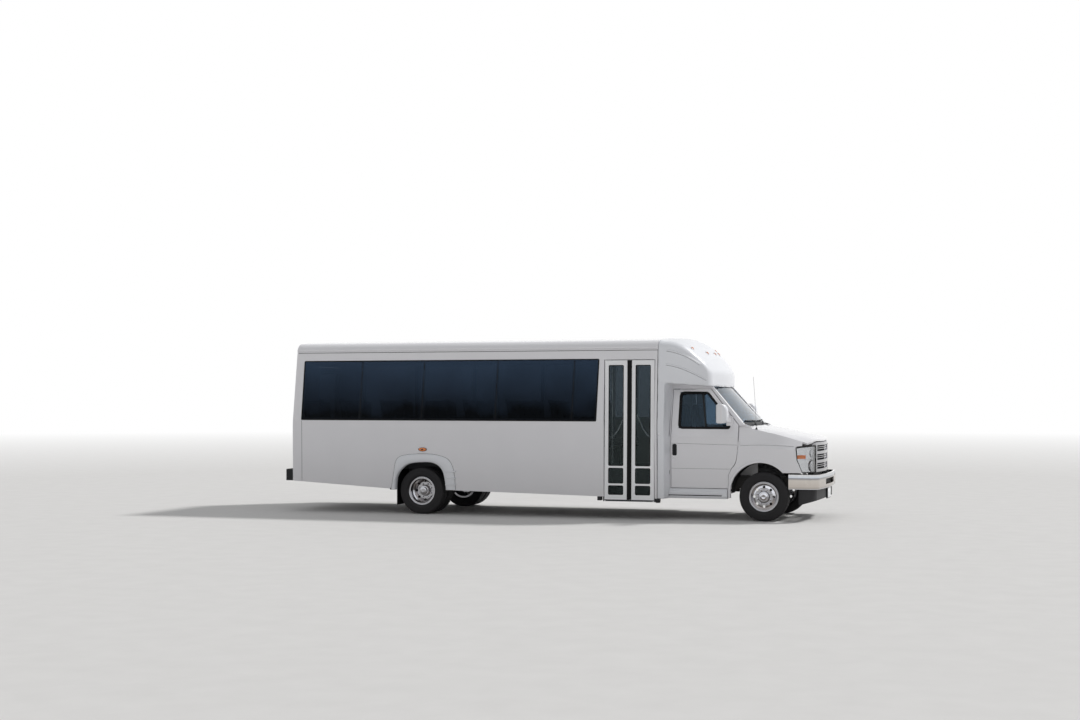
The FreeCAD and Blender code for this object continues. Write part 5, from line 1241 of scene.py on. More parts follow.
@dataclass
class EntryDoors:
    """Seals, pane rubbers and grab handles of the two entry door leaves."""

    low: float = 0.3
    top: float = 2.44
    thick: float = 0.038
    upright: float = 0.066
    rail: float = 0.08
    bar: float = 0.044
    bar_heights: tuple[float, float] = (0.533, 0.802)
    seal: float = 0.03
    leaves: tuple[tuple[str, float, float], ...] = (("rear", 3.055, 3.4435), ("front", 3.4515, 3.84))

    def spot(self, ahead: float, height: float, depth: float = 0.0) -> Vector:
        """Point on a leaf's outer face, or a depth behind it."""
        return station(ahead, -leaf_half(height) + depth, height)

    def panes(self, rear: float, front: float) -> list[tuple[float, float, float, float]]:
        """Rear edge, front edge, bottom and top of each pane of a leaf.

        Args:
            rear: rear edge of the panes.
            front: front edge of the panes.

        Returns:
            The four measures of each pane.
        """
        low_bar, high_bar = self.bar_heights
        half = self.bar / 2
        rows = ((self.low + self.rail, low_bar - half), (low_bar + half, high_bar - half),
                (high_bar + half, self.top - self.rail))
        return [(rear, front, base, crown) for base, crown in rows]

    def build(self) -> None:
        """Dress both leaves."""
        lean = (leaf_half(self.low) - leaf_half(self.top)) / (self.top - self.low)
        normal = outward(RIGHT, lean)
        for name, rear, front in self.leaves:
            body = f"entry_door_{name}"
            seal_mid = front - 0.0145 if name == "rear" else rear + 0.0145
            pane_rear = rear + self.upright + (self.seal if name == "front" else 0)
            pane_front = front - self.upright - (self.seal if name == "rear" else 0)
            half = 0.0175
            ribbed = [(-half, -0.03), (half, -0.03), (half, 0.003), (0.6 * half, 0.0065), (0.2 * half, 0.003),
                      (-0.2 * half, 0.003), (-0.6 * half, 0.0065), (-half, 0.003)]
            parts = [rod([self.spot(seal_mid, self.low + 0.002), self.spot(seal_mid, self.top - 0.002)],
                         ribbed, normal)]
            for back, fore, base, crown in self.panes(pane_rear, pane_front):
                corners = [self.spot(*corner) for corner in oblong(back, fore, base, crown)]
                bead = [(-0.007, -0.012), (0.004, -0.012), (0.004, 0.0012), (-0.002, 0.0022), (-0.007, 0.0012)]
                parts.append(sweep(rounded(corners, 0.014, 4), bead, normal))
            sill = [self.spot(ahead, self.low - 0.001, 0.006) for ahead in (rear + 0.004, front - 0.004)]
            brush = [(-0.004, -0.004), (0.004, -0.004), (0.003, 0.009), (-0.003, 0.009)]
            parts.append(rod(sill, brush, -UP))
            piece(f"entry_rubbers_{name}", joined(parts), Slot.RUBBER, body)
            self.handle(name, pane_rear, pane_front, body)
        LOG.info("entry doors dressed")

    def handle(self, name: str, pane_rear: float, pane_front: float, body: str) -> None:
        """Bent grab handle behind a leaf's glass.

        Args:
            name: name of the leaf.
            pane_rear: rear edge of the leaf's panes.
            pane_front: front edge of the leaf's panes.
            body: body of the leaf.
        """
        seal_side, hinge_side = (pane_front, pane_rear) if name == "rear" else (pane_rear, pane_front)
        toward = 1 if hinge_side > seal_side else -1
        inner = self.thick + 0.052
        knots = [self.spot(seal_side - toward * 0.03, 1.64, self.thick - 0.004),
                 self.spot(seal_side - toward * 0.03, 1.64, inner),
                 self.spot(seal_side + toward * 0.02, 1.54, inner + 0.012),
                 self.spot(seal_side + toward * 0.105, 1.36, inner + 0.012),
                 self.spot(hinge_side - toward * 0.045, 1.272, inner),
                 self.spot(hinge_side + toward * 0.03, 1.262, inner),
                 self.spot(hinge_side + toward * 0.03, 1.262, self.thick - 0.004)]
        path = rounded(knots, 0.024, 5, closed=False)
        tube = rod(path, circle(0.0115, 14), Vector((0.12, -0.3, 0.9)))
        flanges = []
        for spot in (knots[0], knots[-1]):
            plate = [(-0.001, 0.024), (0.004, 0.024), (0.006, 0.021), (0.006, 0.0)]
            flanges.append(moved(lathe(plate, 20), Matrix.Translation(spot)))
        piece(f"entry_handle_{name}", joined([tube, *flanges]), Slot.RAIL, body)


@dataclass
class CabDoors:
    """Window seals, vent bars, handles, creases and mirrors of the cab doors."""

    rear: float = 4.166
    front: float = 4.962
    low: float = 1.398
    knee: float = 1.512
    top_front: float = 4.6
    top: float = 1.952
    vent_low: float = 4.59
    vent_high: float = 4.515
    crease_half: float = 0.01
    crease_high: float = 0.0032
    inset: float = 0.013

    def window(self, side: int) -> Mesh:
        """Black seal that rounds the window's corners and hides the glass's edge.

        Args:
            side: LEFT or RIGHT.

        Returns:
            The mesh.
        """
        corners = [(self.rear, self.low), (self.front, self.low), (self.front, self.knee),
                   (self.top_front, self.top), (self.rear, self.top)]
        middle = Vector((4.52, 0, 1.66))
        spots = []
        for ahead, height in corners:
            pull = Vector((ahead, 0, height))
            pull += (middle - pull).normalized() * self.inset
            spots.append(on_cab(pull.x, pull.z, side))
        path = rounded(spots, [0.055, 0.022, 0.07, 0.06, 0.06], 6)
        profile = [(-0.019, -0.019), (0.019, -0.019), (0.019, 0.001), (0.014, 0.0036), (-0.014, 0.0036),
                   (-0.019, 0.001)]
        return sweep(path, profile, outward(side, CAB_LEAN))

    def vent_bar(self, side: int) -> Mesh:
        """Leaning bar between the vent pane and the sliding pane.

        Args:
            side: LEFT or RIGHT.

        Returns:
            The mesh.
        """
        line = [on_cab(self.vent_low, self.low + 0.006, side), on_cab(self.vent_high, self.top - 0.006, side)]
        profile = [(-0.01, -0.018), (0.01, -0.018), (0.01, -0.009), (0.006, -0.006), (-0.006, -0.006),
                   (-0.01, -0.009)]
        return rod(line, profile, outward(side, CAB_LEAN))

    def handle(self, side: int) -> tuple[Mesh, Mesh]:
        """Black handle in its cup, and the lock under it.

        Args:
            side: LEFT or RIGHT.

        Returns:
            The handle and the lock.
        """
        cup = [on_cab(*corner, side) for corner in oblong(4.082, 4.142, 0.985, 1.152)]
        normal = outward(side, DOOR_LEAN)
        edge = sweep(rounded(cup, 0.02, 5), [(-0.006, -0.003), (0.006, -0.003), (0.004, 0.0035), (-0.004, 0.0035)],
                     normal)
        plate = panel(rounded(cup, 0.02, 5), normal, 0.0012)
        grip = rod([on_cab(4.1, 1.0, side), on_cab(4.1, 1.138, side)],
                   [(-0.012, -0.002), (0.012, -0.002), (0.01, 0.014), (0.003, 0.018), (-0.008, 0.016),
                    (-0.012, 0.01)], normal)
        lock = [(-0.004, 0.0115), (0.0025, 0.0115), (0.004, 0.0095), (0.004, 0.003), (0.0015, 0.0026),
                (0.0015, 0.0)]
        turn = Matrix.Translation(on_cab(4.092, 0.941, side)) @ Matrix.Scale(side, 4, ACROSS)
        return joined([edge, plate, grip]), moved(lathe(lock, 18), turn)

    def crease(self, side: int, points: Points) -> Mesh:
        """Soft pressed crease along the door's skin.

        Args:
            side: LEFT or RIGHT.
            points: distances ahead and heights along it.

        Returns:
            The mesh.
        """
        path = [on_cab(ahead, height, side) for ahead, height in points]
        half, high = self.crease_half, self.crease_high
        profile = [(-half, -0.002), (half, -0.002), (half, 0.0002), (half * 0.25, high), (-half * 0.25, high * 0.75),
                   (-half, 0.0002)]
        lean = DOOR_LEAN if points[0][1] < CAB_BELT else CAB_LEAN
        return rod(path, profile, outward(side, lean))

    def mirror_nose(self, side: int) -> Mesh:
        """Domed front of a mirror's housing.

        Args:
            side: LEFT or RIGHT.

        Returns:
            The mesh, which starts inside the mirror's head.
        """
        rows, turns, deep = 12, 48, 0.092
        half = Vector((0.0, 0.0905, 0.1435))
        points = []
        for row in range(rows):
            share = math.sin(math.pi / 2 * row / (rows - 1))
            size = (1 - share ** 2.6) ** (1 / 2.4)
            power = 2 / (6 - 3.2 * share)
            for step in range(turns):
                angle = 2 * math.pi * step / turns
                waves = math.cos(angle), math.sin(angle)
                across, rise = (math.copysign(abs(wave) ** power, wave) for wave in waves)
                points.append(station(4.894 + deep * share, side * (1.1975 + across * half.y * size),
                                      1.623 - 0.012 * share + rise * half.z * size))
        faces = [tuple(range(turns))]
        for row in range(rows - 2):
            for step in range(turns):
                after = (step + 1) % turns
                faces.append((row * turns + step, (row + 1) * turns + step, (row + 1) * turns + after,
                              row * turns + after))
        points = points[:turns * (rows - 1) + 1]
        tip = len(points) - 1
        faces += [((rows - 2) * turns + step, tip, (rows - 2) * turns + (step + 1) % turns)
                  for step in range(turns)]
        return points, faces

    def shade(self, side: int, points: Points) -> Mesh:
        """Painted shadow: a fine black strip under a crease.

        Args:
            side: LEFT or RIGHT.
            points: distances ahead and heights along it.

        Returns:
            The mesh.
        """
        path = [on_cab(ahead, height, side) for ahead, height in points]
        profile = oblong(-0.0016, 0.0016, -0.002, 0.0008)
        return rod(path, profile, outward(side, DOOR_LEAN))

    def build(self) -> None:
        """Dress both cab doors."""
        for side, name in SIDE_NAMES.items():
            body = f"cab_door_{name}_body"
            piece(f"cab_window_seal_{name}", self.window(side), Slot.RUBBER, body)
            piece(f"cab_vent_bar_{name}", self.vent_bar(side), Slot.TRIM, body)
            grip, lock = self.handle(side)
            piece(f"cab_handle_{name}", grip, Slot.TRIM, body)
            piece(f"cab_lock_{name}", lock, Slot.RAIL, body)
            creases = [self.crease(side, [(4.066, 1.178), (5.082, 1.158)]),
                       self.crease(side, [(4.066, 0.795), (4.982, 0.793)])]
            piece(f"cab_door_creases_{name}", joined(creases), Slot.PAINT, body, sharp=60)
            # Painted shadow: fine black strips under the door creases.
            lines = [self.shade(side, [(4.068, 1.168), (5.08, 1.148)]),
                     self.shade(side, [(4.068, 0.785), (4.98, 0.783)])]
            piece(f"cab_door_crease_painted_shadows_{name}", joined(lines), Slot.CHASSIS, body)
            outline = [(4.815, *corner) for corner in oblong(side * 1.132, side * 1.266, 1.51, 1.738)]
            path = [station(*point) - AHEAD * 0.004 for point in rounded(outline, 0.03, 6)]
            # The mirror glass takes the grille chrome, whose reflection bands are painted.
            glass = panel(path, -AHEAD, 0.003)
            piece(f"mirror_glass_{name}", glass, Slot.GRILLE, body)
            piece(f"mirror_rim_{name}", sweep(path, strip(0.008, 0.005), -AHEAD), Slot.RUBBER, body)
            piece(f"mirror_housing_{name}", self.mirror_nose(side), Slot.PLASTIC, body, sharp=50)
            foot = [on_cab(ahead, height, side) for ahead, height in
                    ((4.924, 1.444), (5.004, 1.444), (5.004, 1.5), (4.924, 1.574))]
            piece(f"mirror_foot_rubber_{name}", sweep(rounded(foot, 0.012, 3), strip(0.01, 0.006),
                                                      outward(side, CAB_LEAN)), Slot.RUBBER, body)
        LOG.info("cab doors dressed")


def panel(path: Sequence[Vector], normal: Vector, thick: float) -> Mesh:
    """Flat plate inside a closed path.

    Args:
        path: points of its outline.
        normal: direction in which it is thick.
        thick: its thickness.

    Returns:
        The mesh.
    """
    return [*path, *[point + normal * thick for point in path]], tube_faces(2, len(path))


def screen_point(across: float, height: float, proud: float = 0.0) -> Vector:
    """Point on the raked and bowed windshield, a little in front of it.

    Args:
        across: metres towards the driver's side.
        height: metres above the ground.
        proud: distance in front of the glass.

    Returns:
        The point.
    """
    rise = height - 1.46
    corner, middle, half = 5.172 - 0.933 * rise, 5.25 - 0.907 * rise, 0.82 - 0.139 * rise
    ahead = middle - (middle - corner) * (across / half) ** 2
    return station(ahead, across, height) + SCREEN_NORMAL * proud


LAMP_PLAN = ((5.966, 0.9715), (6.02, 0.9475), (6.07, 0.925), (6.102, 0.91), (6.13, 0.891),
             (6.151, 0.869), (6.168, 0.842), (6.184, 0.793), (6.195, 0.73), (6.201, 0.665),
             (6.204, 0.6))


@dataclass
class Headlamps:
    """Reflectors, bulbs, amber turn lamps and gaskets of the corner headlamps."""

    bowl_radius: float = 0.088
    bowl_depth: float = 0.06

    def top(self, ahead: float) -> float:
        """Height of the lens's upper edge.

        Args:
            ahead: metres ahead of the rear axle.

        Returns:
            The height.
        """
        if ahead < 6.05:
            return 1.112 + 0.012 * (ahead - 5.966) / 0.084
        return 1.124 + 0.016 * (ahead - 6.05) / 0.18

    def base(self, ahead: float) -> float:
        """Height of the lens's lower edge.

        Args:
            ahead: metres ahead of the rear axle.

        Returns:
            The height.
        """
        if ahead < 6.05:
            return 0.93 - 0.192 * (ahead - 5.978) / 0.072
        return 0.738 + 0.007 * (ahead - 6.05) / 0.18

    def skin(self, depth: float, first: int, last: int, low: float | None = None,
             high: float | None = None, thick: float = 0.003) -> Mesh:
        """Curved sheet behind the lens.

        Args:
            depth: how far behind the lens's face it lies.
            first: first point of the plan that it spans.
            last: last point of the plan that it spans.
            low: its lower edge, or the lens's.
            high: its upper edge, or the lens's.
            thick: its thickness.

        Returns:
            The mesh on the driver's side.
        """
        plan = LAMP_PLAN[first:last + 1]
        points: list[Vector] = []
        for index, (ahead, across) in enumerate(plan):
            before, after = plan[max(index - 1, 0)], plan[min(index + 1, len(plan) - 1)]
            run = Vector((after[0] - before[0], after[1] - before[1], 0)).normalized()
            inward = Vector((run.y, -run.x, 0))
            if inward.x > 0 and inward.y > 0:
                inward = -inward
            base = max(self.base(max(ahead, 5.985)), low or 0) + 0.006
            crown = min(self.top(ahead), high or 9) - 0.006
            for extra, height in ((0, base), (0, crown), (thick, crown), (thick, base)):
                spot = station(ahead, across, 0) + inward * (depth + extra)
                points.append(Vector((spot.x, spot.y, height)))
        return points, tube_faces(len(plan), 4)

    def bowl(self, spot: Vector, radius: float) -> Mesh:
        """Reflector bowl that opens forward.

        Args:
            spot: middle of its back.
            radius: radius of its opening.

        Returns:
            The mesh.
        """
        profile = [(radius * 0.12, 0.0), (0.22 * radius, 0.16), (0.55 * radius, 0.42), (0.82 * radius, 0.72),
                   (0.97 * radius, 0.95), (radius, 1.0), (1.03 * radius, 1.0), (1.0 * radius, 0.92),
                   (0.3 * radius, 0.0)]
        rows = [(depth * self.bowl_depth, reach) for reach, depth in profile]
        return moved(lathe(rows, 40), Matrix.Translation(spot) @ FORWARD)

    def build(self) -> None:
        """Fill both lamps."""
        lower = station(6.095, 0.745, 0.838)
        upper = station(6.085, 0.735, 1.03)
        backs = [self.skin(0.046, 0, 10), self.bowl(lower, self.bowl_radius), self.bowl(upper, 0.07)]
        backs.append(self.skin(0.02, 3, 10, 0.931, 0.943, 0.026))
        piece("headlamp_reflectors", both_sides(joined(backs)), Slot.RAIL, sharp=50)
        bulbs = []
        for spot, radius in ((lower, 0.02), (upper, 0.017)):
            profile = [(0.012, radius), (0.04, radius), (0.048, radius * 0.7), (0.05, 0.0)]
            bulbs.append(moved(lathe(profile, 20), Matrix.Translation(spot) @ FORWARD))
        piece("headlamp_bulb_caps", both_sides(joined(bulbs)), Slot.GRILLE)
        turn_lamp = [self.skin(0.008, 0, 3, 0.944, 1.01, 0.022)]
        for index in range(5):
            low = 0.947 + index * 0.0125
            turn_lamp.append(self.skin(0.004, 0, 3, low, low + 0.008, 0.006))
        piece("turn_lamps", both_sides(joined(turn_lamp)), Slot.AMBER)
        top = [station(ahead, across + 0.001, self.top(ahead)) for ahead, across in LAMP_PLAN]
        foot = [station(ahead, across + 0.001, self.base(ahead)) for ahead, across in LAMP_PLAN[2:]]
        rear_low = station(6.05, 0.935, 0.738)
        waist = station(5.979, 0.967, 0.93)
        loop = [*top, *reversed(foot), rear_low, waist]
        gasket = sweep(loop, circle(0.0075, 8), Vector((0.35, 0.93, 0.1)))
        piece("headlamp_gaskets", both_sides(gasket), Slot.RUBBER)
        LOG.info("headlamps filled")


@dataclass
class Nose:
    """Cowl, wipers, aerial, grille bars, arch lips and liners, fender creases, plate holder and bumper vent."""

    grille_face: float = 6.262
    grille_half: float = 0.6
    slot_low: float = 0.738
    slot_pitch: float = 0.13467
    rim: float = 0.046
    arch_ahead: float = 5.432
    arch_height: float = 0.428
    arch_radius: float = 0.474
    liner_radius: float = 0.45

    def grille_ahead(self, across: float, back: float) -> float:
        """Station of the bowed grille at a place across, some way back."""
        return self.grille_face - 0.055 * (across / self.grille_half) ** 2 - back

    def grille(self) -> None:
        """Bars and mesh in the grille's slots."""
        bars, mesh = [], []
        half = self.grille_half - self.rim + 0.004
        places = [half * (step / 10 - 1) for step in range(21)]
        for row in range(3):
            low = self.slot_low + self.rim + row * self.slot_pitch
            for share in (0.36, 0.68):
                height = low + share * (self.slot_pitch - self.rim)
                line = [station(self.grille_ahead(across, 0.03), across, height) for across in places]
                bars.append(rod(line, [(-0.016, -0.0045), (0.012, -0.0045), (0.016, 0.0), (0.012, 0.0045),
                                       (-0.016, 0.0045)], UP))
            for step in range(-18, 19):
                across = step * 0.03
                ahead = self.grille_ahead(across, 0.052)
                mesh.append(slab((ahead, across - 0.002, low - 0.004),
                                 (ahead + 0.01, across + 0.002, low + self.slot_pitch - self.rim + 0.004)))
            back = self.grille_ahead(half, 0.036)
            mesh.append(slab((back - 0.004, -half, low - 0.004),
                             (back, half, low + self.slot_pitch - self.rim + 0.004)))
        piece("grille_bars", joined(bars), Slot.GRILLE, sharp=50)
        piece("grille_mesh", joined(mesh), Slot.TRIM)

    def cowl(self) -> None:
        """Black cowl grille at the foot of the windshield, with its frit band."""
        steps, half, thick = 24, 0.8, UP * 0.006
        points = []
        for step in range(steps + 1):
            across = -half + 2 * half * step / steps
            inner = Vector((screen_point(across, 1.452).x + 0.006, across, 1.458))
            outer = station(5.2715, across, 1.4335)
            points += [inner, outer, outer + thick, inner + thick]
        parts = [(points, tube_faces(steps + 1, 4))]
        for step in range(2, steps - 1, 2):
            across = -half + 2 * half * step / steps
            foot = screen_point(across, 1.452)
            parts.append(box((foot.x + 0.014, across - 0.004, 1.448), (REAR_AXLE_X + 5.262, across + 0.004, 1.4555)))
        band = [screen_point(-0.8 + 1.6 * step / 32, 1.47, 0.001) for step in range(33)]
        parts.append(rod(band, oblong(-0.03, 0.026, -0.001, 0.0012),
                         SCREEN_NORMAL))
        piece("cowl_grille", joined(parts), Slot.TRIM)

    def wiper(self, pivot: float, first: float, last: float, height: float, lift: float) -> Mesh:
        """One parked wiper.

        Args:
            pivot: place of its pivot across the bus.
            first: place of the blade's near end across the bus.
            last: place of its far end.
            height: height of the blade's near end.
            lift: how much higher its far end lies.

        Returns:
            The mesh.
        """
        count = 14
        blade = [screen_point(first + (last - first) * step / count, height + lift * step / count, 0.012)
                 for step in range(count + 1)]
        rubber = rod(blade, [(-0.004, -0.01), (0.004, -0.01), (0.007, 0.004), (0.003, 0.01), (-0.003, 0.01),
                             (-0.007, 0.004)], SCREEN_NORMAL)
        root = station(5.262, pivot, 1.446)
        middle = screen_point((first + last) / 2, height + lift / 2, 0.026)
        knots = [root, root + Vector((-0.006, (middle.y - pivot) * 0.18, 0.026)),
                 root.lerp(middle, 0.55) + Vector((0.01, 0, 0.018)), middle]
        arm = rod(smooth_path(knots, 6), [(-0.007, -0.004), (0.007, -0.004), (0.005, 0.004), (-0.005, 0.004)],
                  SCREEN_NORMAL)
        cap = [(-0.01, 0.018), (0.014, 0.018), (0.02, 0.013), (0.021, 0.0)]
        hub = moved(lathe(cap, 20), Matrix.Translation(root) @ UPRIGHT)
        return joined([rubber, arm, hub])

    def small_parts(self) -> None:
        """Aerial, plate holder with its blank plate, and the bumper's dark vent."""
        mast = [station(5.352, -0.868, 1.392), station(5.33, -0.868, 1.8), station(5.304, -0.868, 2.18)]
        foot = [(0.0, 0.02), (0.01, 0.017), (0.03, 0.0075), (0.034, 0.0)]
        base = moved(lathe(foot, 20), Matrix.Translation(station(5.352, -0.868, 1.384))
                     @ UPRIGHT)
        piece("aerial", joined([rod(smooth_path(mast, 6), circle(0.0018, 8), ACROSS),
                                base]), Slot.TRIM)
        holder = slab((6.3, -0.17, 0.318), (6.326, 0.17, 0.49), 0.006)
        piece("plate_holder", holder, Slot.TRIM)
        plate = joined([slab((6.3265, -0.152, 0.328), (6.329, 0.152, 0.48), 0.0008),
                        *[moved(lathe([(-0.001, 0.006), (0.003, 0.006), (0.0045, 0.003), (0.0045, 0.0)], 12),
                                Matrix.Translation(station(6.329, across, 0.462)) @ FORWARD)
                          for across in (-0.089, 0.089)]])
        piece("front_plate", plate, Slot.DOOR)
        face = 6.35
        vents = [slab((face - 0.078, -0.43, 0.551), (face - 0.07, 0.43, 0.634))]
        for row in range(4):
            low = 0.56 + row * 0.0185
            vents.append(slab((face - 0.07, -0.426, low), (face - 0.056, 0.426, low + 0.006), 0.002))
        piece("bumper_vent", joined(vents), Slot.TRIM)

    def on_arch(self, angle: float, reach: float, across: float = 0.0) -> Vector:
        """Point round the middle of the front wheel openings.

        Args:
            angle: angle in degrees, from level ahead.
            reach: distance from the middle.
            across: metres towards the driver's side.

        Returns:
            The point.
        """
        turn = math.radians(angle)
        return station(self.arch_ahead + reach * math.cos(turn), across, self.arch_height + reach * math.sin(turn))

    def arch_lips(self) -> None:
        """Rolled lips and dark liners of the front wheel openings."""
        find = surface_finder("front_fenders")
        starts = [station(self.arch_ahead - self.arch_radius, ASIDE, 0.352)]
        for step in range(41):
            spot = self.on_arch(180 - 3.52 * step, self.arch_radius, ASIDE)
            if step > 20 and spot.z < 0.745:
                break
            starts.append(spot)
        profile = [(-0.019, -0.003), (0.022, -0.003), (0.018, 0.0035), (0.006, 0.0095), (-0.008, 0.0125),
                   (-0.016, 0.0105), (-0.019, 0.004)]
        lip = draped(starts, ACROSS, profile, find)
        piece("front_arch_lips", both_sides(lip), Slot.PAINT, sharp=50)
        liner, inner, outer = [], self.liner_radius, self.liner_radius + 0.0035
        for step in range(45):
            angle = 182 - 3.6 * step
            if step > 20 and self.on_arch(angle, inner).z < 0.6:
                break
            liner += [self.on_arch(angle, reach, -across) for across, reach in
                      ((0.64, inner), (0.64, outer), (0.946, outer), (0.946, inner))]
        piece("front_wheel_liners", both_sides((liner, tube_faces(len(liner) // 4, 4))), Slot.RUBBER)

    def fender_creases(self) -> None:
        """Pressed line along each fender, level with the door's upper crease, with a painted shadow strip under it.
        """
        find = surface_finder("front_fenders")
        knots = [(5.125, 0, 1.15), (5.3, 0, 1.16), (5.55, 0, 1.163), (5.8, 0, 1.152), (5.93, 0, 1.142)]
        starts = [station(point.x, ASIDE, point.z) for point in smooth_path(knots, 6)]
        ridge = draped(starts, ACROSS, [(-0.011, -0.003), (0.012, -0.003), (0.012, 0.0002),
                                        (0.002, 0.004), (-0.006, 0.003), (-0.011, 0.0002)], find)
        piece("fender_creases", both_sides(ridge), Slot.PAINT, sharp=60)
        # Painted shadow: a fine black strip under the fender crease.
        lines = draped([start - UP * 0.012 for start in starts], ACROSS,
                       oblong(-0.0016, 0.0016, -0.002, 0.0008), find)
        piece("fender_crease_painted_shadows", both_sides(lines), Slot.CHASSIS)

    def build(self) -> None:
        """Dress the nose."""
        self.grille()
        self.cowl()
        wipers = joined([self.wiper(-0.46, -0.74, -0.2, 1.505, -0.008), self.wiper(0.16, -0.1, 0.5, 1.498, 0.006)])
        piece("wipers", wipers, Slot.TRIM)
        self.small_parts()
        self.arch_lips()
        self.fender_creases()
        LOG.info("nose dressed")


def eased(value: float) -> float:
    """Smooth step from 0 to 1."""
    value = min(1.0, max(0.0, value))
    return value * value * (3 - 2 * value)


@dataclass
class Cap:
    """Moulded front cap with its softly rounded dome, ridges and clearance lamps, and the side markers."""

    grid: float = 0.016
    soft_from: float = 2.13
    rounds: int = 42
    bulge: float = 0.05
    tuck: float = 0.045
    seam: float = 3.9
    nose: float = 4.66
    upper: tuple[tuple[float, float], ...] = ((4.02, 2.59), (4.12, 2.57), (4.232, 2.535), (4.33, 2.49),
                                              (4.427, 2.43), (4.5, 2.375))
    lower: tuple[tuple[float, float], ...] = ((4.012, 2.378), (4.12, 2.356), (4.242, 2.32), (4.39, 2.255),
                                              (4.525, 2.184), (4.6, 2.14))
    lamps: tuple[tuple[float, float], ...] = ((4.36, 0.86), (4.5, 0.43), (4.53, 0.0), (4.5, -0.43),
                                              (4.36, -0.86))

    def softness(self, spot: Vector) -> float:
        """How far a point gives way to the rounding, from 0 to 1."""
        ahead = spot.x - REAR_AXLE_X
        return eased((spot.z - self.soft_from) / 0.07) * eased((ahead - self.seam - 0.01) / 0.1)

    def shaped(self, spot: Vector) -> Vector:
        """Point raised on the dome's slope and drawn back at its nose.

        Args:
            spot: point of the plain form.

        Returns:
            The point of the finished form.
        """
        ahead = spot.x - REAR_AXLE_X
        share = min(1.0, max(0.0, (ahead - self.seam) / (self.nose - self.seam)))
        lift = self.bulge * math.sin(math.pi * share) ** 1.5 * eased((spot.z - 2.2) / 0.16)
        back = self.tuck * eased((ahead - 4.56) / 0.2)
        return Vector((spot.x - back, spot.y, spot.z + lift))

    def skin(self) -> Mesh:
        """The cap's form on an even grid, with its edges rounded over.

        Returns:
            The mesh.
        """
        item = linked("cap_form", frame["nodes"]["front_cap"].data.copy())
        even = gridded(item, self.grid)
        soft = item.vertex_groups.new(name="soft")
        for vertex in even.vertices:
            weight = self.softness(vertex.co)
            if weight > 0:
                soft.add([vertex.index], weight, "REPLACE")
        smooth = item.modifiers.new("rounding", "SMOOTH")
        smooth.factor, smooth.iterations, smooth.vertex_group = 0.5, self.rounds, soft.name
        points, faces = taken(evaluated(item))
        bpy.data.objects.remove(item)
        return [self.shaped(point) for point in points], faces

    def build(self) -> None:
        """Form the cap, lay its ridges with painted shadow strips under them, and set the lamps on it."""
        skin = self.skin()
        piece("front_cap_skin", skin, Slot.PLASTIC, "bus", ["front_cap"], 50)
        find = finder([BVHTree.FromPolygons(*skin)])
        profile = [(-0.016, -0.004), (0.018, -0.004), (0.018, -0.001), (0.006, 0.0075), (-0.004, 0.0085),
                   (-0.016, -0.001)]
        # Painted shadow: a fine black strip under each ridge.
        shade = oblong(-0.004, 0.0, -0.002, 0.0012)
        ridges, lines = [], []
        for line in (self.upper, self.lower):
            smooth = smooth_path([(ahead, 0, height) for ahead, height in line], 6)
            starts = [station(point.x, ASIDE, point.z) for point in smooth]
            ridges.append(draped(starts, ACROSS, profile, find))
            lines.append(draped([start - UP * 0.014 for start in starts], ACROSS, shade, find))
        piece("cap_ridges", both_sides(joined(ridges)), Slot.PLASTIC, sharp=60)
        piece("cap_ridge_painted_shadows", both_sides(joined(lines)), Slot.CHASSIS, sharp=60)
        foot = [(-0.01, 0.04), (0.004, 0.04), (0.007, 0.036), (0.008, 0.0)]
        lens = [(0.005, 0.026), (0.011, 0.024), (0.015, 0.019), (0.017, 0.01), (0.0175, 0.0)]
        feet, lenses = [], []
        for ahead, across in self.lamps:
            spot, normal = find(station(ahead, across, ABOVE), -UP)
            turn = ACROSS.rotation_difference(normal).to_matrix().to_4x4()
            feet.append(moved(lathe(foot, 24), Matrix.Translation(spot) @ turn))
            lenses.append(moved(lathe(lens, 24), Matrix.Translation(spot) @ turn))
        dome = [(-0.004, 1.0), (0.01, 0.96), (0.017, 0.82), (0.021, 0.55), (0.022, 0.3)]
        boss = [(0.016, 0.3), (0.024, 0.27), (0.0245, 0.2), (0.021, 0.16), (0.021, 0.0)]
        middle = on_body(0.04, 1.037, LEFT)
        oval = Matrix.Translation(middle) @ Matrix.Diagonal(Vector((0.068, 1, 0.029, 1)))
        lenses.append(both_sides(moved(lathe(dome, 40), oval)))
        piece("clearance_lamp_feet", joined(feet), Slot.PLASTIC)
        piece("clearance_lamps", joined(lenses), Slot.AMBER, "bus", ["marker_lamps"])
        ring = [(-0.004, 1.1), (0.005, 1.1), (0.008, 1.04), (0.008, 0.96), (-0.004, 0.96)]
        holders = [moved(lathe(ring, 40, closed=True), oval), moved(lathe(boss, 20), oval)]
        piece("side_marker_holders", both_sides(joined(holders)), Slot.TRIM)
        LOG.info("front cap formed from %d points", len(skin[0]))


@dataclass
class Underbody:
    """Pressed fuel tank with its straps, high up between the rails."""

    rear: float = -2.07
    front: float = -1.05
    low: float = 0.424
    top: float = 0.566
    half: float = 0.372

    def build(self) -> None:
        """Build the tank."""
        tank = [slab((self.rear, -self.half, self.low), (self.front, self.half, self.top), 0.04, 4)]
        for step in range(6):
            ahead = self.rear + 0.12 + step * 0.156
            tank.append(slab((ahead, -self.half + 0.045, self.low - 0.006),
                             (ahead + 0.07, self.half - 0.045, self.low + 0.01), 0.005))
        piece("fuel_tank_shell", joined(tank), Slot.CHASSIS, "bus", ["fuel_tank"])
        straps = []
        for ahead in (self.rear + 0.2, self.front - 0.23):
            right = [(-0.456, self.top - 0.002), (-self.half - 0.006, self.top - 0.04),
                     (-self.half - 0.006, self.low - 0.009)]
            left = [(-across, height) for across, height in reversed(right)]
            path = [station(ahead, across, height) for across, height in right + left]
            straps.append(rod(rounded(path, [0, 0.02, 0.035, 0.035, 0.02, 0], 4, closed=False),
                              oblong(-0.0015, 0.0015, -0.025, 0.025),
                              AHEAD))
        piece("fuel_tank_straps", joined(straps), Slot.CHASSIS)
        LOG.info("fuel tank strapped in")


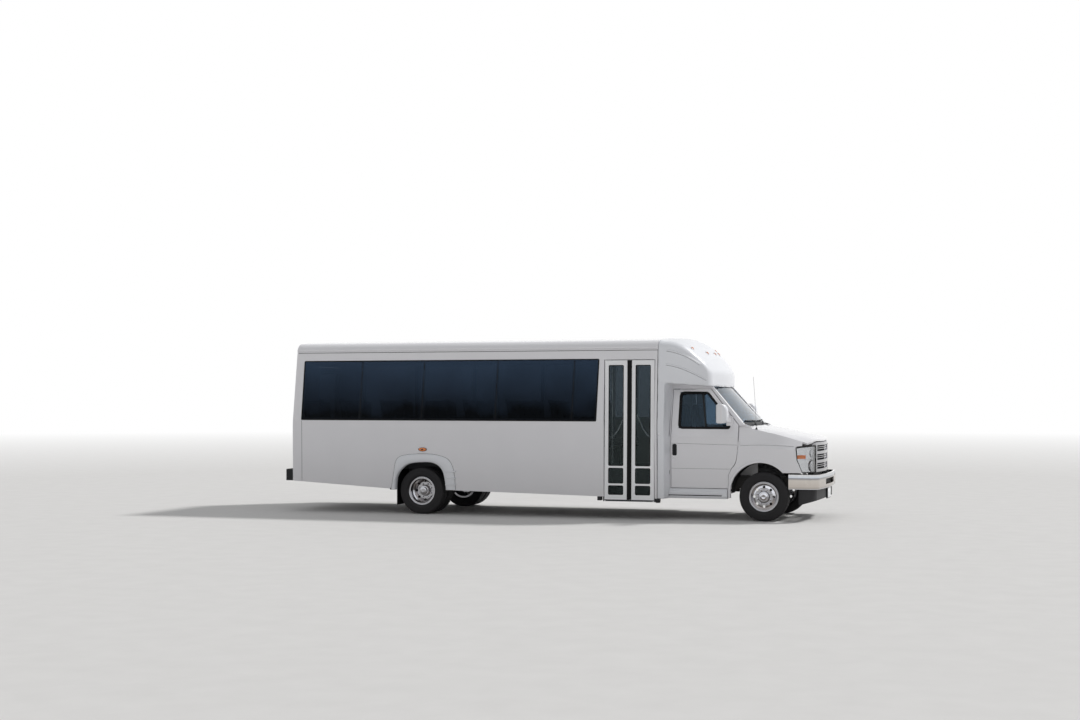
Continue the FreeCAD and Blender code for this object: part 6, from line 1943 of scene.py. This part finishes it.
@dataclass
class Engine:
    """Engine with its two heads, rocker covers, intake, air box and pulleys."""

    rear: float = 2.985
    front: float = 3.805
    low: float = 0.56
    lean: float = 40.0
    head_place: tuple[float, float] = (0.168, 0.925)
    runner_rear: float = 3.135
    runner_pitch: float = 0.142
    pulleys: tuple[tuple[float, float, float], ...] = ((0.0, 0.665, 0.082), (0.0, 0.85, 0.066), (-0.19, 0.8, 0.046),
                                                       (0.18, 0.78, 0.052))

    def forward(self, profile: Points, spot: Vector, steps: int = 28) -> Mesh:
        """Turned piece that faces forward from a spot."""
        return moved(lathe(profile, steps), Matrix.Translation(spot) @ FORWARD)

    def heads(self) -> tuple[Mesh, Mesh]:
        """Left head, and its rocker cover with ribs and filler cap.

        Returns:
            The head and its cover.
        """
        lean = Matrix.Translation((0, *self.head_place)) @ Matrix.Rotation(math.radians(-self.lean), 4, "X")
        head = box((3.05, -0.083, -0.105), (3.68, 0.083, 0.08), 0.016, 3)
        cover = [box((3.075, -0.058, 0.07), (3.655, 0.058, 0.112), 0.018, 4)]
        for row in range(7):
            ahead = 3.12 + row * 0.078
            cover.append(box((ahead, -0.046, 0.106), (ahead + 0.012, 0.046, 0.119), 0.003))
        cap = [(-0.004, 0.03), (0.008, 0.03), (0.012, 0.026), (0.012, 0.01), (0.01, 0.0)]
        upright = Matrix.Translation((3.61, 0, 0.112)) @ UPRIGHT
        cover.append(moved(lathe(cap, 20), upright))
        return moved(head, lean), moved(joined(cover), lean)

    def runner(self, ahead: float) -> Mesh:
        """Left intake runner.

        Args:
            ahead: metres ahead of the rear axle.

        Returns:
            The mesh.
        """
        bend = [(0.05, 1.08), (0.098, 1.083), (0.135, 1.052), (0.15, 0.985)]
        path = smooth_path([(ahead, across, height) for across, height in bend], 5)
        return rod(path, circle(0.019, 14), AHEAD)

    def build(self) -> None:
        """Build the engine."""
        head, cover = self.heads()
        block = [box((3.02, -0.165, 0.625), (3.7, 0.165, 0.93), 0.03, 3),
                 box((3.08, -0.125, self.low), (3.64, 0.125, 0.65), 0.025, 3), both_sides(head)]
        bell = [(0.0, 0.0), (0.0, 0.15), (0.01, 0.182), (0.055, 0.19), (0.06, 0.0)]
        block.append(self.forward(bell, Vector((self.rear, 0, 0.77)), 36))
        for index in range(4):
            ahead = 3.15 + index * 0.142
            manifold = [Vector((ahead, 0.18, 0.85)), Vector((ahead, 0.235, 0.815)), Vector((ahead, 0.25, 0.76))]
            block.append(both_sides(rod(rounded(manifold, [0, 0.03, 0], 4, closed=False), circle(0.021, 12),
                                        AHEAD)))
        block.append(both_sides(box((3.12, 0.222, 0.715), (3.62, 0.276, 0.775), 0.02, 3)))
        piece("engine_casting", joined(block), Slot.ENGINE, "bus", ["engine_block"])
        piece("rocker_covers", both_sides(cover), Slot.TRIM)
        intake = [box((3.095, -0.068, 1.03), (3.615, 0.068, 1.128), 0.028, 4)]
        intake += [both_sides(self.runner(self.runner_rear + index * self.runner_pitch)) for index in range(4)]
        throttle = [(-0.02, 0.0), (-0.02, 0.044), (0.03, 0.044), (0.03, 0.05), (0.038, 0.05), (0.038, 0.0)]
        intake.append(self.forward(throttle, Vector((3.615, 0, 1.079)), 30))
        piece("intake_manifold", joined(intake), Slot.RAIL)
        duct = smooth_path([(3.65, 0, 1.079), (3.7, -0.01, 1.076), (3.735, -0.06, 1.07), (3.738, -0.12, 1.066)], 6)
        air = [rod(duct, circle(0.041, 20), UP),
               box((3.64, -0.285, 0.985), (3.795, -0.105, 1.07), 0.018, 3),
               box((3.634, -0.291, 1.066), (3.801, -0.099, 1.138), 0.022, 3)]
        piece("air_filter_box", joined(air), Slot.DASH)
        wheels = []
        for across, height, radius in self.pulleys:
            rim = [(-0.03, 0.0), (-0.03, radius * 0.45), (0.02, radius * 0.45), (0.02, radius), (0.028, radius),
                   (0.034, radius * 0.93), (0.04, radius * 0.93), (0.046, radius), (0.054, radius),
                   (0.054, radius * 0.86), (0.046, radius * 0.8), (0.046, radius * 0.35), (0.06, radius * 0.3),
                   (0.06, 0.0)]
            wheels.append(self.forward(rim, Vector((3.7, across, height))))
        for across, height, radius in self.pulleys[2:]:
            case = [(-0.09, 0.0), (-0.09, radius * 0.9), (-0.08, radius * 1.08), (-0.01, radius * 1.08),
                    (-0.004, radius * 0.9), (-0.004, 0.0)]
            wheels.append(self.forward(case, Vector((3.7, across, height))))
        piece("engine_pulleys", joined(wheels), Slot.RAIL)
        LOG.info("engine built")


@dataclass
class WheelFlares:
    """Moulded flares over the rear wheels, with three strakes on each front leg."""

    inner: tuple[tuple[float, float], ...] = ((-0.425, 0.392), (-0.415, 0.547), (-0.383, 0.644), (-0.32, 0.726),
                                              (-0.233, 0.792), (-0.111, 0.825), (0.097, 0.838), (0.235, 0.824),
                                              (0.338, 0.767), (0.4, 0.672), (0.431, 0.529), (0.448, 0.4))
    outer: tuple[tuple[float, float], ...] = ((-0.51, 0.392), (-0.48, 0.547), (-0.455, 0.708), (-0.437, 0.805),
                                              (-0.385, 0.896), (-0.245, 0.946), (0.102, 0.967), (0.343, 0.937),
                                              (0.474, 0.881), (0.542, 0.787), (0.58, 0.64), (0.6, 0.4))
    crest: float = 0.04
    strakes: tuple[float, ...] = (0.69, 0.585, 0.485)

    def shell(self) -> Mesh:
        """Right flare as a closed skin between its two outlines.

        Returns:
            The mesh.
        """
        # Columns: share of the way from the outer to the inner outline, height over the body's skin.
        section = [(-0.02, 0.0), (0.0, 0.005), (0.1, 0.02), (0.26, 0.033), (0.45, self.crest), (0.7, self.crest),
                   (0.9, 0.034), (0.99, 0.026), (1.03, 0.012), (1.03, -0.045), (0.98, -0.045), (0.96, 0.014),
                   (0.5, 0.028), (0.1, 0.004)]
        inner = smooth_path([(ahead, 0, height) for ahead, height in self.inner], 6)
        outer = smooth_path([(ahead, 0, height) for ahead, height in self.outer], 6)
        points: list[Vector] = []
        for near, far in zip(inner, outer):
            for share, proud in section:
                spot = far.lerp(near, share)
                points.append(on_body(spot.x, spot.z, RIGHT, proud))
        return points, tube_faces(len(inner), len(section))

    def strake(self, height: float) -> Mesh:
        """Short ridge over the flare's front leg.

        Args:
            height: metres above the ground.

        Returns:
            The mesh.
        """
        line = [on_body(ahead, height + 0.008 * math.sin(3 * (ahead - 0.44)), RIGHT, self.crest - 0.006)
                for ahead in (0.442, 0.48, 0.52, 0.56, 0.604)]
        profile = [(-0.011, -0.045), (0.011, -0.045), (0.011, 0.004), (0.006, 0.011), (-0.003, 0.013),
                   (-0.011, 0.008)]
        return rod(line, profile, outward(RIGHT, SKIRT_LEAN))

    def build(self) -> None:
        """Put a flare over each rear wheel opening."""
        ridges = [self.strake(height) for height in self.strakes]
        piece("rear_flares", both_sides(joined([self.shell(), *ridges])), Slot.PLASTIC, "bus", ["wheel_flares"], 38)
        gasket = [on_body(ahead, height, RIGHT) for ahead, height in self.outer]
        edge = rod(smooth_path(gasket, 6), oblong(-0.004, 0.004, -0.002, 0.0035),
                   outward(RIGHT, SKIRT_LEAN))
        bracket = slab((-0.525, -1.216, 0.386), (-0.44, -1.12, 0.412), 0.004)
        piece("flare_gaskets", both_sides(joined([edge, bracket])), Slot.RUBBER)
        LOG.info("flares over the rear wheels")


FILLING_PRESSURE, SETTLING_FRAMES = 4.0, 20


def stuffed(name: str, mesh: Mesh, voxel: float, cap: float, still_below: float) -> Mesh:
    """Let a closed form swell under the pressure of its filling.

    Args:
        name: name of the working object.
        mesh: form a little smaller than the finished cushion.
        voxel: size of the even grid that it is remeshed to.
        cap: the most that a point may move.
        still_below: height below which the cushion rests and stays flat.

    Returns:
        The swollen mesh.
    """
    item = plain(name, mesh)
    scene = bpy.context.scene
    even = gridded(item, voxel)
    start, faces = taken(even)
    finished = even
    held = item.vertex_groups.new(name="held")
    held.add([index for index, spot in enumerate(start) if spot.z < still_below], 1.0, "REPLACE")
    cloth = item.modifiers.new("filling", "CLOTH")
    cloth.settings.use_pressure = True
    cloth.settings.uniform_pressure_force = FILLING_PRESSURE
    cloth.settings.effector_weights.gravity = 0.0
    cloth.settings.vertex_group_mass = held.name
    cloth.settings.quality = 4
    cloth.point_cache.frame_start, cloth.point_cache.frame_end = 1, SETTLING_FRAMES
    for step in range(1, SETTLING_FRAMES + 1):
        scene.frame_set(step)
    finished = evaluated(item)
    scene.frame_set(1)
    points = []
    for first, vertex in zip(start, finished.vertices):
        shift = vertex.co - first
        points.append(first + (shift if shift.length <= cap else shift.normalized() * cap))
    bpy.data.objects.remove(item)
    return points, faces


def sewn(mesh: Mesh, lines: Sequence[float], depth: float, width: float, up: Vector) -> Mesh:
    """Press sewn channels along X or Z into a cushion's faces that look one way.

    Args:
        mesh: the cushion.
        lines: places of the channels across the cushion.
        depth: how deep they are pressed in.
        width: half width of a channel.
        up: direction that the pressed faces look in.

    Returns:
        The cushion with its channels.
    """
    points, faces = mesh
    facing = [Vector() for _ in points]
    for face in faces:
        first, second, third = (points[index] for index in face[:3])
        normal = (second - first).cross(third - first)
        for index in face:
            facing[index] += normal
    pressed = []
    for point, normal in zip(points, facing):
        share = max(0.0, normal.normalized().dot(up)) if normal.length else 0.0
        dip = sum(math.exp(-((point.y - line) / width) ** 2) for line in lines)
        pressed.append(point - up * (depth * dip * share ** 0.5))
    return pressed, faces


def subdivided(mesh: Mesh) -> Mesh:
    """Mesh after one smooth subdivision.

    Args:
        mesh: the coarse mesh.

    Returns:
        The fine mesh.
    """
    item = plain("fine", mesh)
    item.modifiers.new("fine", "SUBSURF").levels = 1
    fine = evaluated(item)
    bpy.data.objects.remove(item)
    return taken(fine)


@dataclass
class SeatCushions:
    """Seat and back cushion of one place, swollen by their filling."""

    width: float
    depth: float = 0.455
    rise: float = 0.655
    voxel: float = 0.014
    fine: bool = False

    def form(self, low: Sequence[float], high: Sequence[float], pinch: float) -> Mesh:
        """Rounded block whose sides pull in between its corners.

        Args:
            low: lowest corner.
            high: highest corner.
            pinch: how much the sides pull in.

        Returns:
            The mesh.
        """
        shell = bmesh.new()
        bmesh.ops.create_cube(shell, size=1)
        bmesh.ops.subdivide_edges(shell, edges=shell.edges[:], cuts=7, use_grid_fill=True)
        for vertex in shell.verts:
            place = vertex.co.copy()
            for axis in range(3):
                others = [place[other] * 2 for other in range(3) if other != axis]
                vertex.co[axis] = place[axis] * (1 - pinch * (1 - min(1.0, abs(others[0]))) * 0.5
                                                 - pinch * (1 - min(1.0, abs(others[1]))) * 0.5)
            vertex.co = Vector([low[i] + (vertex.co[i] + 0.5) * (high[i] - low[i]) for i in range(3)])
        return emptied(shell)

    def seat(self) -> Mesh:
        """Seat cushion from its rear edge at the origin, resting flat on its board.

        Returns:
            The mesh.
        """
        half = self.width / 2 - 0.016
        form = self.form((0.03, -half, 0.0), (self.depth, half, 0.092), 0.03)
        swollen = stuffed("seat_form", form, self.voxel, 0.026, self.voxel * 0.6)
        channels = sewn(swollen, (-self.width * 0.2, self.width * 0.2), 0.01, 0.013, UP)
        points = [Vector((point.x, point.y, point.z + 0.305 + 0.045 * (point.x / self.depth) ** 2))
                  for point in channels[0]]
        return points, channels[1]

    def back(self) -> Mesh:
        """Back cushion, leaning, over the rear edge of the seat.

        Returns:
            The mesh.
        """
        half = self.width / 2 - 0.016
        form = self.form((-0.036, -half, 0.0), (0.028, half, self.rise), 0.03)
        swollen = stuffed("back_form", form, self.voxel, 0.024, 0.0)
        channels = sewn(swollen, (-self.width * 0.2, self.width * 0.2), 0.009, 0.013, AHEAD)
        points = [Vector((point.x + 0.04 - BACK_LEAN * point.z, point.y, point.z + 0.4)) for point in channels[0]]
        return points, channels[1]

    def pair(self) -> tuple[Mesh, Mesh]:
        """Seat and back cushion, each subdivided once when fine is set."""
        both = self.seat(), self.back()
        return (subdivided(both[0]), subdivided(both[1])) if self.fine else both


@dataclass
class Seats:
    """Padded double seats of the saloon and the two cab seats, on their frames."""

    first: float = -2.02
    pitch: float = 0.762
    rows: tuple[tuple[int, int], ...] = ((RIGHT, 6), (LEFT, 7))
    places: tuple[float, float] = (0.478, 0.918)
    floor: float = 0.76
    box_half: float = 0.457
    box_top: float = 0.906
    cab_at: float = 4.2
    cab_floor: float = 0.72
    cab_across: float = 0.5

    def on_back(self, ahead: float, across: float, height: float) -> Vector:
        """Point of a leaning back, at a height over the floor."""
        return station(ahead - BACK_LEAN * (height - 0.4), across, self.floor + height)

    def frame(self, ahead: float, side: int) -> Mesh:
        """Legs, cross tubes and back shell of one double seat.

        Args:
            ahead: place of its back, ahead of the rear axle.
            side: LEFT or RIGHT.

        Returns:
            The mesh.
        """
        parts = []
        over_box = abs(ahead + 0.27) < self.box_half + 0.03
        for across, inner in ((0.36, True), (1.05, False)):
            foot = self.box_top if over_box and not inner else self.floor
            parts.append(slab((ahead + 0.215, across - 0.016, foot),
                              (ahead + 0.325, across + 0.016, self.floor + 0.3), 0.006))
            parts.append(slab((ahead + 0.185, across - 0.035, foot),
                              (ahead + 0.352, across + 0.035, foot + 0.008), 0.003))
        for place in (0.215, 0.33):
            tube = [station(ahead + place, across, self.floor + 0.29) for across in (0.285, 1.115)]
            parts.append(rod(tube, circle(0.013, 10), UP))
        parts.append(slab((ahead + 0.045, 0.27, self.floor + 0.294), (ahead + 0.44, 1.13, self.floor + 0.304),
                          0.003))
        lean = Vector((-BACK_LEAN, 0, 1)).normalized()
        corners = oblong(0.268, 1.132, 0.36, 1.045)
        path = [self.on_back(ahead - 0.006, across, height) for across, height in corners]
        shell = panel(rounded(path, 0.045, 5), lean.cross(ACROSS) * -1, 0.01)
        parts.append(shell)
        grab = [(0.3, 1.01), (0.3, 1.062), (0.4, 1.066), (0.5, 1.062), (0.5, 1.01)]
        path = [self.on_back(ahead - 0.022, across, height) for across, height in grab]
        parts.append(rod(rounded(path, 0.018, 4, closed=False), circle(0.0085, 8), Vector((1, 0, 0.15))))
        mesh = joined(parts)
        return mesh if side == LEFT else mirrored(mesh)

    def cab_base(self, side: int) -> Mesh:
        """Pedestal, slides and side shields of a cab seat.

        Args:
            side: LEFT or RIGHT.

        Returns:
            The mesh.
        """
        across = side * self.cab_across
        base = [slab((self.cab_at + 0.175, across - 0.2, self.cab_floor),
                     (self.cab_at + 0.355, across + 0.2, self.cab_floor + 0.25), 0.012),
                slab((self.cab_at + 0.05, across - 0.225, self.cab_floor + 0.262),
                     (self.cab_at + 0.43, across + 0.225, self.cab_floor + 0.302), 0.01)]
        for place in (-0.215, 0.215):
            base.append(slab((self.cab_at + 0.172, across + place - 0.012, self.cab_floor + 0.235),
                             (self.cab_at + 0.42, across + place + 0.012, self.cab_floor + 0.275), 0.004))
        return joined(base)

    def build(self) -> None:
        """Fill the saloon and the cab with their seats."""
        seat, back = SeatCushions(0.43).pair()
        number = 0
        for side, count in self.rows:
            for row in range(count):
                ahead = self.first + row * self.pitch
                parts = []
                for place in self.places:
                    shift = Matrix.Translation(station(ahead, side * place, self.floor))
                    parts += [moved(seat, shift), moved(back, shift)]
                number += 1
                name = f"saloon_cushions_{SIDE_NAMES[side]}_{row + 1}"
                cushions = piece(name, joined(parts), Slot.VINYL, "bus", ["saloon_seats"], 60)
                piece(f"saloon_seat_frame_{SIDE_NAMES[side]}_{row + 1}", self.frame(ahead, side), Slot.TRIM, "bus",
                      ["saloon_seats"])
        seat, back = SeatCushions(0.5, voxel=0.01).pair()
        for side, name in SIDE_NAMES.items():
            shift = Matrix.Translation(station(self.cab_at, side * self.cab_across, self.cab_floor))
            cushions = piece(f"cab_seat_cushions_{name}", moved(joined([seat, back]), shift), Slot.VINYL, "bus",
                             ["cab_seats"], 60)
            piece(f"cab_seat_base_{name}", self.cab_base(side), Slot.TRIM, "bus", ["cab_seats"])
        LOG.info("%d double seats and two cab seats", number)


@dataclass
class Roofline:
    """Drip rails over the windows and doors, with a dark strip under them that stands for the sealed joint and
    paints the rails' shadow.
    """

    rear: float = -2.185
    front: float = 3.884
    height: float = 2.606

    def build(self) -> None:
        """Lay the rails on both sides."""
        lean = outward(RIGHT, BODY_LEAN)
        line = [on_body(self.rear, self.height, RIGHT), on_body(self.front, self.height, RIGHT)]
        rail = rod(line, [(-0.007, -0.003), (0.009, -0.003), (0.009, 0.004), (0.006, 0.007), (-0.007, 0.007)],
                   lean)
        piece("drip_rails", both_sides(rail), Slot.PAINT)
        # Sealed joint under each rail, black: a dark joint that also paints the rail's shadow.
        low = [on_body(self.rear, self.height - 0.013, RIGHT), on_body(self.front, self.height - 0.013, RIGHT)]
        seal = rod(low, oblong(-0.0035, 0.0035, -0.002, 0.0018), lean)
        piece("drip_rail_painted_shadow_seals", both_sides(seal), Slot.TRIM)
        LOG.info("drip rails laid")


@dataclass
class Rear:
    """Lamp bezels and lens ribs, door gasket, window rubber, handle and bumper tread."""

    face: float = -2.262
    lamp_across: float = 1.02
    lamp_heights: tuple[float, ...] = (0.96, 1.095, 1.23)
    door_half: float = 0.445
    door_low: float = 0.8
    door_top: float = 2.37
    window_half: float = 0.35
    window_low: float = 1.506
    window_top: float = 2.275

    def wall(self, across: float, height: float, proud: float = 0.0) -> Vector:
        """Point on the rear wall, which leans forward above its waist."""
        lean = 0.06 * max(0.0, height - 1.4) / (2.623 - 1.4)
        return station(self.face + lean - proud, across, height)

    def build(self) -> None:
        """Dress the rear wall."""
        bezel = [(0.0, 0.053), (0.0, 0.064), (0.012, 0.064), (0.019, 0.06), (0.0215, 0.055), (0.0215, 0.0515)]
        ribs = [(0.0222, 0.0495), (0.024, 0.0485), (0.0222, 0.044), (0.024, 0.0395), (0.0222, 0.035),
                (0.024, 0.0305), (0.0222, 0.026), (0.024, 0.0215), (0.0222, 0.017), (0.0245, 0.012),
                (0.025, 0.0)]
        for side, name in SIDE_NAMES.items():
            rings = []
            for height in self.lamp_heights:
                spot = Matrix.Translation(station(self.face, side * self.lamp_across, height)) @ BACKWARD
                rings.append(moved(lathe(bezel, 40, closed=True), spot))
                slot = Slot.AMBER if height == self.lamp_heights[1] else Slot.RED
                piece(f"tail_lens_{name}_{int(height * 1000)}", moved(lathe(ribs, 40), spot), slot, sharp=25)
            piece(f"tail_bezels_{name}", joined(rings), Slot.RUBBER)
        normal = Vector((-1, 0, 0.02)).normalized()
        outline = [self.wall(*corner, 0.002) for corner in
                   oblong(-self.door_half, self.door_half, self.door_low, self.door_top)]
        gasket = sweep(rounded(outline, 0.03, 5), strip(0.012, 0.004), normal)
        piece("rear_door_gasket", gasket, Slot.RUBBER)
        window = [self.wall(*corner, 0.001) for corner in
                  oblong(-self.window_half, self.window_half, self.window_low, self.window_top)]
        rubber = sweep(rounded(window, 0.045, 6), strip(0.026, 0.007), normal)
        body = "rear_door_body"
        piece("rear_window_rubber", rubber, Slot.RUBBER, body)
        handle = [self.wall(-0.375, 1.3, 0.0), self.wall(-0.375, 1.3, 0.04), self.wall(-0.375, 1.16, 0.04),
                  self.wall(-0.375, 1.16, 0.0)]
        grip = rod(rounded(handle, 0.014, 4, closed=False), circle(0.0095, 10), ACROSS)
        rose = moved(lathe([(0.0, 0.026), (0.006, 0.026), (0.01, 0.021), (0.01, 0.0)], 24),
                     Matrix.Translation(self.wall(-0.375, 1.085)) @ BACKWARD)
        piece("rear_door_handle", joined([grip, rose]), Slot.RAIL, body)
        low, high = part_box("rear_bumper")
        top = high.z
        tread = [box((low.x + 0.012, -1.08, top - 0.004), (low.x + 0.15, 1.08, top + 0.004), 0.002)]
        for step in range(-17, 18):
            tread.append(box((low.x + 0.022, step * 0.062 - 0.018, top + 0.003),
                             (low.x + 0.14, step * 0.062 + 0.018, top + 0.007), 0.0015))
        piece("rear_bumper_tread", joined(tread), Slot.RUBBER)
        LOG.info("rear wall dressed")


@dataclass
class Sills:
    """Dark step slots and ridges in the white sills under the cab doors."""

    rear: float = 4.005
    front: float = 4.85

    def build(self) -> None:
        """Dress both sills."""
        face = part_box("running_boards")[1].y
        slot = [box((REAR_AXLE_X + self.rear, face - 0.006, 0.371), (REAR_AXLE_X + self.front, face + 0.0015, 0.385),
                    0.001)]
        piece("sill_slots", both_sides(joined(slot)), Slot.RUBBER)
        ridge = rod([Vector((REAR_AXLE_X + self.rear - 0.01, face - 0.002, 0.4065)),
                     Vector((REAR_AXLE_X + self.front + 0.02, face - 0.002, 0.4065))],
                    [(-0.006, -0.004), (0.006, -0.004), (0.005, 0.003), (0.0, 0.006), (-0.005, 0.003)],
                    ACROSS)
        piece("sill_ridges", both_sides(ridge), Slot.PLASTIC)
        LOG.info("sills dressed")


@dataclass
class Studio:
    """Pale floor, pale backdrop, soft light and the photograph's camera."""

    eye: tuple[float, float, float] = (7.733, -24.519, 1.886)
    turn: float = 18.2
    lens: float = 52.45
    lift: float = 0.0336
    ambient: float = 0.395
    sun: float = 2.15
    fill: float = 0.14
    daylight: tuple[float, float, float] = (0.94, 0.965, 1.0)

    def camera(self) -> None:
        """Camera at the photograph's viewing angle."""
        data = bpy.data.cameras.new("camera")
        data.lens, data.shift_y, data.clip_end = self.lens, self.lift, 400
        item = linked("camera", data)
        item.location = self.eye
        item.rotation_euler = (math.pi / 2, 0, math.radians(self.turn))
        bpy.context.scene.camera = item

    def world(self) -> None:
        """Even light for the object, and a white backdrop for the camera, gloss and glass."""
        world = bpy.data.worlds.new("backdrop")
        bpy.context.scene.world = world
        graph = Graph(world)
        rays = graph.add("ShaderNodeLightPath").outputs
        seen = graph.math("MAXIMUM", rays["Is Camera Ray"], rays["Is Glossy Ray"])
        seen = graph.math("MAXIMUM", seen, rays["Is Transmission Ray"])
        backdrop = graph.tree.nodes["Background"]
        graph.feed(backdrop.inputs["Strength"], graph.span(seen, 0.0, 1.0, self.ambient, 1.0))
        graph.feed(backdrop.inputs["Color"], graph.mix(seen, self.daylight, WHITE))

    def floor(self) -> None:
        """Wide pale floor that fades into the backdrop far away."""
        item = plain("floor", box((-150, -150, -0.02), (150, 150, 0)))
        graph = Graph(bpy.data.materials.new("pale_floor"))
        place = graph.place()
        away = graph.add("ShaderNodeVectorMath", operation="LENGTH")
        graph.feed(away.inputs[0], place)
        grain = graph.span(graph.noise(place, 3.0, 6), 0.3, 0.7, 0.0, 1.0)
        graph.shade({"Base Color": graph.mix(grain, (0.7, 0.685, 0.665), (0.73, 0.715, 0.695)), "Roughness": 0.85})
        glow = graph.add("ShaderNodeEmission")
        graph.feed(glow.inputs["Color"], WHITE)
        blend = graph.add("ShaderNodeMixShader")
        sources = (graph.span(away.outputs["Value"], 16.0, 60.0, 0.0, 1.0),
                   graph.tree.nodes["Principled BSDF"].outputs[0], glow.outputs[0])
        for target, source in zip(blend.inputs, sources):
            graph.feed(target, source)
        graph.feed(graph.tree.nodes["Material Output"].inputs["Surface"], blend.outputs[0])
        item.data.materials.append(graph.owner)

    def lamps(self) -> None:
        """One wide soft lamp high ahead of the nose on the far side, and a weak one behind the camera."""
        for name, strength, angle, aim in (("key", self.sun, 7, (-0.62, -0.52, -0.8)),
                                           ("fill", self.fill, 60, (-0.35, 0.85, -0.35))):
            data = bpy.data.lights.new(name, "SUN")
            data.energy, data.angle = strength, math.radians(angle)
            item = linked(name, data)
            item.rotation_mode = "QUATERNION"
            item.rotation_quaternion = Vector(aim).to_track_quat("-Z", "Y")

    def build(self) -> None:
        """Set the stage."""
        bpy.context.scene.view_settings.view_transform = "Standard"
        self.camera()
        self.world()
        self.floor()
        self.lamps()
        LOG.info("studio is set")


def main() -> None:
    """Build every sub-assembly in order."""
    logging.basicConfig(level=logging.INFO, format="%(name)s: %(message)s")
    for assembly in (Paintwork, Tyres, WheelTrim, SideGlazing, BodySeams, EntryDoors, CabDoors, Headlamps, Nose, Cap,
                     Engine, Underbody, WheelFlares, Roofline, Sills, Rear, Seats, Studio):
        assembly().build()


if __name__ == "__main__":
    main()
